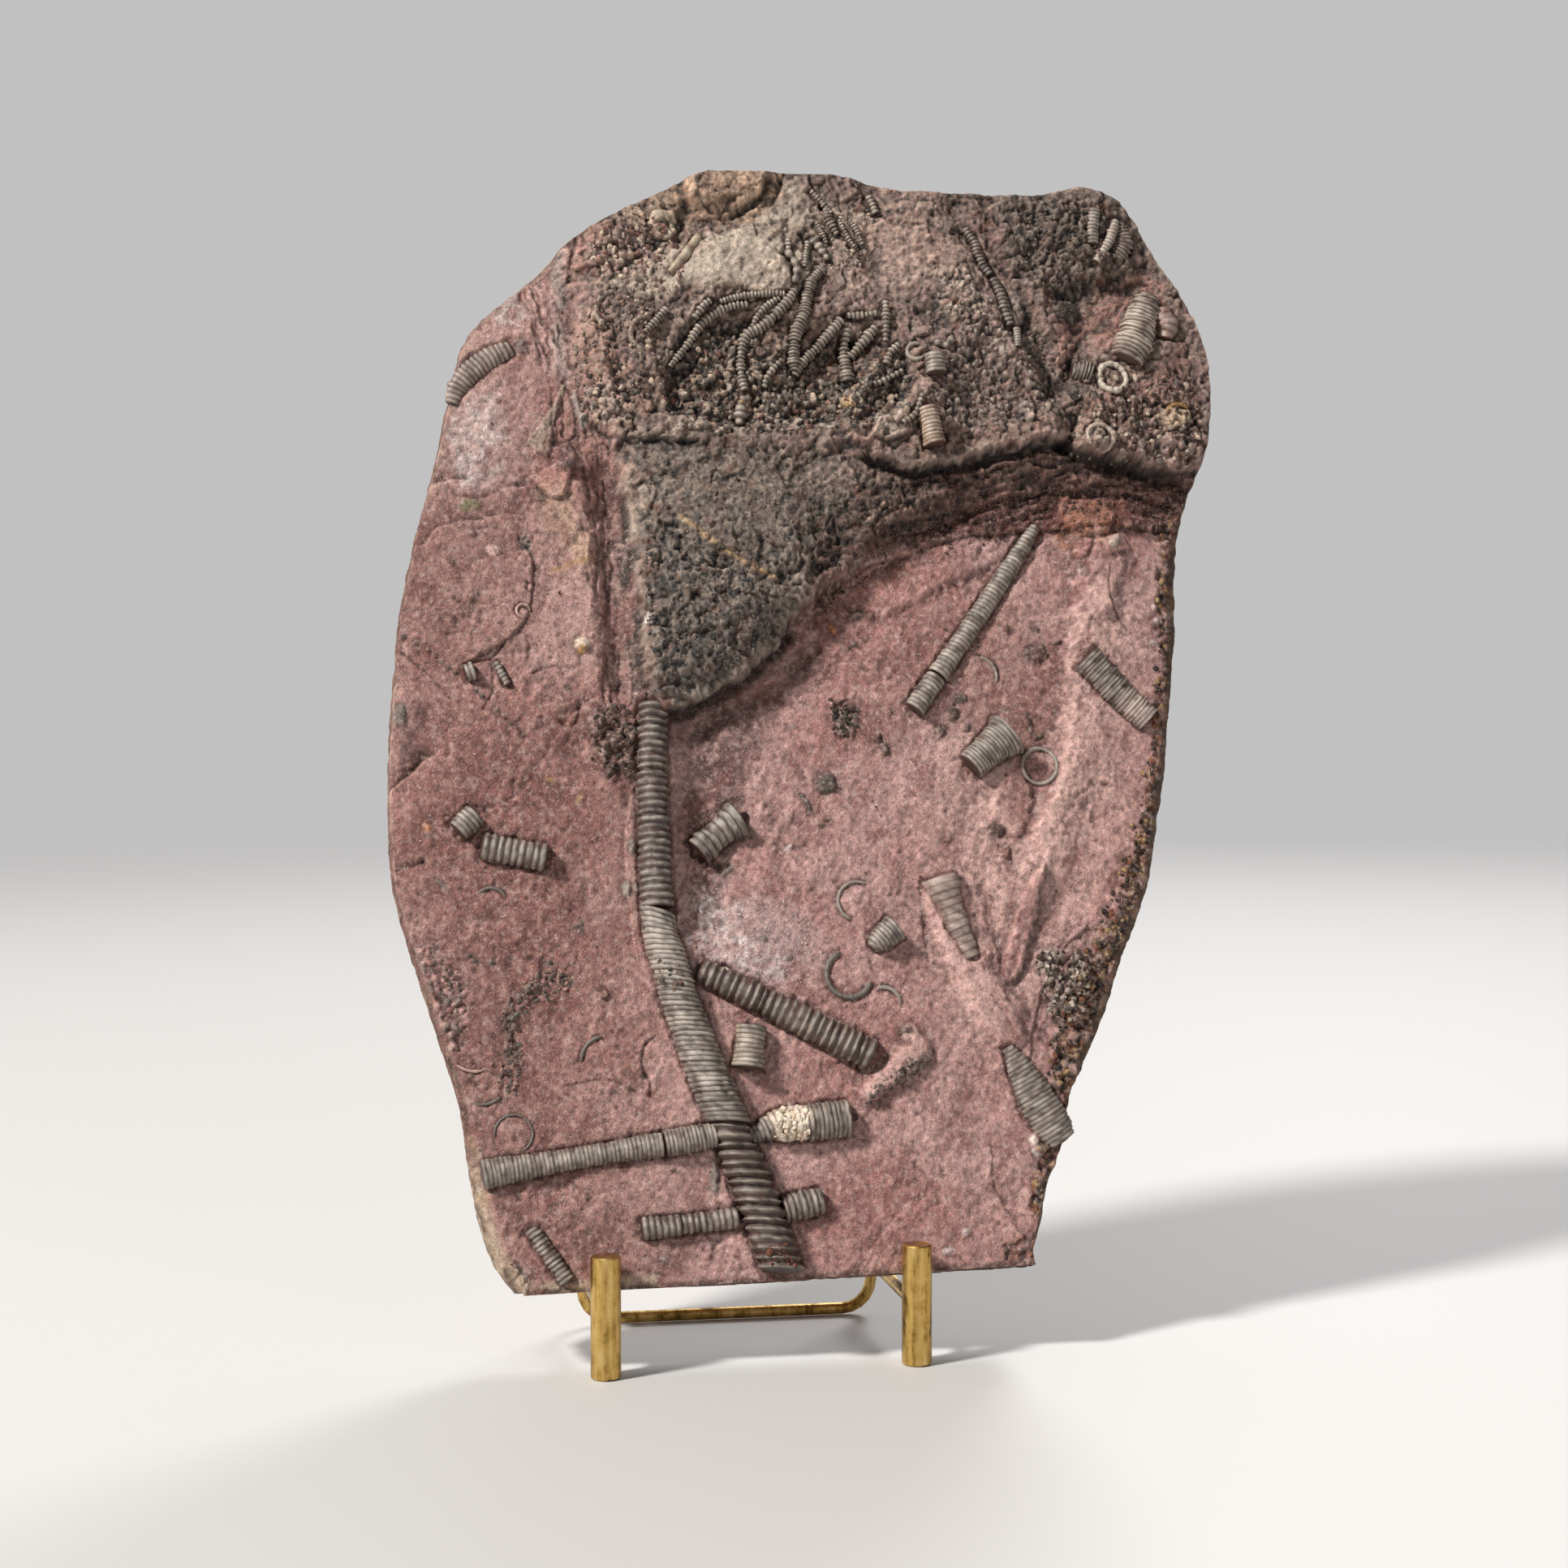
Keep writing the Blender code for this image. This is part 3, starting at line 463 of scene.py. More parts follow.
# ---------------------------------------------------------------- the rock's main forms
# Long swells and hollows: a path of s and v, the half width and the height
SWELLS = [
    ([(-46, 200), (-36, 225), (-22, 255), (-8, 290)], 24, 4.5),
    ([(-40, 330), (0, 335), (45, 325)], 26, 2.0),
    ([(99, 262), (97, 225), (90, 180), (80, 145), (66, 112), (52, 85)], 15, 2.6),
    ([(26, 118), (34, 96), (44, 74), (46, 52)], 8, -1.8),
    ([(60, 100), (70, 112), (84, 132), (92, 160)], 7, -1.6),
    ([(10, 206), (30, 200), (50, 215), (66, 240)], 9, -1.2),
    ([(52, 158), (44, 140), (48, 128)], 7, -1.2),
    ([(20, 236), (50, 246), (84, 250), (112, 246)], 7, 1.6),
    ([(-52, 184), (-30, 192), (-8, 210), (8, 222)], 10, -4.0),
    ([(-42, 180), (-40, 150), (-38, 118)], 9, -4.0),
    ([(-70, 268), (-67, 235), (-66, 195)], 5, -4.5),
    ([(-78, 262), (-76, 225), (-74, 195)], 4, 1.5),
    ([(-143, 158), (-134, 170), (-128, 184)], 6, -2.2),
    ([(-112, 205), (-104, 216), (-99, 232)], 7, 1.2),
    ([(60, 12), (64, 24)], 6, 1.6),
    ([(-80, 30), (-60, 60), (-80, 120)], 30, 0.8),
    ([(20, 40), (40, 30)], 22, 1.0),
]
# Broad steps of the plain rock, lower on the right of their paths: the drop, its reach and how soft the
# edge is
SOFT_STEPS = [
    ([(98, 246), (92, 216), (88, 192), (84, 168), (76, 148), (68, 130)], 3.8, 14, 7),
    ([(68, 76), (60, 88), (53, 108), (47, 130)], 3.0, 9, 4),
    ([(128, 232), (124, 214), (122, 196)], 1.4, 6, 2),
    ([(-70, 250), (-78, 240), (-84, 226)], 1.6, 8, 4),
    ([(-58, 120), (-66, 150), (-74, 178)], 1.4, 9, 5),
    ([(2, 200), (12, 214), (34, 226), (60, 238)], 1.8, 9, 4),
    ([(20, 60), (34, 40), (52, 30)], 1.2, 10, 6),
    ([(-100, 118), (-118, 112), (-132, 100)], 1.2, 8, 4),
    ([(-104, 84), (-92, 66), (-84, 58)], 0.9, 8, 4),
]
# Raised bodies in the plain rock: an outline, the rise and the width of its edge
ROCK_FORMS = [
    ([(31, 127), (46, 130), (51, 112), (59, 92), (66, 76), (58, 70), (48, 76), (40, 92), (33, 110)], 2.4,
     5),
    ([(74, 134), (71.5, 123), (68, 110), (64, 98), (60, 93), (57, 98), (59, 108), (64, 122), (70, 132)],
     2.6, 1.6),
    ([(69, 104), (84, 105), (88, 96), (89, 84), (77, 79), (72, 88)], 2.0, 2),
    ([(86, 240), (100, 262), (112, 250), (108, 226), (98, 214)], 1.4, 7),
    ([(-142, 158), (-128, 170), (-118, 190), (-140, 196)], 1.4, 6),
]
# The crown's own broad forms: an outline, the rise and how far in it takes to get there
CROWN_FORMS = [
    ([(-46, 288), (-50, 300), (-47, 312), (-42, 322), (-28, 328), (-6, 328), (4, 322), (24, 321),
      (37, 316), (40, 304),
      (36, 292), (24, 286), (0, 283), (-30, 284)], -3.8, 5),
    ([(-20, 300), (-8, 306), (8, 304), (10, 292), (-8, 288), (-22, 292)], -1.6, 5),
    ([(-52, 328), (-30, 333), (0, 332), (6, 345), (-12, 356), (-40, 352), (-64, 338)], 1.6, 6),
    ([(-38, 360), (-12, 362), (-4, 380), (-44, 382)], 1.8, 6),
    ([(86, 302), (90, 318), (84, 336), (92, 346), (112, 348), (128, 342), (122, 324), (106, 312),
      (96, 300)], -4.8, 11),
    ([(74, 340), (88, 350), (100, 348), (118, 340), (126, 374), (70, 376)], 2.0, 7),
    ([(10, 326), (44, 326), (84, 292), (86, 312), (76, 335), (62, 356), (30, 368), (6, 366)], 1.8, 14),
    ([(40, 286), (88, 284), (88, 298), (80, 318), (46, 322)], 1.4, 7),
    ([(92, 278), (140, 274), (144, 304), (118, 308), (98, 300)], 0.8, 8),
    ([(-80, 284), (-64, 284), (-62, 312), (-70, 330), (-80, 318)], 1.4, 6),
    ([(-66, 350), (-50, 350), (-42, 362), (-50, 372), (-70, 362)], 1.4, 6),
    ([(-62, 268), (-30, 262), (10, 270), (20, 280), (-10, 282), (-62, 280)], -1.6, 6),
    ([(-58, 196), (-44, 192), (-20, 206), (-10, 224), (-30, 236), (-58, 234)], 1.2, 8),
]
CROWN_VALLEYS = [
    ([(56, 366), (63, 352), (70, 340), (78, 328), (84, 314), (91, 296), (93, 286)], 4.6, -2.2),
    ([(-40, 372), (-38, 364), (-41, 356)], 1.6, -2.0),
    ([(4, 354), (16, 350), (26, 344)], 4.0, -1.4),
    ([(-4, 352), (-2, 344), (0, 338)], 2.5, -1.8),
    ([(92, 300), (98, 296), (96, 286), (90, 280)], 3.0, -2.2),
    ([(-86, 345), (-80, 332), (-80, 318)], 4.0, -1.5),
    ([(46, 326), (58, 318), (70, 300), (74, 288)], 5.0, -1.2),
    ([(-62, 262), (-48, 268), (-30, 274)], 2.4, -1.4),
]
# How hackly the crown is: an outline, the width of its edge and the amount
HACKLY = [
    ([(-62, 186), (-30, 190), (-8, 210), (2, 226), (14, 238), (6, 262), (-20, 275), (-62, 276)], 5, 0.8),
    ([(-52, 328), (-30, 333), (0, 332), (6, 345), (-12, 356), (-40, 352), (-64, 338)], 4, 0.16),
    ([(14, 328), (46, 328), (84, 300), (84, 318), (72, 340), (58, 358), (30, 366), (12, 362)], 10, 0.34),
    ([(44, 288), (88, 286), (86, 318), (44, 324)], 6, 0.55),
    ([(88, 304), (90, 320), (86, 338), (96, 336), (108, 338), (124, 346), (126, 336), (116, 320),
      (104, 312)], 5, 0.08),
    ([(76, 342), (90, 350), (102, 348), (118, 342), (122, 370), (74, 370)], 6, 0.8),
    ([(-62, 284), (-60, 300), (-50, 320), (-28, 328), (36, 318), (44, 300), (24, 284)], 6, 0.75),
    ([(-60, 252), (-20, 244), (6, 250), (20, 274), (-10, 282), (-60, 280)], 8, 0.38),
    ([(92, 278), (140, 272), (142, 302), (118, 310), (96, 302)], 6, 0.9),
    ([(-80, 284), (-62, 284), (-54, 310), (-60, 330), (-78, 322)], 5, 0.85),
    ([(-40, 362), (-14, 364), (-6, 378), (-44, 380)], 5, 0.4),
]
# The raised masses: the outline, the rise, and how high the rim stood where its place was read
CROWN_RISE = 8.0
MASSES = ((CROWN, CROWN_RISE, 6.0), (UPPER_LEDGE, 4.5, 11.0), (LOBE, 1.6, 0.0))
# Height, wavelength and seed of the rock's unevenness: everywhere, and on top of that over the crown
GENTLE_WAVES = ((1.2, 61.0, 0.0), (0.9, 27.0, 40.0))
CROWN_LUMPS = ((3.0, 34.0, 11.0), (1.8, 16.0, 23.0))
# The layered ledges under the crown's right half: a path of s and v, and the drop below it
STRATA = [
    ([(30, 262), (60, 268), (88, 273), (112, 270), (142, 263)], 1.6),
    ([(20, 247), (48, 255), (80, 262), (112, 262), (140, 255)], 1.6),
    ([(8, 228), (35, 241), (60, 248), (95, 250), (134, 250)], 1.4),
]


def waves(face, size, wavelength, seed):
    """Smooth unevenness, worked out on a coarse raster."""
    step = wavelength / 12
    s, v = np.arange(LEFT, RIGHT + step, step), np.arange(FOOT, HEAD + step, step)
    rough = np.array([[noise.noise((a / wavelength, b / wavelength, seed)) for a in s] for b in v])
    x, y = (face.s[0] - LEFT) / step, (face.v[:, 0] - FOOT) / step
    rough = np.array([np.interp(x, range(len(s)), row) for row in rough])
    return size * np.array([np.interp(y, range(len(v)), column) for column in rough.T]).T


def lowered(path, height):
    """A path on a raised mass, from where it is seen in the plane of the face to where it lies."""
    return [tuple(np.array(p[:2]) - (np.array(p[:2]) - VIEWPOINT[:2]) * height / VIEWPOINT[2]) + tuple(p[2:])
            for p in path]


def shape_masses(face):
    """The slab's large forms. Returns the crown's share, from 0 on the plain rock to 1 on the crown."""
    for wave in GENTLE_WAVES:
        face.height += waves(face, *wave)
    shares = []
    for outline, rise, seen_at in MASSES:
        w, mask = face.share(lowered(outline, seen_at), ragged=1.3)
        face.height[w] += rise * mask
        full = np.zeros_like(face.s)
        full[w] = mask
        shares.append(full)
    crown = shares[0]
    soft = ease((face.v - 262) / 14) * ease((-40 - face.s) / 14)
    evened = crown + soft * (blurred(crown, 6) - crown)
    face.height += CROWN_RISE * (evened - crown)
    crown = evened
    for wave in CROWN_LUMPS:
        face.height += waves(face, *wave) * crown
    for path, half_width, rise in SWELLS:
        face.stroke([(s, v, 1.0) for s, v in path], half_width, rise, ragged=0.8)
    for path, drop, reach, lip in SOFT_STEPS:
        face.ledge(path, drop, reach, lip, ragged=1.2, fine=0.0)
    for outline, rise, edge in ROCK_FORMS:
        face.patch(outline, rise, edge, ragged=0.8)
    for path, drop in STRATA:
        line = smooth_path([(s, v, 0) for s, v in path], 2.0)
        w, (distance, _, over, _, right) = face.near(line, 30, ragged=0.8)
        face.height[w] -= drop * np.exp(-distance / 9.0) * right * (over <= 0)
    face.broad = blurred(face.height, 5)
    for outline, rise, edge in CROWN_FORMS:
        face.patch(outline, rise, edge, ragged=1.2)
    for path, half_width, rise in CROWN_VALLEYS:
        face.stroke(path, half_width, rise, ragged=1.0)
    face.broad = blurred(face.height, 3)
    return crown


# The crown's overhanging lower edge, and the ledge under its right half: a path, how high its edge stood
# where it
# was read, and how far it leans out
OVERHANGS = [
    ([(-50, 187), (-45, 188), (-38, 191), (-30, 195.5), (-24, 198.5), (-18, 204), (-12, 210.5), (-8, 215)],
     6.0, 2.6),
    ([(22, 275), (30, 272.5), (40, 270.5), (50, 273), (62, 276), (75, 279), (86, 281), (92, 283)], 11.0,
     1.3),
    ([(92, 281), (100, 278), (112, 276), (125, 273), (139, 272)], 11.0, 0.8),
]


def lean_out(face):
    """Pushes the rim of each overhang out over the hollow below it, and the hollow's foot in under it; paints
    shadow in the hollow.
    """
    for path, seen_at, reach in OVERHANGS:
        line = smooth_path([p + (0,) for p in lowered(path, seen_at)], 2.0)
        aside = aside_of(line)
        w, (distance, along, over, _, right) = face.near(line, 14, ragged=0.9)
        arcs = arc_lengths(line)
        out_s, out_v = np.interp(along, arcs, aside[:, 0]), np.interp(along, arcs, aside[:, 1])
        signed = distance * (2 * right - 1)
        ends = np.exp(-(over / 4) ** 2)
        uneven = np.clip(0.8 + 0.9 * swirl(along, signed * 0.3, 7.0, 19), 0.1, 1.6)
        top = np.exp(-((signed + 1.2) / 1.8) ** 2) * ends * uneven
        foot = np.exp(-((signed - 1.6) / 1.8) ** 2) * ends
        amount = reach * (0.55 * top - 0.5 * foot)
        face.push_s[w] += out_s * amount
        face.push_v[w] += out_v * amount
        face.height[w] -= 2.8 * foot
        # Painted shadow: black in the hollow under the rim.
        face.tint(w, 0.6 * np.exp(-((signed - 1.8) / 2.4) ** 2) * ends, BLACK)
        # A narrower strip of painted shadow, laid on last in finish_colour.
        shadow_strip = 0.9 * np.exp(-((signed - 0.9) / 1.1) ** 2) * ends * np.clip(0.4 + uneven, 0, 1)
        face.overhang_shadows.append((w, shadow_strip))
        face.fine[w] = np.maximum(face.fine[w], 1.0 * (np.abs(signed) < 6))


def turned(s, v, degrees, stretch):
    """Coordinates along and across a direction, the first squeezed so that noise streaks that way."""
    c, d = math.cos(math.radians(degrees)), math.sin(math.radians(degrees))
    return (c * s + d * v) / stretch, c * v - d * s


# The layered zone under the crown's right half
LAYERED = [(0, 224), (20, 236), (60, 244), (100, 246), (136, 248), (142, 268), (120, 275), (88, 281),
           (60, 276), (30, 271),
           (12, 262), (0, 245)]


def roughen(face, crown):
    """The rock's surface: fine-grained, streaked and pitted below, broken and angular over the crown."""
    s, v = face.s, face.v
    plain = 1 - crown
    calm = 0.75 + 0.6 * clouds(s, v, 32, 15, 3)
    face.height += plain * calm * 0.85 * clouds(s + face.rag_s, v + face.rag_v, 17, 11, 3, 0.42)
    face.height += plain * calm * (0.55 * facets(s, v, 10, 18) + 0.24 * facets(s, v, 4.4, 19)
                                   + 0.18 * facets(s, v, 1.9, 20) + 0.15 * clouds(s, v, 1.5, 29, 2, 0.9))
    along, across = turned(s + 1.5 * face.rag_s, v + 1.5 * face.rag_v, 62, 3.2)
    face.height += plain * calm * 0.36 * clouds(along, across, 3.4, 16, 3, 0.7)
    pits = np.clip(clouds(s, v, 4, 14, 3) - 0.5, 0, 1)
    face.height -= plain * 0.9 * pits
    grains = np.clip(clouds(s, v, 1.9, 17, 2) - 0.4, 0, 1)
    face.height += plain * 0.5 * grains
    hackly = np.full_like(s, 0.62)
    for outline, edge, amount in HACKLY:
        w, mask = face.share(outline, edge, ragged=1.5)
        hackly[w] += mask * (amount - hackly[w])
    hackly *= ease(crown * 1.5)
    face.height += hackly * (1.3 * facets(s, v, 11, 21) + 1.25 * broken(s, v, 7.5, 22)
                             + 0.75 * broken(s, v, 3.4, 26))
    face.height += (0.25 * crown + 0.55 * hackly) * (0.5 * broken(s, v, 1.9, 23)
                                                     + 0.3 * facets(s, v, 1.3, 30))
    face.height += crown * 0.15 * clouds(s, v, 2.6, 24, 2, 0.8)
    along, across = turned(s + 1.5 * face.rag_s, v + 1.5 * face.rag_v, 48, 3.0)
    face.height += crown * (0.45 - 0.3 * np.clip(hackly, 0, 1)) * clouds(along, across, 2.8, 27, 3, 0.7)
    holes = np.clip(clouds(s, v, 2.2, 28, 2) - 0.4, 0, 1)
    face.height -= crown * 1.1 * holes
    w, mask = face.share(LAYERED, 6, ragged=1.5)
    along, across = s[w] / 2.2, v[w] - 0.16 * s[w] + 1.5 * face.rag_v[w]
    face.height[w] += mask * (1.1 * facets(along, across, 5.5, 31) + 0.7 * facets(along, across, 2.6, 32)
                              + 0.5 * facets(s[w], v[w], 1.4, 33))


# Bands of rock that splits like wood: the middle of each, its half width, how wide its fibres are and how
# deep
FIBRES = [
    ([(-70, 284), (-67, 262), (-65, 235), (-64.5, 210), (-64, 190)], 10.5, 2.6, 0.5),
    ([(34, 250), (58, 257), (94, 264), (120, 263), (144, 258)], 12.0, 2.6, 0.45),
    ([(-96, 345), (-88, 325), (-82, 300), (-80, 280)], 6.0, 1.8, 0.6),
]


def split_like_wood(face):
    """Draws fine ridges and splits along the fibrous bands: red with paler crests, and dark brown painted
    shade in the splits.
    """
    for path, half_width, size, depth in FIBRES:
        line = smooth_path(face.lay([p + (0,) for p in path]), 2.0)
        w, (distance, along, over, _, right) = face.near(line, 1.4 * half_width, ragged=1.0)
        across = distance * (2 * right - 1)
        mask = ease((1.25 * half_width - distance) / (0.5 * half_width)) * np.exp(-(over / 3) ** 2)
        grain = clouds(0.16 * along, across, size, 71, 3, 0.6)
        split = np.abs(swirl(0.10 * along, across, 1.9 * size, 73))
        face.height[w] += depth * mask * (0.8 * grain - 1.5 * np.exp(-(split / 0.10) ** 2))
        face.tint(w, 0.45 * mask * ease(1.8 * grain), tone(150, 112, 102))
        # Painted shade in the splits, deeper where the fibres are cut deeper.
        face.tint(w, 0.6 * depth * mask * np.exp(-(split / 0.12) ** 2), tone(50, 28, 25))
        face.fine[w] = np.maximum(face.fine[w], 0.8 * (mask > 0.2))


# ---------------------------------------------------------------- the rock's smaller forms and its colours
# The plain rock's wide zones: an outline, the width of its edge, the colour, its strength and how ragged
# it is
GROUND_COLOURS = [
    ([(-145, 205), (-100, 200), (-62, 190), (-60, 120), (-62, 60), (-20, -8), (-125, -8), (-150, 100)], 40,
     RED, 0.62, 4),
    ([(-140, 190), (-110, 185), (-80, 170), (-70, 130), (-100, 110), (-140, 120)], 20, RED, 0.35, 4),
    ([(-122, 262), (-104, 258), (-96, 285), (-100, 330), (-125, 320), (-128, 280)], 14, PINK_PALE, 0.35, 3),
    ([(20, 170), (60, 225), (90, 238), (128, 240), (118, 160), (100, 110), (70, 60), (40, 60), (20, 100)],
     30, PINK_PALE, 0.75, 4),
    ([(-144, 196), (-96, 200), (-92, 262), (-136, 262)], 16, tone(138, 98, 90), 0.6, 4),
    ([(4, 196), (40, 176), (60, 168), (84, 184), (92, 214), (60, 226), (20, 216)], 14, tone(138, 100, 92),
     0.6, 4),
    ([(40, 20), (64, 20), (80, 70), (100, 110), (80, 120), (45, 60)], 18, PINK_LIGHT, 0.6, 4),
    ([(-52, 92), (-20, 86), (4, 98), (-4, 122), (-32, 134), (-50, 128)], 14, CHALK, 0.45, 5),
    # Purple-brown right of the long stem and under the cup: partly the rock's colour, partly painted shadow
    # of the stem and the cup.
    ([(-48, 115), (-44, 184), (-20, 196), (2, 214), (6, 200), (-16, 176), (-26, 140), (-36, 116)], 9,
     PURPLE_AND_SHADOW, 0.85, 2.5),
    ([(-30, 186), (-16, 190), (-14, 200), (-28, 196)], 4, RUST, 0.4, 1),
]
# Zones of the plain rock, of the layered rock and of the crown: an outline, the width of its edge, the
# colour and
# its strength
ROCK_COLOURS = [
    # The hollow left of the right-hand ridge, darker: partly the rock's colour, partly painted shade.
    ([(58, 150), (70, 146), (82, 166), (88, 192), (90, 214), (78, 216), (66, 196), (60, 172)], 7,
     (130, 88, 80), 0.75),
    # The ridge's crest, paler: partly the rock's colour, partly a painted highlight.
    ([(72, 136), (84, 150), (96, 176), (106, 214), (102, 244), (94, 214), (89, 186), (80, 162)], 5,
     (198, 160, 148), 0.7),
    ([(74, 134), (71, 123), (68, 110), (63, 98), (59, 93), (57, 97), (59, 108), (64, 122)], 2,
     (146, 102, 98), 0.8),
    ([(69, 104), (84, 105), (88, 96), (89, 84), (77, 79), (72, 88)], 2, (112, 100, 90), 0.9),
    ([(50, 128), (58, 124), (56, 104), (62, 86), (56, 90), (50, 108)], 4, (132, 92, 84), 0.6),
    ([(0, 186), (16, 196), (34, 186), (26, 170), (6, 172)], 8, (132, 92, 84), 0.6),
    ([(-62, 60), (-66, 90), (-64, 110), (-72, 100), (-74, 70)], 6, (120, 78, 70), 0.5),
    ([(-120, 262), (-104, 262), (-100, 288), (-112, 296), (-122, 284)], 7, (206, 184, 176), 0.55),
    ([(88, 246), (108, 248), (114, 262), (96, 266), (86, 258)], 4, (150, 98, 70), 0.7),
]
LAYERED_COLOURS = [
    ([(-8, 236), (8, 238), (36, 250), (50, 264), (30, 272), (10, 270), (-4, 258)], 7, (80, 69, 62), 0.85),
    ([(0, 212), (14, 221), (36, 231), (30, 239), (8, 233), (-4, 222)], 4, (122, 76, 60), 0.6),
    ([(84, 240), (100, 244), (112, 250), (110, 262), (96, 264), (84, 256)], 4, (150, 104, 80), 0.75),
    ([(60, 244), (84, 248), (82, 256), (62, 252)], 4, (112, 80, 66), 0.6),
]
CROWN_COLOURS = [
    ([(-62, 186), (-30, 190), (-8, 210), (2, 228), (14, 240), (6, 262), (-20, 275), (-64, 278)], 5,
     (104, 94, 86), 0.9),
    ([(-62, 186), (-30, 190), (-10, 212), (-14, 228), (-34, 240), (-60, 252)], 8, (82, 74, 69), 0.85),
    ([(-54, 224), (-42, 222), (-40, 238), (-52, 242)], 4, (60, 57, 57), 0.8),
    ([(-44, 204), (-28, 206), (-24, 222), (-40, 224)], 4, (62, 59, 59), 0.8),
    ([(-52, 196), (-40, 194), (-30, 202), (-44, 206)], 3, (70, 66, 64), 0.7),
    ([(-30, 238), (-18, 236), (-14, 248), (-28, 250)], 4, (76, 68, 64), 0.6),
    ([(-50, 262), (-20, 258), (6, 262), (20, 274), (-10, 282), (-54, 280)], 6, (112, 98, 88), 0.7),
    ([(-58, 288), (-54, 310), (-40, 324), (-4, 328), (38, 316), (42, 302), (36, 288), (0, 283)], 6,
     (84, 62, 53), 0.9),
    ([(-44, 288), (-47, 302), (-40, 314), (-14, 312), (8, 306), (30, 308), (36, 296), (18, 287),
      (-10, 285)], 7,
     (50, 39, 34), 0.9),
    ([(-56, 328), (-30, 333), (0, 332), (6, 345), (-12, 356), (-40, 352), (-66, 338)], 4, (190, 172, 155),
     0.9),
    ([(-20, 352), (10, 350), (24, 352), (22, 366), (-6, 366)], 6, (166, 146, 130), 0.7),
    ([(-62, 356), (-40, 352), (-34, 362), (-44, 372), (-66, 366)], 4, (176, 150, 128), 0.7),
    ([(-42, 358), (-12, 358), (-4, 378), (-44, 378)], 4, (172, 140, 116), 0.85),
    ([(8, 324), (40, 326), (70, 330), (62, 356), (30, 370), (6, 352)], 12, (156, 130, 120), 0.85),
    ([(44, 286), (88, 286), (86, 318), (62, 326), (44, 322)], 8, (118, 94, 88), 0.8),
    ([(86, 302), (88, 322), (82, 342), (92, 340), (92, 330), (100, 330), (106, 340), (120, 348),
      (132, 344), (130, 326),
      (118, 320), (112, 311), (98, 312)], 5, (154, 112, 102), 0.95),
    ([(74, 342), (90, 350), (102, 347), (118, 340), (122, 372), (72, 374)], 7, (92, 80, 73), 0.85),
    ([(92, 276), (140, 272), (143, 300), (140, 322), (126, 316), (118, 308), (96, 300)], 7, (122, 84, 76),
     0.8),
    ([(10, 277), (30, 274), (60, 278), (86, 283), (84, 292), (50, 288), (14, 286)], 4, (116, 82, 72), 0.65),
    ([(-82, 284), (-62, 284), (-60, 312), (-66, 330), (-80, 322)], 7, (160, 128, 116), 0.75),
    ([(-90, 350), (-78, 330), (-66, 345), (-60, 362), (-74, 360)], 6, (164, 122, 108), 0.7),
    ([(60, 366), (68, 346), (76, 334), (84, 312), (88, 310), (86, 326), (78, 344), (72, 366)], 3,
     (112, 78, 70), 0.7),
    ([(88, 312), (90, 298), (94, 286), (86, 284), (84, 300)], 3, (78, 62, 56), 0.7),
    ([(28, 344), (48, 338), (60, 350), (46, 366), (28, 368), (18, 356)], 8, (164, 134, 122), 0.6),
    ([(-76, 290), (-62, 288), (-56, 308), (-66, 322), (-78, 314)], 6, (134, 96, 84), 0.6),
    ([(48, 290), (70, 288), (84, 296), (78, 316), (58, 318)], 7, (120, 88, 80), 0.6),
]


def paint_zones(face, zones, ragged):
    """Tints the inside of each outline of a table."""
    for outline, edge, colour, strength in zones:
        face.patch(outline, edge=edge, colour=tone(*colour), strength=strength, ragged=ragged)


def colour_ground(face, crown):
    """The wide colour zones of the plain rock and the crown."""
    s, v = face.s, face.v
    everywhere = (slice(None), slice(None))
    drift = clouds(s, v, 60, 41, 4)
    face.tint(everywhere, ease(0.5 + 1.1 * drift), PINK_LIGHT)
    for outline, edge, colour, strength, ragged in GROUND_COLOURS:
        face.patch(outline, edge=edge, colour=colour, strength=strength, ragged=ragged)
    paint_zones(face, ROCK_COLOURS, 1.5)
    # The crown
    left = np.interp(v, [262, 285, 330, 376], [-70, -80, -88, -70]) + 3 * face.rag_s
    stained = crown * np.where(v > 268, ease((s - left) / 16), ease((s + 59.5 + face.rag_s) / 2.5))
    face.tint(everywhere, stained, tone(120, 99, 91))
    face.tint(everywhere, stained * ease(0.35 + 1.3 * clouds(s, v, 22, 43, 4)), tone(134, 108, 100))
    face.tint(everywhere, stained * 0.7 * ease(1.6 * clouds(s, v, 9, 45, 4) - 0.25), tone(94, 79, 71))
    paint_zones(face, CROWN_COLOURS, 2)
    # The layered zone under the crown's right half
    w, mask = face.patch(LAYERED, edge=6, colour=STRATA_RED, strength=0.95, ragged=1.5)
    layers = v[w] - 0.16 * s[w] + 2.0 * face.rag_v[w]
    face.tint(w, 0.7 * mask * ease(1.4 * clouds(s[w] * 0.12, layers, 3.0, 34, 3)), tone(58, 32, 29))
    face.tint(w, 0.6 * mask * ease(1.6 * clouds(s[w] * 0.2, layers, 4.0, 35, 3) - 0.5), tone(112, 74, 64))
    paint_zones(face, LAYERED_COLOURS, 1.5)


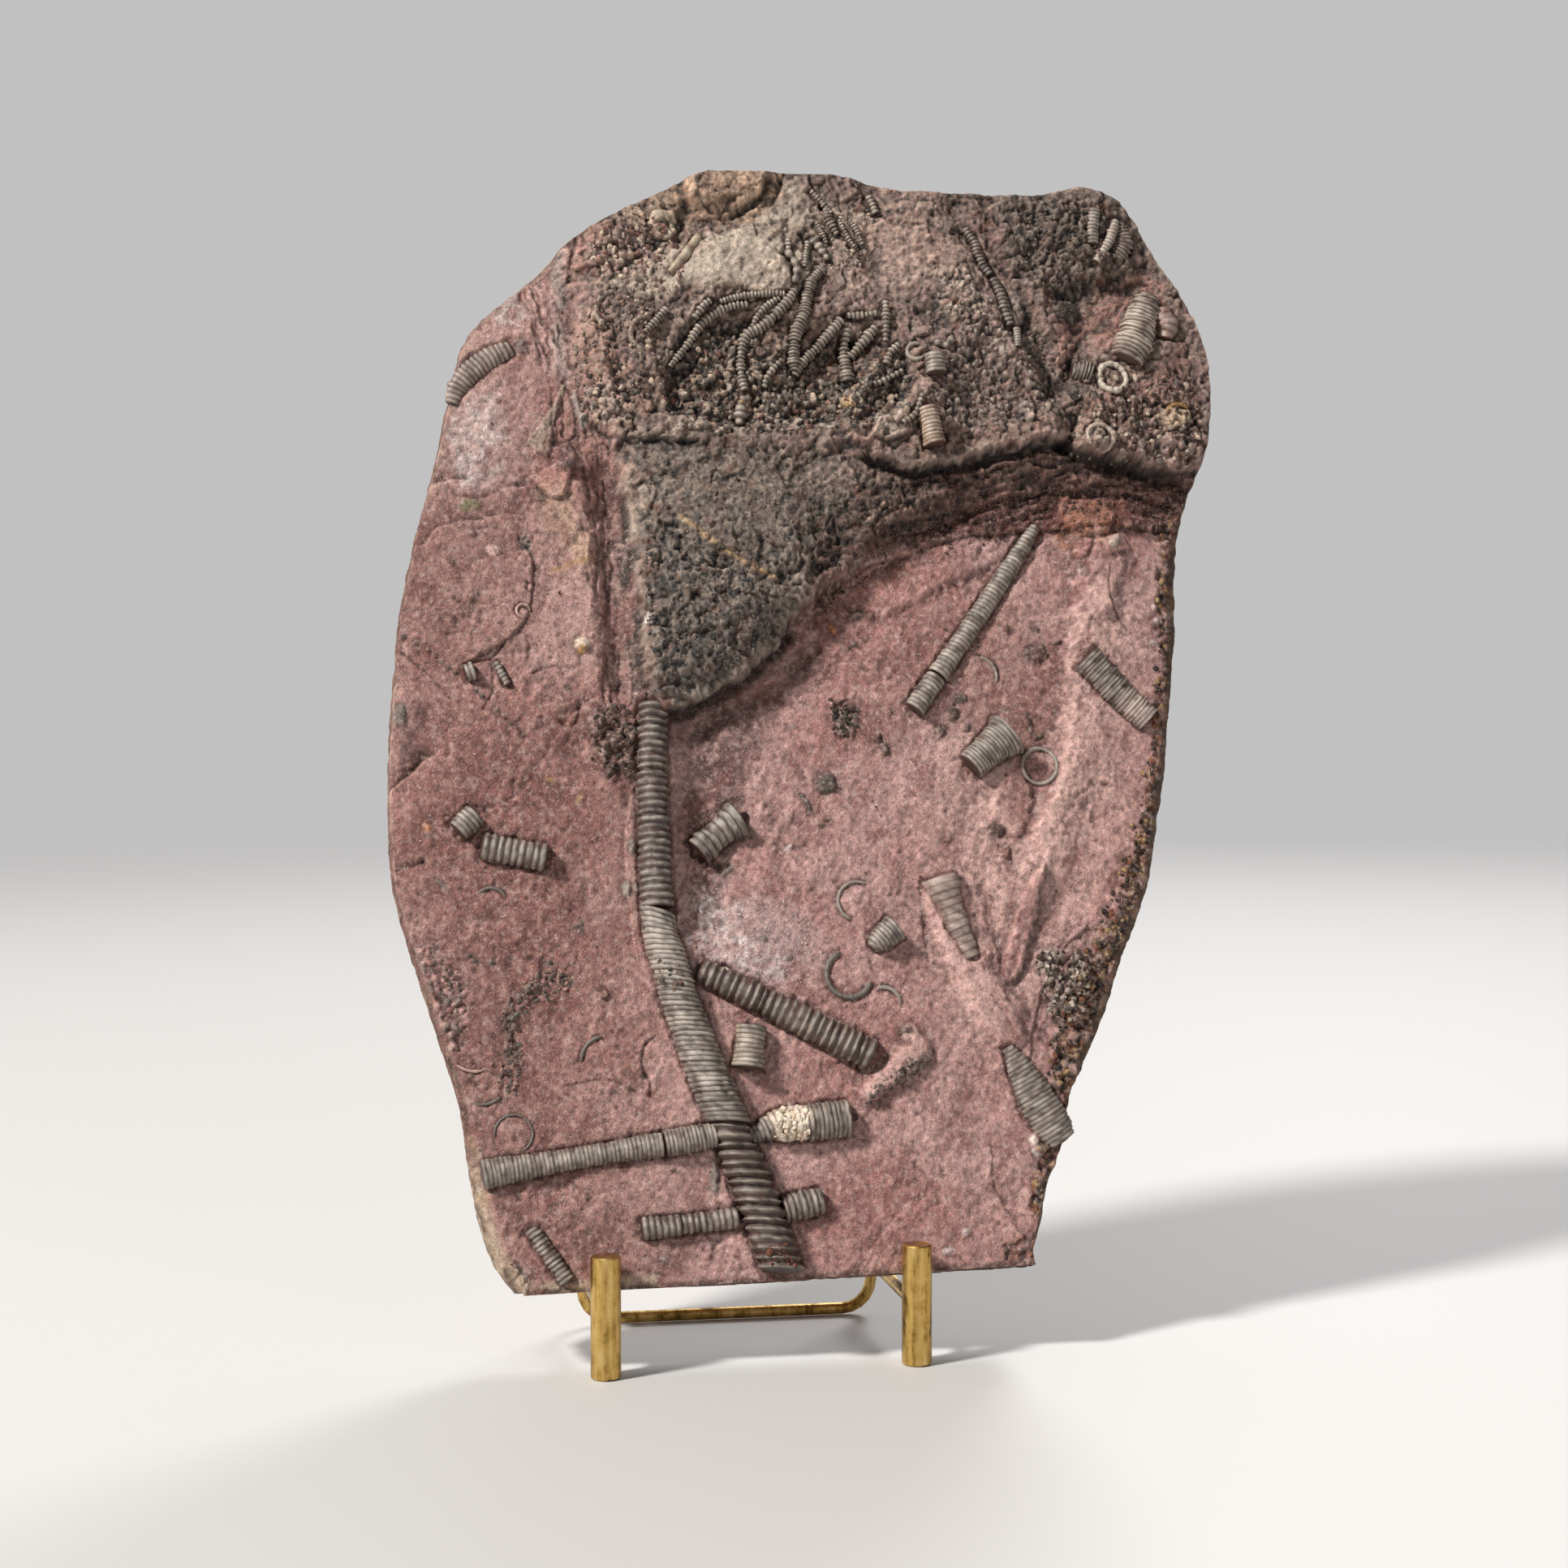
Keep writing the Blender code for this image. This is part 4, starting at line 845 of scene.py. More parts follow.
def colour_rim(face, rim):
    """The weathered bands along the slab's edges."""
    w = (slice(None), slice(None))
    face.inland = distance = face.signed(rim, 20)[0]
    s, v = face.s, face.v
    speckle = clouds(s, v, 3.2, 51, 3)
    right = (s > 50) & (v > 18) & (v < 258)
    band = np.interp(v, [20, 45, 60, 75, 95, 110, 135, 165, 200, 252],
                     [7, 9, 10, 14, 15, 12, 10, 7, 7, 9]) * (1 + 0.35 * face.rag_s)
    mask = right * ease((band - distance) / 2.0)
    face.tint(w, mask, BROWN)
    face.tint(w, mask * ease(2.5 * speckle), RUST)
    face.tint(w, mask * ease(3 * clouds(s, v, 2.2, 53, 2) - 0.4), tone(150, 122, 84))
    face.tint(w, mask * ease(3 * clouds(s, v, 2.8, 54, 2) - 0.3), BLACK)
    face.height += mask * (0.7 * clouds(s, v, 2.4, 55, 3) + 0.8 * facets(s, v, 4.2, 56)
                           + 0.5 * facets(s, v, 1.9, 57))
    face.fine = np.maximum(face.fine, mask)
    left = (s < -60) & (v > -4) & (v < 46)
    mask = left * ease((5.5 - distance) / 1.5)
    face.tint(w, mask, tone(196, 172, 150))
    mask = (v < 9) * (s > -100) * ease((3.0 - distance) / 1.5)
    face.tint(w, mask * 0.8, BROWN)
    mask = (v > 262) * ease((3.0 + 1.5 * face.rag_s - distance) / 2.5)
    face.tint(w, mask * 0.75, tone(166, 136, 116))
    mask = (s < -100) * (v > 46) * ease((2.2 + face.rag_s - distance) / 1.5)
    face.tint(w, mask * 0.6, PINK_PALE)


# The mottles: whether they lie over the crown, their strength, contrast, size, seed, octaves, gain and how
# much of
# the noise is cut off, and their colour
MOTTLES = [
    (False, 0.5, 1.8, 5, 67, 4, 0.7, 0.4, PINK_PALE),
    (False, 0.6, 2.4, 2.4, 61, 3, 0.7, 1.0, RED_DEEP),
    (False, 0.5, 3.0, 1.7, 62, 2, 0.7, 1.2, tone(206, 182, 172)),
    (True, 0.5, 1.6, 7, 68, 4, 0.7, 0.3, tone(104, 74, 64)),
    (True, 0.45, 1.8, 4.5, 69, 4, 0.7, 0.4, tone(168, 148, 132)),
    (True, 0.5, 3, 1.9, 63, 2, 0.5, 1.2, tone(190, 172, 156)),
    (True, 0.6, 3, 2.4, 64, 2, 0.5, 1.5, BLACK),
    (True, 0.35, 2.5, 6, 65, 3, 0.5, 1.1, RUST),
]
# The pale plates above the arms, which are streaked
STREAKED = [(-50, 333), (-30, 335), (-12, 341), (-2, 350), (8, 366), (0, 376), (-12, 368), (-22, 358),
            (-36, 350),
            (-48, 343)]


def finish_colour(face, crown):
    """Paints shade into hollows, highlights on what stands out and light on the plain rock, and speckles the
    rest.
    """
    w = (slice(None), slice(None))
    # Painted shade in hollows and painted highlights on what stands out, from the height at two sizes.
    for radius, scale in ((0.8, 0.20), (2.2, 0.7)):
        relief = (face.height - blurred(face.height, radius)) / scale
        low, high = np.clip(-relief, 0, 1.5), np.clip(relief, 0, 1.3)
        face.colour *= (1 - (0.27 + 0.16 * crown) * low)[..., None]
        face.tint(w, (0.22 + 0.14 * crown) * high, face.colour * 1.35 + 0.16 * CREAM)
    # More painted shade in the crown's deeper hollows.
    deep = np.clip((blurred(face.height, 4.0) - face.height) / 1.6 - 0.2, 0, 1)
    face.colour *= (1 - 0.5 * crown * deep)[..., None]
    s, v = face.s, face.v
    plain = 1 - crown
    for size, seed, amount, more in ((1.15, 81, 0.17, 0.6), (2.9, 84, 0.08, 1.5)):
        number = cells(s, v, size, seed)[4]
        face.colour *= (1 + amount * (1 + more * crown) * (2 * number - 1))[..., None]
    along, across = turned(s + face.rag_s, v + face.rag_v, 62, 2.2)
    face.tint(w, 0.6 * plain * ease(1.5 * clouds(along, across, 9, 66, 4, 0.65) - 0.15), RED)
    for over_crown, strength, contrast, size, seed, octaves, gain, cut, colour in MOTTLES:
        there = crown if over_crown else plain
        face.tint(w, strength * there * ease(contrast * clouds(s, v, size, seed, octaves, gain) - cut),
                  colour)
    w, mask = face.share(STREAKED, 6, ragged=3)
    along, across = turned(s[w] + face.rag_s[w], v[w] + face.rag_v[w], 33, 4.0)
    streaks = clouds(along, across, 4.0, 94, 4, 0.7)
    face.tint(w, mask * np.clip(0.55 + 0.5 * streaks, 0, 0.9), tone(204, 187, 170))
    face.tint(w, 0.5 * mask * ease(-2.0 * streaks - 0.6), tone(120, 98, 84))
    w, mask = face.share(LAYERED, 6, ragged=1.5)
    face.colour[w] *= 1 - mask[..., None] * (0.26, 0.36, 0.38)
    # The painted shadow strips under the overhangs.
    for w, mask in face.overhang_shadows:
        face.tint(w, mask, BLACK)
    # Painted light: the plain rock is brightened by 9 % left of s = -70, rising to 22 % right of s = -40, and
    # made a little bluer.
    lit = np.interp(s, [-70, -40], [0.09, 0.22])
    face.colour *= 1 + (plain * lit)[..., None] * (1.0, 0.95, 1.15)


# ---------------------------------------------------------------- pieces of mesh
def in_the_world(points):
    """Points of s, v and height as world places in metres, kept inside the part's own box."""
    s, v, height = np.asarray(points, dtype=float).T
    y = v * math.sin(LEAN) - height * math.cos(LEAN)
    z = v * math.cos(LEAN) + height * math.sin(LEAN)
    placed = (np.column_stack([s, y, z]) + SLAB_ORIGIN) * MM
    return np.clip(placed, BOX_LOW, BOX_HIGH)


def place(name, vertices, faces, colours, material, stands_for=None, normals=None, smooth=True):
    """A piece of stone from vertices of s, v and height, with its colours and perhaps its normals."""
    mesh = bpy.data.meshes.new(name)
    mesh.from_pydata(in_the_world(vertices).tolist(), [], faces)
    mesh.polygons.foreach_set("use_smooth", np.full(len(mesh.polygons), smooth))
    layer = mesh.attributes.new("tone", "FLOAT_COLOR", "POINT")
    tones = np.column_stack([np.clip(colours, 0, 1), np.ones(len(vertices))])
    layer.data.foreach_set("color", tones.ravel())
    mesh.materials.append(material)
    if normals is not None:
        s, v, height = normals.T
        turned_up = np.column_stack([s, v * math.sin(LEAN) - height * math.cos(LEAN),
                                     v * math.cos(LEAN) + height * math.sin(LEAN)])
        mesh.normals_split_custom_set_from_vertices(turned_up.tolist())
    made = bpy.data.objects.new(name, mesh)
    bpy.context.scene.collection.objects.link(made)
    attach(made, "root")
    if stands_for:
        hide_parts(stands_for)
    return made


def slab_rim(step):
    """The outline in the plane of the face, its outward direction and its bevel's width at each point."""
    arch = smooth_path(OUTLINE, step)
    first, last = arch[0], arch[-1]
    count = round(np.hypot(*(first - last)[:2]) / step)
    foot = [last + (first - last) * i / count for i in range(1, count)]
    rim = np.vstack([arch, foot])
    rim[len(arch):, 2] = 0.8
    return rim, aside_of(rim, True)


def lattice_points(face, polygon):
    """Points of triangular lattices inside a polygon: close where the face is fine, wider elsewhere."""
    signed = face.signed(np.column_stack([polygon, np.zeros(len(polygon))]), 3.0)[0]
    chosen = []
    for step, fine in ((FINE_STEP, True), (PLAIN_STEP, False)):
        rows = np.arange(FOOT, HEAD, step * math.sqrt(3) / 2)
        i, j = np.meshgrid(np.arange(len(rows)), np.arange(int((RIGHT - LEFT) / step)), indexing="ij")
        s, v = (LEFT + step * (j + 0.5 * (i % 2))).ravel(), rows[i].ravel()
        keep = ((face.at(face.fine, s, v) > 0.4) == fine) & (face.at(signed, s, v) > 0.6 * step)
        chosen.append(np.column_stack([s, v])[keep])
    return np.vstack(chosen)


def triangulated(polygon, inner):
    """Points and triangles that fill a polygon by way of some inner points."""
    flat = [tuple(p) for p in np.vstack([polygon, inner])]
    count = len(polygon)
    edges = [(i, (i + 1) % count) for i in range(count)]
    found, _, triangles, origins, _, _ = delaunay_2d_cdt(flat, edges, [], 1, 1e-5)
    order = []
    for place_, group in zip(found, origins):
        if group:
            order.append(group[0])
        else:
            order.append(len(flat))
            flat.append(tuple(place_))
    return np.array(flat), [tuple(order[i] for i in t) for t in triangles]


def surface(face, points):
    """Where points of the face come to lie: s, v and height, leaned over at the overhangs."""
    s, v = points.T
    return np.column_stack([s + face.at(face.push_s, s, v), v + face.at(face.push_v, s, v),
                            face.at(face.height, s, v)])


# The pieces that the face is split into: the name, whether it is crown, and the range of s
REGIONS = [("rock_left", False, LEFT, -56.0), ("rock_middle", False, -56.0, 34.0),
           ("rock_right", False, 34.0, RIGHT),
           ("crown_left", True, LEFT, 14.0), ("crown_right", True, 14.0, RIGHT)]


def make_face(face, polygon, crown, plain_rock, crown_rock):
    """The face in several pieces that meet without a seam: they share their normals."""
    flat, triangles = triangulated(polygon, lattice_points(face, polygon))
    triangles = np.array(triangles)
    spots = surface(face, flat)
    a, b, c = (spots[triangles[:, k]] for k in range(3))
    facing = np.cross(b - a, c - a)
    normals = np.zeros_like(spots)
    for k in range(3):
        for axis in range(3):
            normals[:, axis] += np.bincount(triangles[:, k], facing[:, axis], len(spots))
    normals /= np.linalg.norm(normals, axis=1)[:, None] + 1e-12
    colours = face.at(face.colour, *flat.T)
    middle = flat[triangles].mean(axis=1)
    high = face.at(crown, *middle.T) > 0.5
    for name, is_crown, low_s, high_s in REGIONS:
        mine = triangles[(high == is_crown) & (middle[:, 0] >= low_s) & (middle[:, 0] < high_s)]
        used, renumbered = np.unique(mine, return_inverse=True)
        place(name, spots[used], renumbered.reshape(-1, 3).tolist(), colours[used],
              crown_rock if is_crown else plain_rock, "fossil_slab", normals[used])


# ---------------------------------------------------------------- materials
def node_material(name, roughness, metallic=0.0):
    """A new material, its node tree, its shader and a function that adds a node with settings."""
    material = bpy.data.materials.new(name)
    material.use_nodes = True
    tree = material.node_tree
    shader = tree.nodes["Principled BSDF"]
    shader.inputs["Roughness"].default_value = roughness
    shader.inputs["Metallic"].default_value = metallic

    def add(kind, inputs=(), **settings):
        node = tree.nodes.new(kind)
        for key, value in settings.items():
            setattr(node, key, value)
        for key, value in dict(inputs).items():
            if isinstance(value, bpy.types.NodeSocket):
                tree.links.new(value, node.inputs[key])
            else:
                node.inputs[key].default_value = value
        return node

    return material, tree, shader, add


def stone_material(name, grain, contrast, bump, roughness, sheen=0.0, dust=0.0):
    """Stone: its colour from the mesh, varied by grain of the given size in mm, with a matching bump."""
    material, tree, shader, add = node_material(name, roughness)
    place_ = add("ShaderNodeTexCoord").outputs["Object"]
    own = add("ShaderNodeAttribute", attribute_name="tone").outputs["Color"]
    fine = add("ShaderNodeTexNoise", {"Vector": place_, "Scale": 1 / (grain * MM), "Detail": 3.0,
                                      "Roughness": 0.7})
    wide = add("ShaderNodeTexNoise", {"Vector": place_, "Scale": 0.3 / (grain * MM), "Detail": 4.0,
                                      "Roughness": 0.6})
    mixed = add("ShaderNodeMath", {0: fine.outputs["Fac"], 1: wide.outputs["Fac"]}, operation="ADD")
    shade = add("ShaderNodeMapRange", {"Value": mixed.outputs[0], "From Min": 0.75, "From Max": 1.25,
                                       "To Min": 1 - contrast, "To Max": 1 + contrast})
    colour = add("ShaderNodeVectorMath", {0: own, "Scale": shade.outputs[0]}, operation="SCALE").outputs[0]
    if dust:
        specks = add("ShaderNodeTexNoise", {"Vector": place_, "Scale": 0.9 / (grain * MM), "Detail": 1.0,
                                            "Roughness": 0.6, "W": 3.0}, noise_dimensions="4D")
        amount = add("ShaderNodeMapRange", {"Value": specks.outputs["Fac"], "From Min": 0.58,
                                            "From Max": 0.70,
                                            "To Min": 0.0, "To Max": dust})
        mix = add("ShaderNodeMix", data_type="RGBA")
        tree.links.new(amount.outputs[0], mix.inputs["Factor"])
        tree.links.new(colour, mix.inputs["A"])
        mix.inputs["B"].default_value = (*tone(222, 206, 196), 1)
        colour = mix.outputs["Result"]
    tree.links.new(colour, shader.inputs["Base Color"])
    rough = add("ShaderNodeMapRange", {"Value": wide.outputs["Fac"], "From Min": 0.3, "From Max": 0.7,
                                       "To Min": roughness - 0.12, "To Max": min(1.0, roughness + 0.1)})
    tree.links.new(rough.outputs[0], shader.inputs["Roughness"])
    shader.inputs["Specular IOR Level"].default_value = 0.35 + sheen
    relief = add("ShaderNodeMath", {0: mixed.outputs[0], 1: bump * MM}, operation="MULTIPLY")
    raised = add("ShaderNodeBump", {"Height": relief.outputs[0], "Distance": 1.0, "Strength": 1.0})
    tree.links.new(raised.outputs[0], shader.inputs["Normal"])
    return material


# ---------------------------------------------------------------- camera, light and floor
# All in metres: the floor lies a hair below the feet, so that it doesn't touch them
FLOOR_REACH = 6.0
FLOOR_LEVEL = -0.0002
# The lights: a name, a place, the disk's width, the power and the colour; all of them point at one spot
LIT_SPOT = (0, 0, 0.2)
LIGHTS = (
    ("key", (-2.85, -1.35, 3.0), 0.6, 240, (1, 0.97, 0.93)),
    ("fill", (1.6, -2.6, 0.9), 1.6, 10, (0.92, 0.96, 1)),
    ("back", (1.2, 2.2, 1.9), 1.0, 40, (1, 1, 1)),
)
# The camera: its sensor and focal length in mm, its place, how many degrees it dips and how far it is
# turned right
SENSOR_WIDTH = 36
FOCAL_LENGTH = 61.49
CAMERA_PLACE = (-0.1691, -0.8753, 0.2146)
CAMERA_DIP = 2.09
CAMERA_TURN = 10.235


def make_stage():
    """The floor, the studio lights and the camera."""
    mesh = bpy.data.meshes.new("floor")
    corners = [(-FLOOR_REACH, -FLOOR_REACH, 0), (FLOOR_REACH, -FLOOR_REACH, 0),
               (FLOOR_REACH, FLOOR_REACH, 0),
               (-FLOOR_REACH, FLOOR_REACH, 0)]
    mesh.from_pydata(corners, [], [(0, 1, 2, 3)])
    material, tree, shader, add = node_material("floor", 0.6)
    shader.inputs["Base Color"].default_value = (0.62, 0.61, 0.60, 1)
    away = add("ShaderNodeVectorMath", {0: add("ShaderNodeTexCoord").outputs["Object"]}, operation="LENGTH")
    fade = add("ShaderNodeMapRange", {"Value": away.outputs["Value"], "From Min": 0.7, "From Max": 3.6,
                                      "To Min": 1.0,
                                      "To Max": 0.0}, interpolation_type="SMOOTHSTEP")
    tree.links.new(fade.outputs[0], shader.inputs["Alpha"])
    mesh.materials.append(material)
    floor = bpy.data.objects.new("floor", mesh)
    floor.location.z = FLOOR_LEVEL
    bpy.context.scene.collection.objects.link(floor)

    world = bpy.data.worlds.new("studio")
    world.use_nodes = True
    tree = world.node_tree
    background = tree.nodes["Background"]
    background.inputs["Color"].default_value = (0.90, 0.89, 0.89, 1)
    where = tree.nodes.new("ShaderNodeTexCoord")
    parts = tree.nodes.new("ShaderNodeSeparateXYZ")
    strength = tree.nodes.new("ShaderNodeMapRange")
    tree.links.new(where.outputs["Generated"], parts.inputs[0])
    tree.links.new(parts.outputs["Y"], strength.inputs["Value"])
    strength.interpolation_type = "SMOOTHSTEP"
    for socket, value in (("From Min", -0.4), ("From Max", 0.8), ("To Min", 0.11), ("To Max", 0.60)):
        strength.inputs[socket].default_value = value
    tree.links.new(strength.outputs[0], background.inputs["Strength"])
    bpy.context.scene.world = world
    for name, place_, width, power, colour in LIGHTS:
        light = bpy.data.lights.new(name, "AREA")
        light.shape, light.size, light.energy, light.color = "DISK", width, power, colour
        lamp = bpy.data.objects.new(name, light)
        lamp.location = place_
        way = np.array(LIT_SPOT) - np.array(place_)
        lamp.rotation_euler = (math.atan2(math.hypot(way[0], way[1]), -way[2]), 0,
                               math.atan2(way[1], way[0]) - math.pi / 2)
        bpy.context.scene.collection.objects.link(lamp)

    lens = bpy.data.cameras.new("camera")
    lens.sensor_width, lens.lens = SENSOR_WIDTH, FOCAL_LENGTH
    camera = bpy.data.objects.new("camera", lens)
    camera.location = CAMERA_PLACE
    camera.rotation_euler = (math.radians(90 - CAMERA_DIP), 0, math.radians(-CAMERA_TURN))
    bpy.context.scene.collection.objects.link(camera)
    bpy.context.scene.camera = camera
    bpy.context.scene.view_settings.view_transform = "Standard"


# Steps in the plain rock: a path with the lower side on its right, the drop, its reach, and the shadow's
# colour
LEDGES = [
    ([(-116, 264.5), (-122, 264), (-129, 262), (-136, 260)], 0.9, 4, RED_DEEP),
    ([(-96, 263), (-103, 261), (-110, 258), (-115, 258.5)], 0.7, 3, RED_DEEP),
    ([(-96, 252), (-103, 253), (-110, 251), (-118, 249.5), (-124, 248), (-128, 243), (-133, 240)], 1.1, 6,
     RED),
    ([(-112, 205), (-101, 212), (-95, 222), (-94, 236), (-99, 246)], 0.9, 6, RED),
    ([(-128, 171), (-133, 166.5), (-139, 161), (-144, 158)], 2.2, 6, RED_DEEP),
    ([(-131, 136), (-136, 134), (-144, 131)], 1.0, 3, RED_DEEP),
    ([(-72, 192), (-84, 182), (-92, 168), (-100, 158), (-112, 152)], 0.6, 8, RED),
    ([(-60, 185), (-62, 165), (-66, 140), (-64, 110)], 0.6, 5, RED),
    ([(-31, 330), (-20, 331), (-8, 334)], 1.0, 5, BROWN),
    ([(-70, 284), (-66, 281), (-58, 280.5), (-48, 281), (-38, 280)], 2.6, 4, BLACK),
    ([(-36, 279), (-24, 285), (-14, 284), (0, 283)], 1.0, 4, BROWN),
    ([(90, 272), (95, 262), (88, 250), (78, 243)], 0.7, 5, RED_DEEP),
    ([(99, 246), (97.5, 241), (92, 233)], 0.9, 3, RED_DEEP),
    ([(133, 232), (128, 220), (126, 205), (121, 190)], 0.8, 6, RED),
    ([(64, 68), (69, 88), (78, 104), (86, 112)], 0.8, 6, RED),
    ([(52, 104), (56, 92), (61, 76)], 0.5, 5, RED),
    ([(30, 28), (20, 22), (8, 8), (4, 1)], 0.4, 5, RED),
    ([(58, 12), (50, 28), (50, 40)], 0.5, 6, RED),
    ([(-14, 234), (-5, 236), (-4, 241), (-5, 248)], 1.2, 3, BROWN),
    ([(2, 226), (8, 231), (20, 237), (30, 240)], 1.4, 4, RED_DEEP),
]

# Fine cracks: a path, the width and the depth
CRACKS = [
    ([(-103, 210), (-106, 205.5), (-109, 203.5), (-116, 202)], 0.45, 0.7),
    ([(-107.5, 201), (-107.2, 194), (-109, 190), (-111, 187)], 0.4, 0.6),
    ([(-58, 79), (-61, 77), (-62.5, 73), (-62.5, 69), (-60.5, 65), (-60, 60)], 0.5, 0.9),
    ([(-93, 229), (-95, 229.5), (-95.5, 227), (-94, 226)], 0.4, 0.5),
    ([(-94, 199), (-90, 201), (-86, 201), (-84.5, 198.5)], 0.4, 0.5),
    ([(-96, 212), (-95, 208), (-96, 203)], 0.35, 0.4),
    ([(-86, 183), (-83, 180.5), (-80, 184), (-79, 189)], 0.5, 0.7),
    ([(-65, 62), (-75, 66), (-88, 64)], 0.35, 0.35),
    ([(31, 126), (32, 115), (33, 102)], 0.5, 0.6),
    ([(104, 238), (103, 226), (108, 214)], 0.4, 0.4),
    ([(55, 205), (60, 203.5), (62, 200), (61, 196)], 0.5, 0.5),
    ([(-137, 206), (-128, 198), (-121, 190)], 0.4, 0.3),
    ([(-76, 350), (-78, 343), (-79, 335)], 0.8, 1.2),
]

# Small stones and shards in the plain rock: s, v, length, width, turn, rise and colour
SHARDS = [
    (-106, 240.5, 5, 4, 0, 0.7, PINK_PALE), (-114, 256, 6, 4, 10, 0.2, OLIVE),
    (-78, 208.5, 4.4, 5, 80, 1.4, CREAM), (-78, 206.6, 3.6, 2.4, 0, 1.2, OCHRE),
    (-55.5, 217, 4.5, 3.4, 70, 1.4, WHITE), (-72, 172, 3, 2.4, 0, 0.8, WHITE),
    (-73.5, 182, 6, 7.5, 20, 2.0, tone(120, 98, 88)), (-69, 175, 8, 6, 60, 1.6, BROWN),
    (-64, 168, 8, 6, 110, 1.3, BROWN),
    (-62, 178, 5, 7, 0, 1.6, tone(84, 66, 58)), (-70, 166, 5, 3, 30, 1.0, GREY_DARK),
    (-138, 185, 5, 8, 10, 0.5, GREY), (-96, 243, 4, 5, 0, 0.3, GREY_DARK),
    (-129.5, 148, 1.8, 4.2, 20, 0.6, tone(196, 130, 60)), (-125, 129, 1.4, 6, 45, 0.7, GREY),
    (-82, 115.5, 5.5, 1.2, 25, 0.6, GREY), (-81, 114.5, 3.5, 1.1, 110, 0.6, GREY),
    (-117, 106, 3, 1.6, 30, 0.7, GREY_DARK), (-115, 104.5, 2, 1.6, 0, 0.6, GREY_DARK),
    (-109.5, 104, 2.6, 1.4, 70, 0.5, GREY), (-91.5, 103.5, 3, 2, 10, 0.6, GREY_DARK),
    (-74.5, 93, 4.4, 3.6, 20, 1.1, RED_DEEP),
    (-66, 127, 2.6, 6, 4, 0.9, GREY_LIGHT), (-63, 127, 2, 5, 0, 0.7, GREY_LIGHT),
    (-63.5, 141, 3, 5.5, 0, 0.9, GREY),
    (-80, 157, 3.4, 2.2, 30, 0.3, OCHRE), (-90, 163, 2, 1.5, 0, 0.3, OCHRE),
    (15, 236, 7, 2.4, 60, 1.0, GREY), (2, 221, 4, 3, 0, 1.2, BROWN), (14, 219, 5, 2.8, 20, 1.1, GREY_DARK),
    (19, 218.5, 3.4, 2.6, 100, 1.0, GREY_DARK), (6, 214, 2, 4.5, 20, 0.8, tone(176, 112, 66)),
    (13, 209, 2.6, 2, 0, 0.9, GREY_DARK),
    (94.5, 243.5, 9, 5.5, 60, 1.3, RED), (94.5, 235, 5, 3, 110, 1.0, GREY),
    (106, 245.5, 5.5, 3.2, 50, 1.0, GREY_LIGHT),
    (61.5, 138, 3.4, 5, 10, 1.1, tone(120, 84, 76)), (59, 145, 4.6, 4, 30, 1.4, BROWN),
    (75.5, 206, 7, 6.5, 30, 1.8, tone(74, 56, 52)), (66, 214, 2, 2, 0, 0.9, BROWN),
    (76, 214, 2.4, 2, 0, 1.0, BROWN),
    (84, 210, 3, 1.8, 50, 0.9, BROWN), (19, 177, 4, 3, 20, 1.3, BROWN), (22, 173, 3, 5, 10, 1.1, BROWN),
    (49, 190, 4.5, 3, 30, 1.0, GREY_DARK), (45, 185, 6, 3.6, 20, 1.0, BROWN),
    (41, 179, 5, 4, 70, 1.0, BROWN),
    (50, 180, 4, 3, 10, 0.9, GREY_DARK), (72, 182, 1.6, 5, 20, 0.8, BROWN),
    (74.5, 177, 5.5, 1.8, 20, 0.9, BROWN),
    (72.5, 178.5, 1.6, 4, 30, 0.7, GREY_DARK), (115.5, 189, 3.5, 3, 0, 0.9, GREY),
    (119, 222, 3, 2.6, 0, 0.7, WHITE), (119, 218, 2, 2, 0, 0.6, WHITE), (117, 210, 2.4, 2, 0, 0.6, WHITE),
    (-33, 132.5, 6, 1.8, 40, 0.8, GREY), (-6, 154.7, 1.8, 8, 32, 0.9, GREY_DARK),
    (1.5, 161, 7.5, 6, 28, 1.6, GREY_DARK),
    (-9, 166, 1.6, 8, 30, 0.6, RED), (-1, 147, 2.4, 1.8, 0, 0.7, BROWN), (1, 149, 2, 1.6, 0, 0.7, BROWN),
    (-42, 103, 3, 2.2, 30, 0.8, BROWN), (-22, 110, 2.6, 2.2, 0, 0.7, GREY),
    (-14, 104, 3.4, 2.4, 20, 0.8, GREY_LIGHT),
    (-30, 118, 2.4, 2, 0, 0.8, GREY_DARK), (-35, 150, 3, 2, 0, 0.7, GREY),
    (-12, 140, 2.6, 2, 30, 0.6, CHALK),
    (66, 39, 5, 4, 20, 1.3, WHITE), (71, 35, 4, 3.4, 0, 1.1, GREY_LIGHT), (65, 33, 4, 3, 70, 1.0, GREY),
    (-41, 34, 3, 10, 2, 0.7, GREY), (25, 78, 6.5, 5, 20, 1.2, PINK_PALE), (23.5, 79.5, 5, 2, 20, 1.6, GREY),
    (-58, 9, 3, 2, 0, 0.6, GREY), (40, 14, 3, 2, 40, 0.5, CHALK), (34, 8, 4, 2.4, 10, 0.5, CHALK),
    (-103, 2.5, 8, 6, 40, 0.6, GREY_LIGHT), (90, 60, 4, 3, 0, 0.6, BROWN),
    (-122, 227, 1.8, 1.8, 0, 0.7, BROWN), (-120, 224, 1.5, 1.5, 0, 0.7, BROWN),
    (-113, 246, 2, 2, 0, 0.8, BROWN),
    (-120, 236, 2, 1.6, 0, 0.6, BROWN), (-112, 226, 1.6, 2, 0, 0.6, BROWN),
    (-83, 194, 2, 1.6, 0, 0.6, GREY_DARK),
]

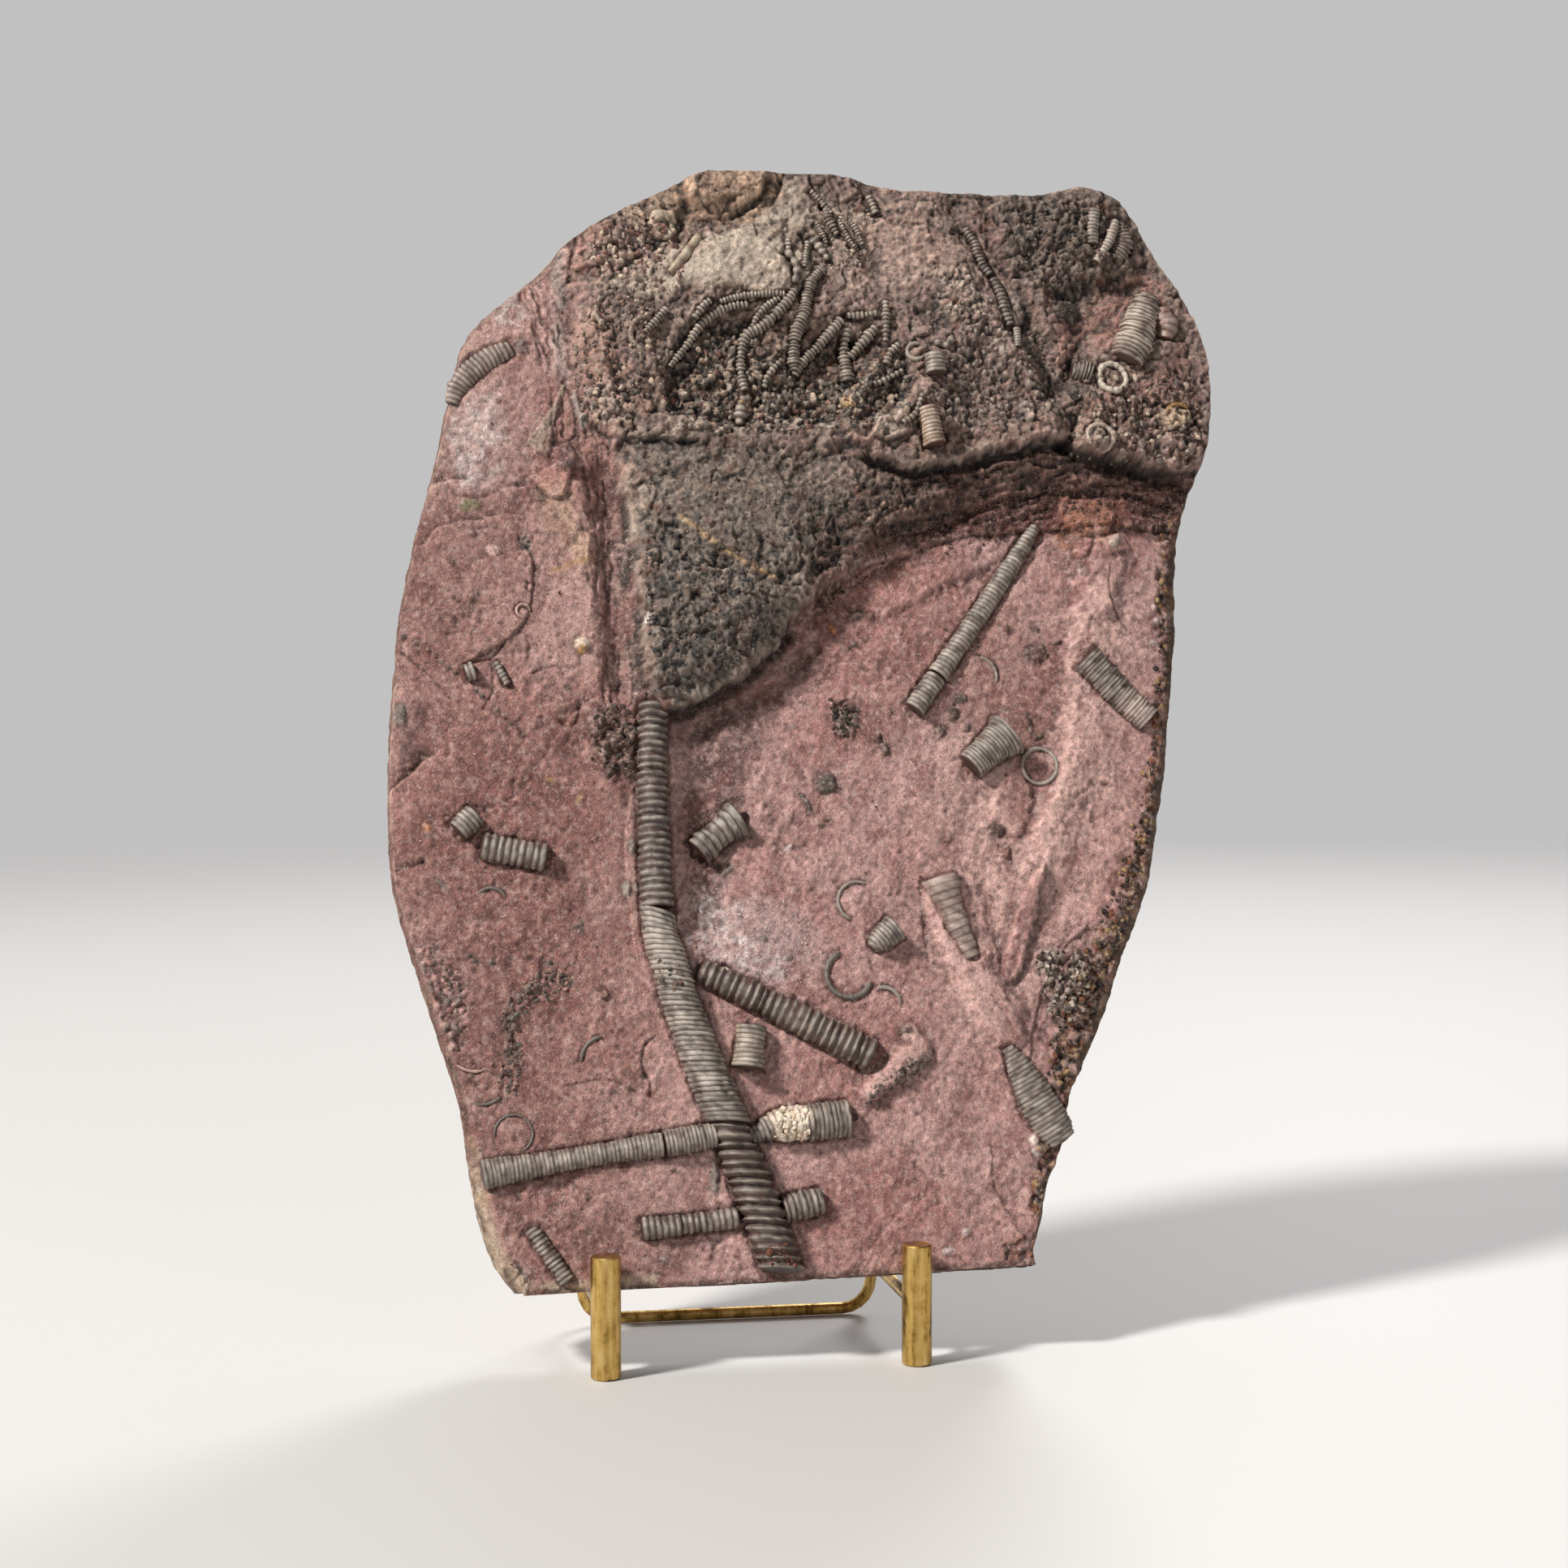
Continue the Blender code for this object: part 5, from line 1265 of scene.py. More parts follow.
# Flat broken plates with sharp edges: an outline, the rise, the width of the edge and the colour
PLATES = [
    ([(-94, 266), (-91.5, 262), (-86.5, 258), (-82.5, 259), (-79.5, 268), (-84, 271.5)], 1.8, 0.8,
     (172, 124, 114)),
    ([(-96.5, 262.5), (-94.5, 257.5), (-88.5, 257.5), (-92, 263.5)], 1.2, 0.7, (92, 74, 70)),
    ([(-95.5, 277.5), (-88, 272.5), (-86.5, 275), (-85.5, 283), (-83, 291), (-80.5, 298.5), (-82, 299),
      (-86, 290)], 1.0, 0.6,
     (146, 130, 114)),
    ([(-86, 270), (-84.5, 276.5), (-80.5, 278.5), (-77.5, 274), (-79, 268.5), (-83, 267)], 2.2, 1.0,
     (62, 57, 58)),
    ([(-99, 313.5), (-97, 308.5), (-93, 309), (-94.5, 314)], 0.8, 0.6, (104, 98, 96)),
    ([(-78, 297), (-73.5, 284), (-76.5, 281.5), (-80, 294)], 0.7, 0.8, (150, 142, 136)),
    ([(-52, 357), (-50, 361.5), (-42, 362), (-39.5, 356), (-44, 351), (-48.5, 351.5)], 2.0, 0.9,
     (200, 180, 158)),
    ([(24, 290), (30, 297), (36, 294), (38, 284), (28, 280), (22, 282)], 1.8, 1.2, (176, 156, 142)),
    ([(-62, 290), (-56, 297), (-50, 292), (-54, 286)], 1.4, 1.2, (128, 94, 82)),
    ([(-48, 288), (-36, 289), (-32, 284), (-46, 282)], 1.0, 1.0, (150, 134, 122)),
    ([(88, 262), (100, 261), (108, 255), (104, 248), (92, 246), (86, 254)], 1.8, 1.4, (150, 106, 84)),
    ([(100, 246), (108, 249), (112, 243), (104, 241)], 1.0, 0.9, (178, 138, 124)),
    ([(62, 43), (66, 47), (70, 40), (66, 37)], 1.4, 0.8, (204, 190, 176)),
    ([(124, 292), (130, 295), (137, 294), (138, 289), (131, 286), (126, 288)], 1.6, 1.0, (186, 160, 132)),
    ([(98, 284), (101, 288), (107, 288), (110, 284), (107, 279), (100, 280)], 2.0, 1.4, (140, 126, 114)),
    ([(-58, 262), (-54, 268), (-51, 262), (-55, 252), (-58, 254)], 0.9, 1.0, (140, 124, 112)),
    ([(19, 252), (25, 259), (27, 258), (21.5, 251)], 1.0, 0.6, (170, 150, 134)),
]

# Strings of tiny dark beads: the s, v of each
BEADS = [(-136, 211), (-132, 208.5), (-128, 206.5), (-124, 202.5), (-121.5, 200.5), (-119.5, 199),
         (-113, 193),
         (-107.5, 188), (-106, 186), (-104, 184), (-102, 182), (-100, 180.5), (-98, 178), (-111, 191),
         (-126, 204.5)]

# Thin raised rings and arcs: s, v, radius, width, rise, first and last degree, and colour
RINGS = [
    (-97, 220, 2.2, 0.5, 0.5, 0, 300, PINK_PALE), (-104, 49.5, 6, 0.4, 0.45, -60, 190, GREY),
    (10, 122, 6.5, 0.6, 0.6, 60, 250, GREY_LIGHT), (6, 98, 7.5, 0.95, 0.9, 110, 340, GREY),
    (17, 88, 5.5, 0.7, 0.6, 0, 110, GREY_LIGHT), (74.5, 167, 6, 0.7, 0.7, 0, 360, GREY_LIGHT),
    (55, 198, 6.5, 0.6, 0.6, -20, 80, GREY_LIGHT), (-74.5, 72, 7.5, 0.6, 0.6, 95, 180, GREY),
    (-115.5, 78.5, 9, 0.5, 0.4, 230, 285, PINK_PALE), (-113.5, 67, 8, 0.5, 0.5, 250, 315, GREY),
    (-109.5, 123, 5, 0.6, 0.6, 20, 140, GREY), (109.5, 305, 5.0, 1.1, 1.4, 0, 360, tone(196, 182, 166)),
    (103.5, 283, 4.6, 0.9, 1.0, 0, 360, tone(184, 166, 150)), (132.5, 291, 4.5, 0.8, 0.9, 40, 170, OCHRE),
    (-63, 325, 7, 1.0, 0.9, 90, 240, tone(140, 122, 108)),
    (-52, 317, 6.5, 1.0, 0.9, 100, 250, tone(140, 122, 108)),
    (40, 313, 3, 0.8, 1.0, 60, 330, GREY_LIGHT),
]

# Rough fillings: an outline, the size and height of its grains, its colours, and how dense it is
GRAVEL = [
    ([(-46, 284), (-46, 306), (-34, 312), (-4, 310), (6, 302), (20, 306), (38, 312), (36, 290), (22, 284),
      (0, 281)],
     2.1, 1.2, (GREY_LIGHT, GREY, GREY_DARK, tone(168, 148, 128), tone(112, 80, 68)), 0.5),
    ([(-52, 304), (-40, 322), (-24, 326), (-14, 318), (-20, 308)], 1.8, 1.2, (GREY, GREY_DARK, GREY_LIGHT),
     0.5),
    ([(44, 288), (88, 290), (86, 322), (56, 325)], 1.7, 0.8, (CROWN_PINK, GREY, GREY_LIGHT), 0.32),
    ([(50, 326), (62, 322), (66, 336), (56, 346), (48, 338)], 1.5, 0.9, (CREAM, GREY_LIGHT, CROWN_PINK),
     0.5),
    ([(-76, 298), (-60, 300), (-58, 286), (-72, 284)], 2.2, 1.2, (CREAM, GREY_LIGHT, CROWN_PINK), 0.8),
    ([(-74, 344), (-58, 356), (-40, 350), (-60, 334)], 2.6, 1.2, (CREAM, CROWN_PINK, RED), 0.7),
    ([(80, 338), (94, 334), (118, 342), (116, 366), (84, 370)], 1.9, 1.1, (GREY_DARK, GREY, BROWN), 0.55),
    ([(92, 296), (104, 300), (102, 318), (92, 312)], 2.4, 1.4, (GREY_DARK, BLACK, GREY), 0.8),
    ([(96, 274), (138, 270), (140, 296), (112, 298), (96, 288)], 2.2, 1.1, (CROWN_PINK, GREY, BROWN), 0.4),
    ([(4, 178), (12, 176), (14, 188), (4, 190)], 1.8, 1.3, (GREY_DARK, BROWN, GREY), 0.8),
    ([(69, 104), (86, 104), (89, 86), (76, 79), (70, 90)], 1.9, 1.4, (GREY, GREY_LIGHT, BROWN), 0.7),
    ([(-107, 0), (-98, 0), (-100, 9), (-106, 9)], 1.6, 0.7, (GREY_LIGHT, GREY), 0.7),
    ([(-136, 78), (-122, 70), (-116, 92), (-124, 112), (-136, 108)], 2.0, 0.8, (PINK, GREY, PINK_LIGHT),
     0.45),
    ([(-84, 95), (-83, 100), (-92, 102), (-100, 98), (-107, 90), (-107, 78), (-110, 66), (-105, 65),
      (-102, 80),
      (-102, 88), (-96, 95)], 1.5, 0.9, (GREY, GREY_DARK, PINK), 0.7),
    ([(-20, 57), (-10, 57), (-10, 43), (-19, 44)], 2.6, 0.9, (WHITE, tone(226, 206, 186), CREAM), 1.0),
    ([(-60, 170), (-60, 186), (-74, 190), (-78, 176), (-70, 162)], 2.2, 1.2,
     (BROWN, GREY_DARK, tone(120, 98, 88)), 0.6),
    ([(50, 3), (64, 4), (64, 14), (53, 11)], 2.0, 1.0, (BROWN, BLACK, RUST), 0.8),
]

# Single strokes at the crown's left edge, and last the ochre vein across the cup: a path, its half width,
# the rise,
# the colour, its strength, and what else differs from the usual
EDGE_STROKES = [
    ([(-61.5, 256), (-60, 247), (-59.5, 235), (-58.5, 225)], 0.7, 0.5, tone(176, 158, 144), 0.7,
     dict(ragged=0.7, fine=1.0)),
    ([(-58, 214), (-57.5, 205), (-57, 196)], 0.9, 0.3, tone(150, 130, 116), 0.6,
     dict(ragged=0.7, fine=1.0)),
    ([(-86, 258), (-82, 248), (-78, 240)], 5, 0.8, tone(186, 156, 130), 0.7, dict(ragged=1.0)),
    ([(-87, 234), (-80, 236), (-74, 238)], 0.8, 0.2, OCHRE, 0.8, dict()),
    ([(-83, 345), (-82, 330), (-83.5, 312), (-82, 300)], 2.4, 0.5, tone(164, 152, 144), 0.7,
     dict(ragged=1.0, power=3, fine=1.0)),
    ([(-44, 253), (-40, 250), (-35, 246), (-29, 241.5), (-22, 237), (-16, 234), (-12, 232)], 0.8, 0.4,
     tone(176, 140, 92), 0.9, dict(ragged=0.5, fine=1.0)),
]
# Strokes beside the long stem and at the top's boss
TOP_STROKES = [
    ([(-33, 103), (-25, 100), (-19, 98.5)], 0.7, 0.6, CHALK, 0.6, dict(fine=1.0)),
    ([(-9, 374), (-11, 369), (-15, 365), (-22, 361)], 1.0, -2.2, BROWN, 0.8, dict(fine=1.0)),
    ([(-11, 375), (-13, 370), (-17, 366.5), (-23, 363)], 1.2, 0.5, tone(176, 150, 128), 0.5,
     dict(fine=1.0)),
]
# Salty specks beside the long stem and at the upper left: an outline, the width of its edge, how ragged it
# is, the
# noise's size, seed, octaves, gain, contrast and start, the strength and the colour
SALT = [
    ([(-48, 94), (-40, 101), (-24, 96), (-13, 94), (-12, 104), (-24, 112), (-33, 124), (-46, 130),
      (-50, 112)],
     7, 4, 5.0, 95, 5, 0.85, 1.6, 0.35, 0.85, tone(224, 212, 206)),
    ([(-124, 262), (-104, 262), (-99, 282), (-104, 300), (-120, 292)],
     8, 4, 5.0, 96, 5, 0.85, 1.7, 0.1, 0.85, tone(220, 206, 200)),
    ([(-104, 318), (-96, 316), (-93, 326), (-99, 332), (-108, 326)],
     3, 2, 4.0, 97, 4, 0.8, 1.7, 0.4, 0.8, tone(222, 208, 200)),
]
# Larger lumps in the crown: s, v, length, width, turn, rise and colour
BOSSES = [
    (94.5, 329.5, 9.5, 8, 0, 2.4, tone(60, 50, 46)),
    (75, 329, 8, 13, 10, 2.0, tone(128, 114, 106)),
    (55, 302.5, 4.2, 2.2, 0, 1.0, GREY_LIGHT),
    (15, 293.5, 5.2, 4.4, 0, 1.8, tone(184, 150, 110)),
    (-20.5, 293, 4.4, 4.4, 0, 2.0, tone(176, 140, 96)),
]


def gravel(face, outline, size, rise, colours, dense, seed):
    """Fills a region with grains of three sizes: worn discs and short rods, with painted shade between them.
    """
    w, mask = face.share(outline, 1.5 * size, ragged=1.5)
    s, v = face.s[w], face.v[w]
    body, shade = np.zeros_like(s), np.zeros(s.shape + (3,))
    for layer, scale in enumerate((1.45, 1.0, 0.64)):
        _, _, ds, dv, number = cells(s, v, size * scale, seed + 10 * layer)
        turn = 2 * math.pi * (number * 13 % 1)
        x = (np.cos(turn) * ds + np.sin(turn) * dv) / (size * scale * (0.34 + 0.26 * (number * 29 % 1)))
        y = (np.cos(turn) * dv - np.sin(turn) * ds) / (size * scale * (0.30 + 0.10 * (number * 47 % 1)))
        dome = np.minimum(np.sqrt(np.clip(1 - x * x - y * y, 0, 1)), 0.7) / 0.7
        dome = dome * (number * 7 % 1 < dense) * scale * (0.5 + 0.6 * (number * 19 % 1))
        top = dome > body
        body = np.maximum(body, dome)
        for k, colour in enumerate(colours):
            mine = top & ((number * 31 % 1 * len(colours)).astype(int) == k)
            shade[mine] = colour
        shade[top] *= (0.7 + 0.55 * (number * 53 % 1))[top][:, None]
    face.height[w] += rise * mask * (body - 0.4)
    # Painted shade between the grains.
    face.tint(w, 0.75 * mask * dense * (1 - ease(3 * body)), face.colour[w] * 0.4)
    face.tint(w, 0.85 * mask * ease(3 * body), shade)
    face.fine[w] = np.maximum(face.fine[w], mask > 0.2)


def draw_strokes(face, strokes):
    """Draws each stroke of a table."""
    for path, width, rise, colour, strength, options in strokes:
        face.stroke(path, width, rise, colour, strength, **options)


def add_details(face):
    """The small forms of the rock, in the order in which they lie over each other."""
    face.stroke([(11, 60), (19, 66), (27.5, 73)], 4.0, 3.2, tone(176, 142, 132), 0.8, power=4, fine=1.0)
    gravel(face, [(9, 55), (13, 56), (32, 69.5), (31, 73), (25, 70), (12, 60)], 1.5, 1.6,
           (GREY, GREY_DARK, GREY_LIGHT),
           0.8, 190)
    for path, drop, reach, colour in LEDGES:
        face.ledge(path, drop, reach, shade=colour, strength=0.55)
    for path, width, depth in CRACKS:
        face.stroke(path, width, -depth, RED_DEEP, 0.8, ragged=0.25, fine=1.0)
    for k, filling in enumerate(GRAVEL):
        gravel(face, *filling, 200 + 3 * k)
    for outline, rise, edge, colour in PLATES:
        face.patch(outline, rise, edge, tone(*colour), 0.9, ragged=0.15, fine=1.0, smooth=False)
    for s, v, length, width, turn, rise, colour in SHARDS:
        face.lump(s, v, length, width, turn, rise, colour)
    for s, v in BEADS:
        face.lump(s, v, 1.5, 1.4, 0, 0.8, GREY_DARK)
    for s, v, radius, width, _, start, stop, _ in RINGS:
        face.shaded_ring_gutters(s, v, radius, width, start, stop)
    draw_strokes(face, EDGE_STROKES)
    for outline, edge, ragged, size, seed, octaves, gain, contrast, start, strength, colour in SALT:
        w, mask = face.share(outline, edge, ragged=ragged)
        salt = ease(contrast * clouds(face.s[w], face.v[w], size, seed, octaves, gain) + start)
        face.tint(w, strength * mask * salt, colour)
    draw_strokes(face, TOP_STROKES)
    face.patch([(-38, 362), (-14, 366), (-8, 378), (-38, 378)], 2.2, 6, ragged=1.0)
    for s, v, length, width, turn, rise, colour in BOSSES:
        face.lump(s, v, length, width, turn, rise, colour)


# ---------------------------------------------------------------- stems
# Where a ring's rows of points lie, as shares of the pitch, and the step of the path they are spaced along
RING_ROWS = (0.0, 0.2, 0.38, 0.5, 0.62, 0.8)
STEM_STEP = 0.4


def stem_parts(face, path, pitch, colours, groove=0.12, lift=0.0, sides=20, seed=0, flat=1.0, chips=0.0,
               wobble=0.03,
               dirt=RED_DEEP, bore=0.0, smooth_bed=8, crest=2.2, groove_shade=0.66, waver=0.05, slant=0.0):
    """One ringed stem: vertices, faces and colours. A path's point is s, v, radius and share of colour 2."""
    rng = np.random.default_rng(seed)
    path = face.lay([tuple(p) + (0.0,) * (4 - len(p)) for p in path])
    dense = smooth_path(path, STEM_STEP)
    arcs = arc_lengths(dense)
    rings = max(1, round(arcs[-1] / pitch))
    places = np.array([k + p for k in range(rings) for p in RING_ROWS] + [float(rings)])
    number = np.minimum(places.astype(int), rings - 1)
    phase = places % 1
    along = places / rings * arcs[-1]
    s, v, radius, share = (np.interp(along, arcs, dense[:, k]) for k in range(4))
    bed = face.at(face.bed, dense[:, 0], dense[:, 1])
    reach = int(smooth_bed / STEM_STEP)
    bed = np.convolve(np.pad(bed, reach, mode="edge"), np.ones(2 * reach + 1) / (2 * reach + 1), "valid")
    bed = np.interp(along, arcs, bed)
    line = np.column_stack([s, v, radius])
    aside = aside_of(line)
    size = 1 + wobble * rng.normal(size=rings + 1) + 0.025 * (np.arange(rings + 1) % 2)
    before = np.maximum(number - 1, 0)
    ring_size = np.where(phase == 0, 0.5 * (size[before] + size[number]), size[number])
    ridge = 1 - np.abs(2 * phase - 1) ** crest
    depth = groove * np.clip(1 + 0.45 * rng.normal(size=rings + 1), 0.25,
                             2.0)[np.where(phase == 0, before, number)]
    radius = radius * ring_size * (1 - depth * (1 - ridge))
    turns = 2 * math.pi * (np.arange(sides) / sides) - math.pi / 2
    turn, row = np.meshgrid(turns, np.arange(len(places)))
    r = radius[row]
    around = (turn + math.pi / 2) * line[row, 2]
    uneven = clouds(along[row], around, 3.2, seed + 71, 4, 0.6)
    r = r * (1 + 0.04 * uneven)
    if chips:
        lost = ease((swirl(along[row] * 0.6, around, 3.0, seed + 83) - 0.75 + chips) / 0.25)
        r = r - 0.10 * line[row, 2] * lost
    waver = waver * pitch * swirl(1.1 * turn + 9, 0.55 * places[row], 1.0,
                                  seed + 61) - slant * r * np.cos(turn)
    x = s[row] + aside[row, 0] * r * np.cos(turn) - aside[row, 1] * waver
    y = v[row] + aside[row, 1] * r * np.cos(turn) + aside[row, 0] * waver
    h = bed[row] + lift + flat * r * np.sin(turn)
    vertices = np.column_stack([x.ravel(), y.ravel(), h.ravel()])
    first, second = colours
    patchy = ease(share[row] + 0.55 * clouds(along[row], around, 7.0, seed + 51, 4, 0.65))
    base = first + patchy[..., None] * (second - first)
    shade = 1 + 0.13 * rng.normal(size=rings)[number][row] + 0.22 * uneven
    base = base * shade[..., None]
    # Painted shade in the grooves between the rings.
    low = (1 - ridge[row]) ** 1.2
    base = base * (1 - groove_shade * low)[..., None]
    soil = np.clip(0.6 * low + 0.6 * ease(2.2 * clouds(along[row], around, 6.0, seed + 91, 3) - 0.6), 0,
                   1) * 0.6
    base = base + soil[..., None] * (dirt - base)
    # The crests paler: partly wear, partly a painted highlight on the side that faces out of the face.
    top = np.clip(np.sin(turn), 0, 1) * ridge[row]
    wear_and_highlight = np.clip(0.44 * (1 - low) * (0.45 + 0.55 * top) * (0.7 + 0.9 * uneven), 0, 1)
    base = base + wear_and_highlight[..., None] * (tone(206, 196, 182) - base)
    base = np.clip(base, 0.005, 0.9).reshape(-1, 3)
    faces = []
    count = len(places)
    for a in range(count - 1):
        for b in range(sides):
            c = (b + 1) % sides
            faces.append((a * sides + b, (a + 1) * sides + b, (a + 1) * sides + c, a * sides + c))
    caps, tones = [], []
    for end, order in ((0, 1), (count - 1, -1)):
        ring = vertices[end * sides:(end + 1) * sides]
        centre = ring.mean(axis=0)
        outer = list(range(end * sides, (end + 1) * sides))
        for scale, sink in ((0.82, 0.02), (0.30, 0.10), (0.14, 0.5 if bore else 0.12)):
            start = len(vertices) + len(caps)
            inward = np.array([aside[end, 1], -aside[end, 0], 0]) * order
            caps += list(centre + (ring - centre) * scale + inward * sink * line[end, 2])
            tones += [base[end * sides] * (0.8 if scale > 0.2 else 0.35)] * sides
            inner = list(range(start, start + sides))
            for b in range(sides):
                c = (b + 1) % sides
                quad = (outer[b], outer[c], inner[c], inner[b])
                faces.append(quad if order == 1 else quad[::-1])
            outer = inner
        faces.append(tuple(outer) if order == 1 else tuple(outer[::-1]))
    return np.vstack([vertices, np.array(caps)]), faces, np.vstack([base, np.array(tones)])


HOOP_SIDES = 8


def hoop(face, s, v, radius, width, rise, start, stop, colour, seed):
    """A thin standing ring, or part of one, from `start` to `stop` degrees: vertices, faces and colours."""
    rng = np.random.default_rng(seed)
    whole = stop - start >= 360
    count = max(10, int(radius * math.radians(stop - start) / 0.55))
    turns = np.radians(np.linspace(start, stop, count, endpoint=not whole))
    around = 2 * math.pi * np.arange(HOOP_SIDES) / HOOP_SIDES
    thin = 1 + 0.12 * rng.normal(size=count)
    if not whole:
        thin = thin * np.minimum(1, 0.4 + 0.2 * np.minimum(np.arange(count), np.arange(count)[::-1]))
    path = face.lay([(s + radius * math.cos(t), v + radius * math.sin(t)) for t in turns])
    bed = face.at(face.bed, path[:, 0], path[:, 1])
    reach = np.outer(width * thin, np.cos(around))
    x = path[:, :1] + reach * np.cos(turns)[:, None]
    y = path[:, 1:2] + reach * np.sin(turns)[:, None]
    h = bed[:, None] + np.outer(rise * thin, np.sin(around))
    faces = []
    for a in range(count if whole else count - 1):
        b = (a + 1) % count
        for k in range(HOOP_SIDES):
            n = (k + 1) % HOOP_SIDES
            faces.append(tuple(row * HOOP_SIDES + side for row, side in ((a, k), (b, k), (b, n), (a, n))))
    if not whole:
        last = HOOP_SIDES * (count - 1)
        faces += [tuple(range(HOOP_SIDES)), tuple(last + k for k in reversed(range(HOOP_SIDES)))]
    # Painted light: each ring is lighter on its upper side.
    lit = 0.6 + 0.5 * np.clip(np.sin(around), 0, 1)
    shade = (0.85 + 0.2 * rng.random((count, HOOP_SIDES)))[..., None] * lit[None, :, None]
    return np.column_stack([x.ravel(), y.ravel(), h.ravel()]), faces, (shade * colour).reshape(-1, 3)


# A crumb's twelve corners and twenty sides
GOLDEN = 0.5 + 0.5 * math.sqrt(5)
CRUMB = np.array([(-1, GOLDEN, 0), (1, GOLDEN, 0), (-1, -GOLDEN, 0), (1, -GOLDEN, 0), (0, -1, GOLDEN),
                  (0, 1, GOLDEN),
                  (0, -1, -GOLDEN), (0, 1, -GOLDEN), (GOLDEN, 0, -1), (GOLDEN, 0, 1), (-GOLDEN, 0, -1),
                  (-GOLDEN, 0, 1)])
CRUMB_SIDES = np.array([(0, 11, 5), (0, 5, 1), (0, 1, 7), (0, 7, 10), (0, 10, 11), (1, 5, 9), (5, 11, 4),
                        (11, 10, 2),
                        (10, 7, 6), (7, 1, 8), (3, 9, 4), (3, 4, 2), (3, 2, 6), (3, 6, 8), (3, 8, 9),
                        (4, 9, 5), (2, 4, 11),
                        (6, 2, 10), (8, 6, 7), (9, 8, 1)])
# Broken grains that stand in the rock: an outline, how many, the smallest and largest, and their colours
CRUMBS = [
    ([(-46, 284), (-50, 300), (-42, 314), (-20, 322), (0, 312), (20, 310), (38, 314), (38, 292), (24, 285),
      (0, 282)],
     620, (0.9, 3.2), ((150, 138, 127), (112, 103, 95), (70, 63, 58), (176, 154, 134), (112, 78, 66))),
    ([(-78, 286), (-60, 284), (-50, 300), (-52, 330), (-70, 334), (-78, 312)], 320, (0.8, 2.8),
     ((130, 115, 106), (150, 122, 106), (74, 66, 60), (196, 174, 154))),
    ([(44, 286), (88, 286), (88, 318), (60, 340), (44, 322)], 260, (0.7, 1.9),
     ((152, 124, 116), (112, 103, 95), (158, 142, 130))),
    ([(92, 276), (140, 272), (142, 302), (116, 312), (94, 304)], 300, (0.8, 3.0),
     ((150, 122, 110), (112, 103, 95), (70, 50, 42), (196, 176, 156))),
    ([(-74, 338), (-44, 330), (-36, 350), (-58, 366), (-70, 356)], 220, (0.8, 2.8),
     ((205, 184, 164), (152, 124, 116), (126, 84, 72))),
    ([(76, 344), (92, 352), (118, 344), (120, 366), (80, 370)], 240, (0.7, 2.1),
     ((78, 70, 64), (112, 103, 95), (110, 92, 82))),
    ([(90, 334), (99, 334), (99, 325), (91, 325)], 40, (1.0, 2.4), ((52, 44, 42), (74, 64, 60))),
    ([(69, 104), (86, 104), (89, 86), (76, 79), (70, 90)], 130, (1.0, 2.8),
     ((120, 108, 98), (160, 146, 132), (205, 190, 172), (70, 54, 44))),
    ([(-58, 192), (-44, 190), (-12, 212), (-20, 240), (-56, 250)], 420, (0.7, 2.4),
     ((92, 84, 80), (70, 66, 66), (58, 56, 58), (130, 112, 98))),
    ([(-56, 250), (-20, 240), (6, 250), (24, 272), (-10, 280), (-56, 278)], 200, (0.5, 1.5),
     ((112, 100, 92), (84, 74, 68), (140, 122, 108))),
    ([(0, 220), (30, 236), (70, 246), (130, 252), (138, 266), (90, 280), (30, 270), (4, 250)], 300,
     (0.6, 2.0),
     ((70, 44, 38), (50, 31, 28), (84, 56, 48), (110, 80, 68))),
    ([(122, 250), (128, 250), (124, 200), (112, 140), (96, 104), (84, 76), (72, 50), (66, 56), (80, 92),
      (99, 128),
      (112, 170), (118, 210)], 300, (0.8, 2.8), ((70, 50, 40), (40, 32, 28), (124, 76, 46),
                                                 (160, 130, 90))),
    ([(0, 342), (10, 360), (26, 368), (30, 350), (16, 340)], 130, (0.7, 1.9),
     ((205, 184, 164), (150, 138, 127))),
    ([(-46, 96), (-14, 92), (0, 104), (-10, 122), (-34, 128), (-46, 122)], 300, (0.35, 0.9),
     ((216, 202, 194), (190, 160, 150))),
    ([(-136, 60), (-132, 150), (-104, 300), (-92, 300), (-66, 200), (-66, 100), (-50, 6), (-110, 6)], 230,
     (0.4, 1.2),
     ((180, 142, 134), (170, 130, 122), (126, 84, 77), (112, 76, 70))),
    ([(-40, 90), (0, 180), (60, 235), (118, 235), (108, 150), (60, 14), (-10, 8)], 270, (0.4, 1.2),
     ((190, 152, 142), (178, 138, 128), (136, 94, 86), (120, 84, 78))),
    ([(4, 178), (12, 176), (14, 188), (4, 190)], 40, (1.0, 2.6),
     ((70, 63, 58), (66, 48, 38), (112, 103, 95))),
    ([(-60, 164), (-60, 188), (-74, 190), (-76, 168)], 90, (0.8, 2.8),
     ((66, 48, 38), (120, 98, 88), (70, 63, 58))),
    ([(9, 55), (13, 55), (32, 69), (31, 73), (25, 70), (11, 60)], 80, (0.8, 2.0),
     ((112, 103, 95), (70, 63, 58), (150, 138, 127))),
    ([(-86, 102), (-92, 101), (-104, 92), (-107.5, 86), (-104.5, 76), (-109, 66), (-107, 60), (-103, 62),
      (-100, 74),
      (-101.5, 84), (-97, 90), (-90, 92), (-84, 96)], 230, (0.8, 2.2),
     ((112, 103, 95), (96, 82, 76), (150, 118, 108))),
    ([(-136, 78), (-124, 72), (-118, 92), (-124, 110), (-136, 106)], 110, (0.7, 1.9),
     ((160, 115, 107), (112, 103, 95))),
]

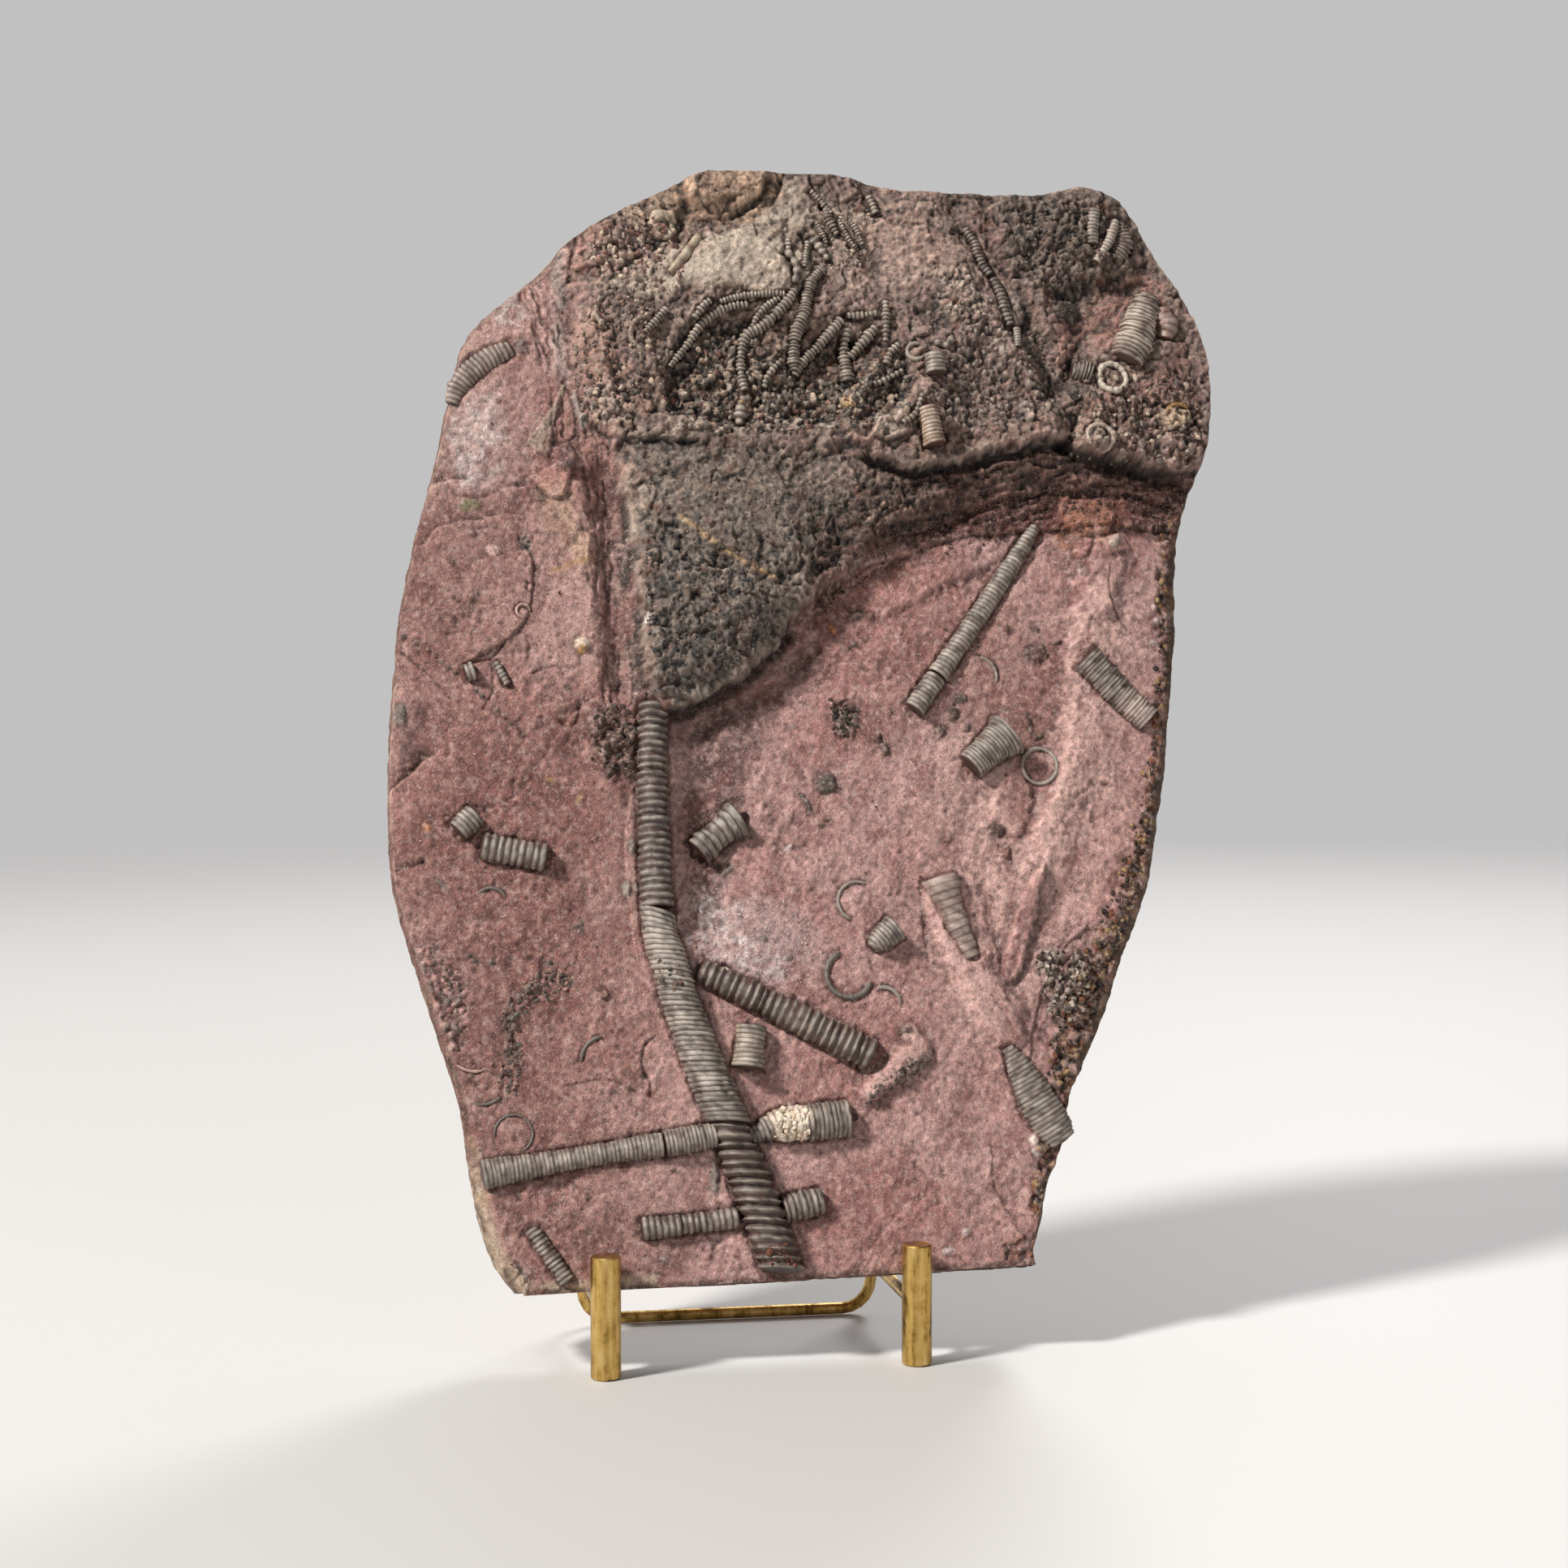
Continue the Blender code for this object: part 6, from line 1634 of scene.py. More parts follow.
# Grains that lie on a stem, given as its two ends, its radius and how far out they stand: the crystals in
# the broad
# piece beside the long stem, and the breaks and the rust of the long stem itself
CRYSTALS = dict(outline=[(-21.5, 45.5), (-20.5, 54), (-16, 56), (-11, 55.5), (-9.5, 51), (-11, 45),
                         (-16, 44)],
                count=150, sizes=(1.1, 2.4), colours=((232, 214, 192), (214, 192, 168), (240, 226, 208)),
                seed=650,
                dome=((-22, 50), (-8, 50.3), 5.5, 0.4))
BROKEN_STEM = [
    dict(outline=[(-58, 104), (-50, 106), (-45, 87), (-54, 84)], count=70, sizes=(0.8, 2.6), seed=651,
         colours=((96, 84, 76), (60, 52, 48), (128, 112, 102), (120, 84, 74)),
         dome=((-53, 103), (-49, 88), 5.6, 1.0)),
    dict(outline=[(-27, 11), (-20, 12), (-16, 3), (-23, 2)], count=40, sizes=(0.8, 2.4), seed=652,
         colours=((124, 66, 46), (98, 50, 38)), dome=((-23, 11), (-20, 3.5), 6.7, 0.8)),
]


def crumbs(face, outline, count, sizes, colours, seed, dome=None):
    """Broken grains scattered over a region, half sunk into the rock, or into a stem given by `dome`."""
    rng = np.random.default_rng(seed)
    path = face.lay([tuple(p) for p in outline])
    ends = np.roll(path, -1, axis=0)
    spots = rng.uniform(path.min(axis=0), path.max(axis=0), (8 * count, 2))
    crossed = (path[:, 1] > spots[:, 1:]) != (ends[:, 1] > spots[:, 1:])
    run, climb = ends[:, 0] - path[:, 0], ends[:, 1] - path[:, 1] + 1e-9
    at = path[:, 0] + (spots[:, 1:] - path[:, 1]) * run / climb
    spots = spots[(crossed & (at > spots[:, :1])).sum(axis=1) % 2 == 1][:count]
    spots = spots[face.at(face.inland, *spots.T) > 3.5 + 0.5 * sizes[1]]
    count = len(spots)
    size = sizes[0] * (sizes[1] / sizes[0]) ** (rng.random(count) ** 1.7)
    corners = CRUMB / 1.9 * (1 + 0.16 * rng.normal(size=(count, 12, 1)))
    shape = rng.uniform((0.42, 0.32, 0.22), (0.6, 0.5, 0.4), (count, 3))
    corners = corners * (size[:, None] * shape)[:, None, :]
    tilt, turn = rng.normal(0, 0.5, count), rng.uniform(0, 2 * math.pi, count)
    x = corners[..., 0] * np.cos(tilt)[:, None] + corners[..., 2] * np.sin(tilt)[:, None]
    h = corners[..., 2] * np.cos(tilt)[:, None] - corners[..., 0] * np.sin(tilt)[:, None]
    s = spots[:, :1] + x * np.cos(turn)[:, None] - corners[..., 1] * np.sin(turn)[:, None]
    v = spots[:, 1:] + x * np.sin(turn)[:, None] + corners[..., 1] * np.cos(turn)[:, None]
    ground = face.at(face.height, *spots.T)
    if dome:
        a, b = face.lay([dome[0], dome[1]])
        off = segment(*spots.T, a, b)[0]
        bulge = np.sqrt(np.clip(dome[2] ** 2 - off ** 2, 0, None))
        ground = face.at(face.bed, *spots.T).mean() + dome[3] + bulge
    h = h + (ground + 0.08 * size)[:, None]
    sides = (CRUMB_SIDES[None] + 12 * np.arange(count)[:, None, None]).reshape(-1, 3)
    shade = np.array([tone(*c) for c in colours])[rng.integers(len(colours), size=count)]
    shade = shade * rng.uniform(0.75, 1.2, (count, 1))
    return np.column_stack([s.ravel(), v.ravel(), h.ravel()]), sides.tolist(), np.repeat(shade, 12, axis=0)


def joined(parts):
    """Several lots of vertices, faces and colours as one."""
    vertices, faces, colours, start = [], [], [], 0
    for v, f, c in parts:
        vertices.append(v)
        faces += [tuple(i + start for i in face) for face in f]
        colours.append(c)
        start += len(v)
    return np.vstack(vertices), faces, np.vstack(colours)


def shaded_seat(face, path, gap=0.8, depth=0.6, colour=RED_DEEP, strength=0.7):
    """A narrow gutter in the rock on both sides of a stem, tinted dark as painted shade."""
    line = smooth_path(face.lay([tuple(p[:3]) for p in path]), 1.0)
    w, (distance, _, over, radius, _) = face.near(line, line[:, 2].max() + 3.5, ragged=0.25)
    ends = np.exp(-(over / 1.5) ** 2)
    mask = np.exp(-((distance - radius) / gap) ** 2) * ends
    mask = np.where(distance < radius, np.exp(-(over / 1.5) ** 2), mask)
    face.height[w] -= depth * mask
    face.tint(w, strength * mask, colour)
    face.fine[w] = np.maximum(face.fine[w], 1.0 * (distance < radius + 2.5) * (over < 2))


# Each stem: its name, its path of s, v, radius and share of the second colour, its ring pitch, its two
# colours,
# and what else differs from the usual
LONG_STEM = [
    ("long_stem_upper", [(-55, 189, 4.9, 0), (-56.5, 165, 5.2, 0.1), (-56.5, 150, 5.4, 0),
                         (-56.5, 135, 5.5, 0.3),
                         (-56.3, 120.5, 5.6, 0.5)], 2.5, (tone(84, 75, 69), tone(120, 110, 102)),
     dict(groove=0.16, lift=1.2, sides=36, chips=0.3, wobble=0.03, crest=0.9, groove_shade=0.85)),
    ("long_stem_middle", [(-56.2, 119.7, 5.5, 0.4), (-55.5, 112, 5.7, 0.7), (-53, 103, 5.9, 0.9),
                          (-50, 91, 6.1, 0.2),
                          (-46, 79, 6.3, 0.4), (-42, 67, 6.5, 0.3), (-37, 54, 6.7, 0.1),
                          (-36, 51, 6.6, -0.2)], 1.7,
     (tone(84, 76, 70), tone(166, 156, 144)), dict(groove=0.05, lift=1.2, sides=36, chips=0.34,
                                                   wobble=0.02, crest=3,
                                                  groove_shade=0.75, waver=0.14, slant=0.38)),
    ("long_stem_lower", [(-36.0, 51.2, 6.4, 0.2), (-34.4, 46, 6.7, 0.2), (-30, 34, 7.0, 0.3),
                         (-26, 22, 7.1, 0.3),
                         (-22.5, 11, 7.1, 0.1), (-20, 3.5, 6.8, 0)], 3.05,
     (tone(88, 78, 70), tone(136, 125, 113)),
     dict(groove=0.17, lift=1.0, sides=36, chips=0.25, wobble=0.015, crest=0.6, groove_shade=0.85, slant=0.4)),
]

USUAL = (tone(92, 82, 74), tone(136, 124, 112))
DARK = (tone(58, 50, 45), tone(92, 82, 74))
PALE = (tone(176, 158, 138), tone(206, 188, 166))
FINE = dict(groove=0.05, crest=4, lift=0.3, groove_shade=0.6)
FRAGMENTS = [
    ("slanting_rod", [(78.5, 251, 1.5, 0), (75, 245.5, 2.5, 0), (70, 238, 3.1, 0.1), (50, 210, 3.4, 0.3),
                      (41, 198, 3.5, 0.5)], 1.6, USUAL, {**FINE, "lift": 0.2}),
    ("slanting_rod_end", [(40.6, 197.4, 3.6, 0.4), (32, 186, 3.7, 0.5)], 1.6, USUAL,
     {**FINE, "groove": 0.09}),
    ("right_edge_piece", [(92.8, 204, 5.6, 0.0), (103, 193, 5.2, 0.1), (108.5, 187.5, 5.0, 0.9),
                          (113.5, 182.5, 4.5, 0.2)],
     1.3, (tone(84, 72, 66), tone(178, 152, 140)), {**FINE, "flat": 0.7, "chips": 0.4}),
    ("flared_piece", [(50.3, 166.6, 4.9, 0.2), (57, 172.2, 5.6, 0.2), (61.5, 175.8, 6.6, 0.2),
                      (63.8, 177.7, 8.0, 0.0)],
     1.3, USUAL, {**FINE, "lift": 0.8, "groove": 0.07}),
    ("dark_cone", [(-42.5, 138.5, 5.2, 0), (-35.5, 144.5, 4.7, 0.3), (-30.5, 148.1, 6.0, 0.2),
                   (-28.6, 149.4, 7.0, 0.2)], 2.4,
     DARK, dict(groove=0.05, lift=0.9, bore=0.4, crest=4)),
    ("ribbed_rod", [(-43, 100.2, 4.3, 0.0), (-30, 93.5, 4.7, 0.2), (-9, 82.5, 5.3, 0.5),
                    (12, 71.3, 5.6, 0.4)], 2.6, USUAL,
     dict(groove=0.15, lift=0.4, sides=30, crest=0.55, groove_shade=0.42, wobble=0.03)),
    ("short_piece", [(-27, 81.7, 4.8, 0.4), (-28, 75, 4.9, 0.6), (-28.4, 70.4, 4.9, 0.6),
                     (-28.6, 69, 5.5, 0.3),
                     (-28.7, 68.2, 5.4, 0.2)], 1.5, (tone(96, 86, 76), tone(158, 142, 124)),
     {**FINE, "lift": 0.8}),
    ("lower_left_rod", [(-114, 37, 4.8, 0.2), (-106, 38.3, 4.3, 0.4), (-100, 39, 3.9, 0.3),
                        (-82, 41.7, 3.3, 0.3),
                        (-62, 44.2, 3.9, 0.3), (-57, 44.8, 4.1, 0.2)], 1.4, USUAL, {**FINE, "chips": 0.3}),
    ("lower_left_rod_end", [(-56.4, 44.9, 4.2, 0.2), (-46, 46.4, 4.2, 0.2), (-40, 47.4, 4.0, 0.6)], 1.3,
     USUAL,
     {**FINE, "lift": 0.5, "groove": 0.08}),
    ("lower_right_rod", [(-29, 46.5, 2.8, 0), (-25, 48, 3.4, 0), (-21, 49.4, 4.9, 0.75),
                         (-17, 50, 5.5, 1.2),
                         (-12, 50.2, 5.7, 1.1), (-9, 50.3, 5.8, 0.0), (3.4, 51.3, 6.1, 0)], 1.5,
     (tone(78, 68, 62), tone(224, 202, 178)), {**FINE, "bore": 0.4, "chips": 0.3, "lift": 0.5}),
    ("foot_rod_left", [(-64.5, 18.5, 3.6, 0.2), (-52, 19.3, 3.3, 0.1)], 2.1, USUAL,
     dict(groove=0.11, lift=0.1, crest=1.6, chips=0.3, wobble=0.05)),
    ("foot_rod_middle", [(-52, 19.4, 2.9, 0.0), (-44, 20, 3.2, 0.2), (-34, 21, 3.7, 0.3)], 2.0, USUAL,
     dict(groove=0.12, lift=0.1, crest=1.6, chips=0.3, wobble=0.06)),
    ("foot_rod_right", [(-19.5, 23, 4.5, 0.0), (-6.3, 25.4, 4.6, 0.1)], 2.0, USUAL,
     dict(groove=0.08, lift=0.3, crest=2, chips=0.2, wobble=0.05)),
    ("foot_left_piece", [(-99.3, 20, 2.4, 0.2), (-94, 12, 2.6, 0.3), (-88.2, 3.2, 2.6, 0.2)], 1.6, USUAL,
     dict(groove=0.10, lift=0.1, crest=2)),
    ("left_ribbed_piece", [(-112, 141.5, 4.5, 0.5), (-91.7, 137.2, 4.5, 0.3)], 2.2, USUAL,
     dict(groove=0.11, lift=0.4, crest=1.6)),
    ("left_small_piece", [(-119.7, 146.4, 4.0, 0.3), (-113.8, 152.0, 4.0, 0.3)], 1.6, USUAL,
     {**FINE, "groove": 0.08}),
    ("small_dome", [(13.6, 106.2, 1.4, 0.0), (15, 107.4, 3.2, 0.1), (18, 109.8, 4.3, 0.3),
                    (22, 113, 4.8, 0.4)], 1.4, USUAL,
     {**FINE, "lift": 0.6}),
    ("right_rim_piece", [(57.5, 73, 1.8, 0.2), (61, 66, 4.2, 0.3), (66, 56, 6.4, 0.3), (71, 47, 6.4, 0.2),
                         (74, 42, 4.6, 0.3)], 1.5, (tone(84, 74, 68), tone(140, 124, 114)),
     {**FINE, "flat": 0.5}),
    ("trumpet", [(38.0, 129.4, 6.4, 0.9), (38.8, 127.2, 6.0, 0.5), (40.4, 122.5, 4.6, 0.1),
                 (43, 115, 3.8, 0.2),
                 (48, 103, 2.4, 0.3)], 2.6, (tone(122, 96, 88), tone(184, 156, 146)),
     dict(groove=0.02, lift=-0.6, flat=0.8, crest=4, groove_shade=0.2)),
    ("ribbed_barrel", [(-116.5, 198.5, 2.9, 0), (-113.5, 199.5, 3.2, 0.9)], 1.3, USUAL,
     dict(groove=0.1, lift=0.7)),
    ("tiny_rod", [(-106.5, 202.5, 1.2, 0.5), (-102.5, 195, 1.2, 0.8)], 1.3, USUAL,
     dict(groove=0.12, lift=0.4, sides=14)),
    ("white_bit", [(-34.2, 100.5, 1.3, 1), (-36.2, 96.8, 1.5, 1)], 1.4, PALE,
     dict(groove=0.1, lift=1.0, sides=14)),
]
CROWN_STEMS = [
    ("left_curved_stem", [(-119, 291, 2.2, 0.3), (-117, 297, 3.4, 0.3), (-112.5, 302.5, 3.9, 0.5),
                          (-106, 307.4, 3.7, 0.5),
                          (-99, 310.8, 2.9, 0.2)], 1.7, (tone(116, 98, 88), tone(172, 152, 138)),
     dict(groove=0.12, lift=-0.7, flat=0.5, crest=1.0, chips=0.5, groove_shade=0.5)),
    ("big_cream_stem", [(125, 336, 2.6, 0.2), (124, 333, 4.6, 0.4), (122, 328, 5.6, 0.7),
                        (118.5, 319, 6.0, 0.8),
                        (115, 311.5, 6.2, 0.5)], 1.55,
     (tone(118, 98, 86), tone(206, 190, 172)), dict(groove=0.12, lift=0.2, sides=36, crest=1.0, chips=0.5,
                                                    wobble=0.06,
                                                    groove_shade=0.8, waver=0.2, flat=0.8)),
    ("wide_barrel", [(46, 311.5, 3.6, 0.5), (46.3, 304.5, 3.6, 0.4)], 1.5,
     (tone(104, 94, 84), tone(144, 130, 114)),
     dict(groove=0.05, lift=1.2, chips=0.3)),
    ("cream_barrel", [(42.5, 292.5, 3.4, 0.5), (43.5, 286, 3.6, 0.9), (44.5, 279, 3.8, 0.3)], 1.3,
     (tone(140, 104, 82), tone(184, 158, 136)), dict(groove=0.05, lift=0.9, chips=0.4)),
    ("red_barrel", [(76, 322, 1.3, 0.5), (76, 315, 1.3, 0.5)], 1.1, USUAL,
     dict(groove=0.12, lift=0.8, sides=14)),
    ("ochre_rod", [(-33.5, 353.5, 1.5, 0.3), (-39, 346, 1.6, 0.7), (-44.5, 339, 1.3, 0.2)], 6.0,
     (tone(166, 144, 116), tone(190, 170, 144)), dict(groove=0.03, lift=-0.5, sides=16, groove_shade=0.3)),
    ("corner_rod", [(107.2, 367.5, 2.0, 0.6), (106.2, 361, 2.2, 0.6), (105.6, 354, 1.8, 0.5)], 1.25, USUAL,
     dict(groove=0.16, lift=-0.2, sides=18, flat=0.7)),
    ("corner_strand", [(115, 363.5, 1.4, 0.6), (112, 356, 1.7, 0.6), (106, 347, 1.3, 0.5)], 1.3,
     (tone(120, 106, 96), tone(170, 154, 140)), dict(groove=0.08, lift=0.1, sides=16, flat=0.8)),
    ("corner_comb", [(117, 362, 2.0, 0.3), (117.5, 355, 3.2, 0.3), (114, 349, 2.6, 0.3)], 1.3, USUAL,
     dict(groove=0.18, lift=-0.9, sides=20, flat=0.6, crest=0.8)),
    ("cone_ladder", [(60, 359, 1.5, 0.3), (63, 354, 1.8, 0.3), (65, 347, 1.9, 0.2), (68, 342, 1.3, 0.1)],
     1.3,
     (tone(84, 74, 68), tone(140, 126, 114)), dict(groove=0.2, lift=-0.4, sides=16, crest=1.0, chips=0.4,
                                                   groove_shade=0.8)),
    ("cone_plates", [(69, 341, 1.5, 0.3), (71.5, 334, 2.0, 0.3), (72.5, 328, 2.1, 0.2),
                     (74, 323, 1.6, 0.1)], 1.6,
     (tone(84, 74, 68), tone(140, 126, 114)), dict(groove=0.2, lift=-0.4, sides=16, crest=1.0, chips=0.5,
                                                   groove_shade=0.8)),
    ("knob", [(129, 331, 3.0, 0.2), (131, 325, 3.8, 0.3), (130, 320, 2.6, 0.2)], 2.4,
     (tone(128, 92, 82), tone(156, 120, 108)),
     dict(groove=0.01, lift=-0.6, chips=0.5, groove_shade=0.2, crest=4)),
    ("grooved_end", [(94.5, 307, 2.4, 0.2), (99, 306.5, 4.0, 0.1), (102, 306, 3.4, 0.1)], 1.1, DARK,
     dict(groove=0.14, lift=0.4, crest=1.0)),
]

# The crown's arms: a path of s, v and radius, and the pitch
ARMS = [
    ([(-5, 332.3, 1.3), (-12, 332.2, 1.3), (-20, 331.3, 1.25), (-28, 328.6, 1.0)], 1.22),
    ([(-18, 328.8, 1.5), (-25, 327, 1.7), (-32, 323, 1.7), (-36, 318.5, 1.6), (-40, 312.5, 1.4),
      (-46, 305, 1.0)], 1.40),
    ([(-31, 329, 1.2), (-34, 326.5, 1.5), (-37, 322, 1.2)], 1.34),
    ([(-7, 331, 1.0), (-12, 327.5, 1.2), (-15, 324, 1.1), (-17, 320, 0.9)], 1.22),
    ([(-1.5, 334, 1.4), (-5, 329, 1.9), (-10, 323.5, 1.9), (-14, 320, 2.0), (-19, 317, 2.1),
      (-21, 312, 1.5),
      (-21.5, 304, 1.6), (-20.5, 297, 1.8)], 1.40),
    ([(-22, 291.5, 2.1), (-22.5, 288, 1.9), (-23, 285, 1.3)], 2.20),
    ([(8, 341.5, 1.6), (4.5, 337.5, 1.9), (2.5, 331, 1.9), (1, 325, 2.0), (-2, 318, 2.1), (-3, 311, 2.1),
      (-3, 304.5, 2.1)],
     1.15),
    ([(14, 323.5, 1.7), (10, 319, 1.8), (5, 313, 1.8), (0, 308.2, 1.8), (-3, 303, 1.5)], 1.34),
    ([(26.5, 326, 1.2), (22, 325.2, 1.3), (16, 325, 1.3)], 1.40),
    ([(29.8, 330.5, 1.4), (29.6, 323, 1.4), (29, 315.5, 1.2)], 1.46),
    ([(16, 320.5, 1.5), (14.5, 313, 1.8), (14.6, 307, 2.2), (15.2, 300.8, 2.4)], 1.46),
    ([(26, 321, 1.7), (20, 314, 1.9), (16.3, 309.8, 1.8)], 1.40),
    ([(34, 315.5, 1.2), (30.5, 311.5, 1.6), (28.5, 307, 1.4)], 1.59),
    ([(3.6, 351.5, 0.9), (2.8, 347, 1.0), (2, 342, 0.9)], 1.22),
    ([(10.3, 364, 1.2), (11.5, 359, 1.6), (14.2, 354.5, 1.3)], 1.34),
    ([(-3, 352.5, 1.2), (-3.2, 347.3, 1.2)], 1.46),
    ([(26, 369.5, 1.4), (28.5, 363, 1.5)], 1.59),
    ([(5.5, 370.3, 0.8), (9, 366.5, 1.1), (12.5, 362, 1.0)], 1.22),
    ([(15, 360, 0.8), (17, 355, 1.0), (20, 350, 0.9)], 1.10),
    ([(18.5, 360, 0.8), (21, 356, 1.0), (23, 351, 0.9)], 1.10),
    ([(7, 359, 0.8), (9, 355, 0.9), (10.5, 351.5, 0.8)], 1.10),
    ([(-46, 326, 1.2), (-50, 321.5, 1.4), (-54, 317, 1.1)], 1.34),
    ([(5, 353, 1.5), (8, 349, 1.6), (10.5, 345, 1.2)], 2.44),
    ([(-8, 349, 1.1), (-3, 346.5, 1.4), (-0.6, 342, 1.5), (-1.5, 336, 1.2)], 3.66),
    ([(-7, 309, 1.0), (-12, 303, 1.1), (-14, 298, 0.9)], 1.46),
    ([(24, 300, 0.9), (30, 303, 1.1), (35, 306, 0.9)], 1.59),
    ([(41, 297, 0.8), (38, 290, 1.0), (33, 286, 0.9)], 1.59),
    ([(53, 318, 1.1), (50, 315, 1.4), (46, 316.5, 1.0)], 2.68),
]
ARM_COLOURS = (tone(144, 128, 114), tone(204, 187, 168))
ARM_LOOK = dict(groove=0.3, lift=1.3, sides=11, crest=1.0, wobble=0.11, groove_shade=0.8, chips=0.4, dirt=BROWN,
                smooth_bed=5)


# ---------------------------------------------------------------- the slab's sides and back
# How many rows of points a side wall has, and the share of the thickness that its bevel takes up
WALL_ROWS = 15
BEVEL_SHARE = 0.22


def thickness(v):
    """The slab's thickness below its face: it thins towards the top."""
    return THICKNESS_LOW + (THICKNESS_HIGH - THICKNESS_LOW) * v / SLAB_HEIGHT


def wall_colour(s, v, along, depth):
    """The weathered colours of the sides: brown and speckled right, pinkish left, beige on top."""
    count = len(s)
    colour = np.zeros((count, 3)) + tone(132, 96, 86)

    def mix(mask, other):
        colour[:] += np.clip(mask, 0, 1)[:, None] * (other - colour)

    mix(ease((s - 30) / 30) * ease((300 - v) / 40), tone(98, 72, 54))
    mix(ease((v - 300) / 30), tone(150, 122, 106))
    mix(ease((-95 - s) / 8) * ease((50 - v) / 20), tone(196, 172, 150))
    mix(0.7 * ease((8 - v) / 6), tone(96, 70, 62))
    mix(0.8 * ease(2.0 * clouds(along, depth * 2.5, 14, 501, 4) - 0.1), tone(84, 58, 48))
    mix(0.7 * ease(2.4 * clouds(along, depth * 2.0, 6, 503, 3) - 0.5), tone(176, 148, 120))
    mix(0.6 * ease(2.6 * clouds(along, depth, 4, 505, 3) - 0.9) * ease((s - 20) / 40), tone(150, 104, 56))
    mix(0.7 * ease(2.8 * clouds(along, depth, 3, 507, 3) - 1.0), BLACK)
    return colour


def make_sides(face, front, rim, outward, material):
    """The rough side walls and the split back, from the face's edge backwards."""
    count = len(rim)
    arc = arc_lengths(rim)
    edge = surface(face, front)
    deep = thickness(rim[:, 1])
    rows, tones = [], []
    for share in np.linspace(0, 1, WALL_ROWS) ** 0.85:
        if share <= BEVEL_SHARE:
            t = share / BEVEL_SHARE
            spot = edge[:, :2] + ease(0.3 + 0.7 * t) * (rim[:, :2] - edge[:, :2]) if t else edge[:, :2]
            height = edge[:, 2] + t * (-BEVEL_SHARE * deep - edge[:, 2])
        else:
            t = (share - BEVEL_SHARE) / (1 - BEVEL_SHARE)
            inward = 0.5 * ease(2 * t) + 1.5 * ease(2 * t - 1)
            spot = rim[:, :2] - outward * inward[..., None] * np.ones((count, 1))
            height = -share * deep
        layers = share * deep
        rough = 0.7 * np.abs(clouds(arc, layers * 1.8, 9, 511, 4))
        rough = rough + 0.5 * np.abs(facets(arc, layers, 6, 513))
        rough = rough + 0.5 * ease(3 * swirl(arc * 0.15, layers, 2.6, 517))
        spot = spot - outward * (rough * ease(share * 12) * (1 - ease(10 * share - 9)))[:, None]
        lowest = BACK_FOOT * share
        v = np.where(rim[:, 1] < 12, np.maximum(spot[:, 1], lowest + 0.02), spot[:, 1])
        rows.append(np.column_stack([spot[:, 0], v, height]))
        # Painted shade where the wall's roughness digs in deepest.
        mixed = wall_colour(spot[:, 0], v, arc, layers) * (1 - 0.35 * np.clip(rough - 0.6, 0, 1))[:, None]
        own = face.at(face.colour, front[:, 0], front[:, 1])
        tones.append(own + ease(share * 9)[..., None] * (mixed - own) if share else own)
    faces = []
    for a in range(WALL_ROWS - 1):
        for b in range(count):
            c = (b + 1) % count
            faces.append((a * count + b, a * count + c, (a + 1) * count + c, (a + 1) * count + b))
    back = rows[-1]
    signed = face.signed(np.column_stack([back[:, :2], np.zeros(count)]), 4.0)[0]
    s, v = np.meshgrid(np.arange(LEFT, RIGHT, 2.2), np.arange(FOOT, HEAD, 1.9))
    s = s + 1.1 * (np.arange(len(s)) % 2)[:, None]
    s, v = s.ravel(), v.ravel()
    keep = face.at(signed, s, v) > 1.3
    s, v = s[keep], v[keep]
    flat, triangles = triangulated(back[:, :2], np.column_stack([s, v]))
    start = (WALL_ROWS - 1) * count
    faces += [tuple(i + start for i in reversed(t)) for t in triangles]
    s, v = flat[count:].T
    relief = 1.0 + 0.7 * clouds(s, v, 48, 521, 3) + 0.8 * broken(s, v, 26, 523)
    relief += 0.5 * broken(s, v, 10, 524)
    relief += (0.5 * ease(6 * swirl(s, v, 60, 528)) + 0.22 * facets(s, v, 4, 525)
               + 0.3 * clouds(s, v, 5, 526, 2))
    relief = np.clip(relief, 0, 2.6) * ease(face.at(signed, s, v) / 4)
    inner = np.column_stack([s, v, -thickness(v) + relief])
    tint = np.zeros((len(s), 3)) + tone(122, 88, 80)
    tint += (0.7 * ease(0.5 + clouds(s, v, 50, 525, 4)))[:, None] * (tone(146, 112, 102) - tint)
    tint += (0.6 * ease(2 * clouds(s, v, 12, 527, 3) - 0.6))[:, None] * (tone(92, 66, 58) - tint)
    tint += (0.5 * ease(2 * clouds(s, v, 7, 529, 3) - 0.7))[:, None] * (tone(186, 152, 140) - tint)
    # Painted shade in the back's hollows and a painted highlight on its bumps.
    tint *= (1 - 0.34 * np.clip(relief - 1.0, -1, 1))[:, None]
    place("slab_sides", np.vstack(rows + [inner]), faces, np.vstack(tones + [tint]), material,
          "fossil_slab")


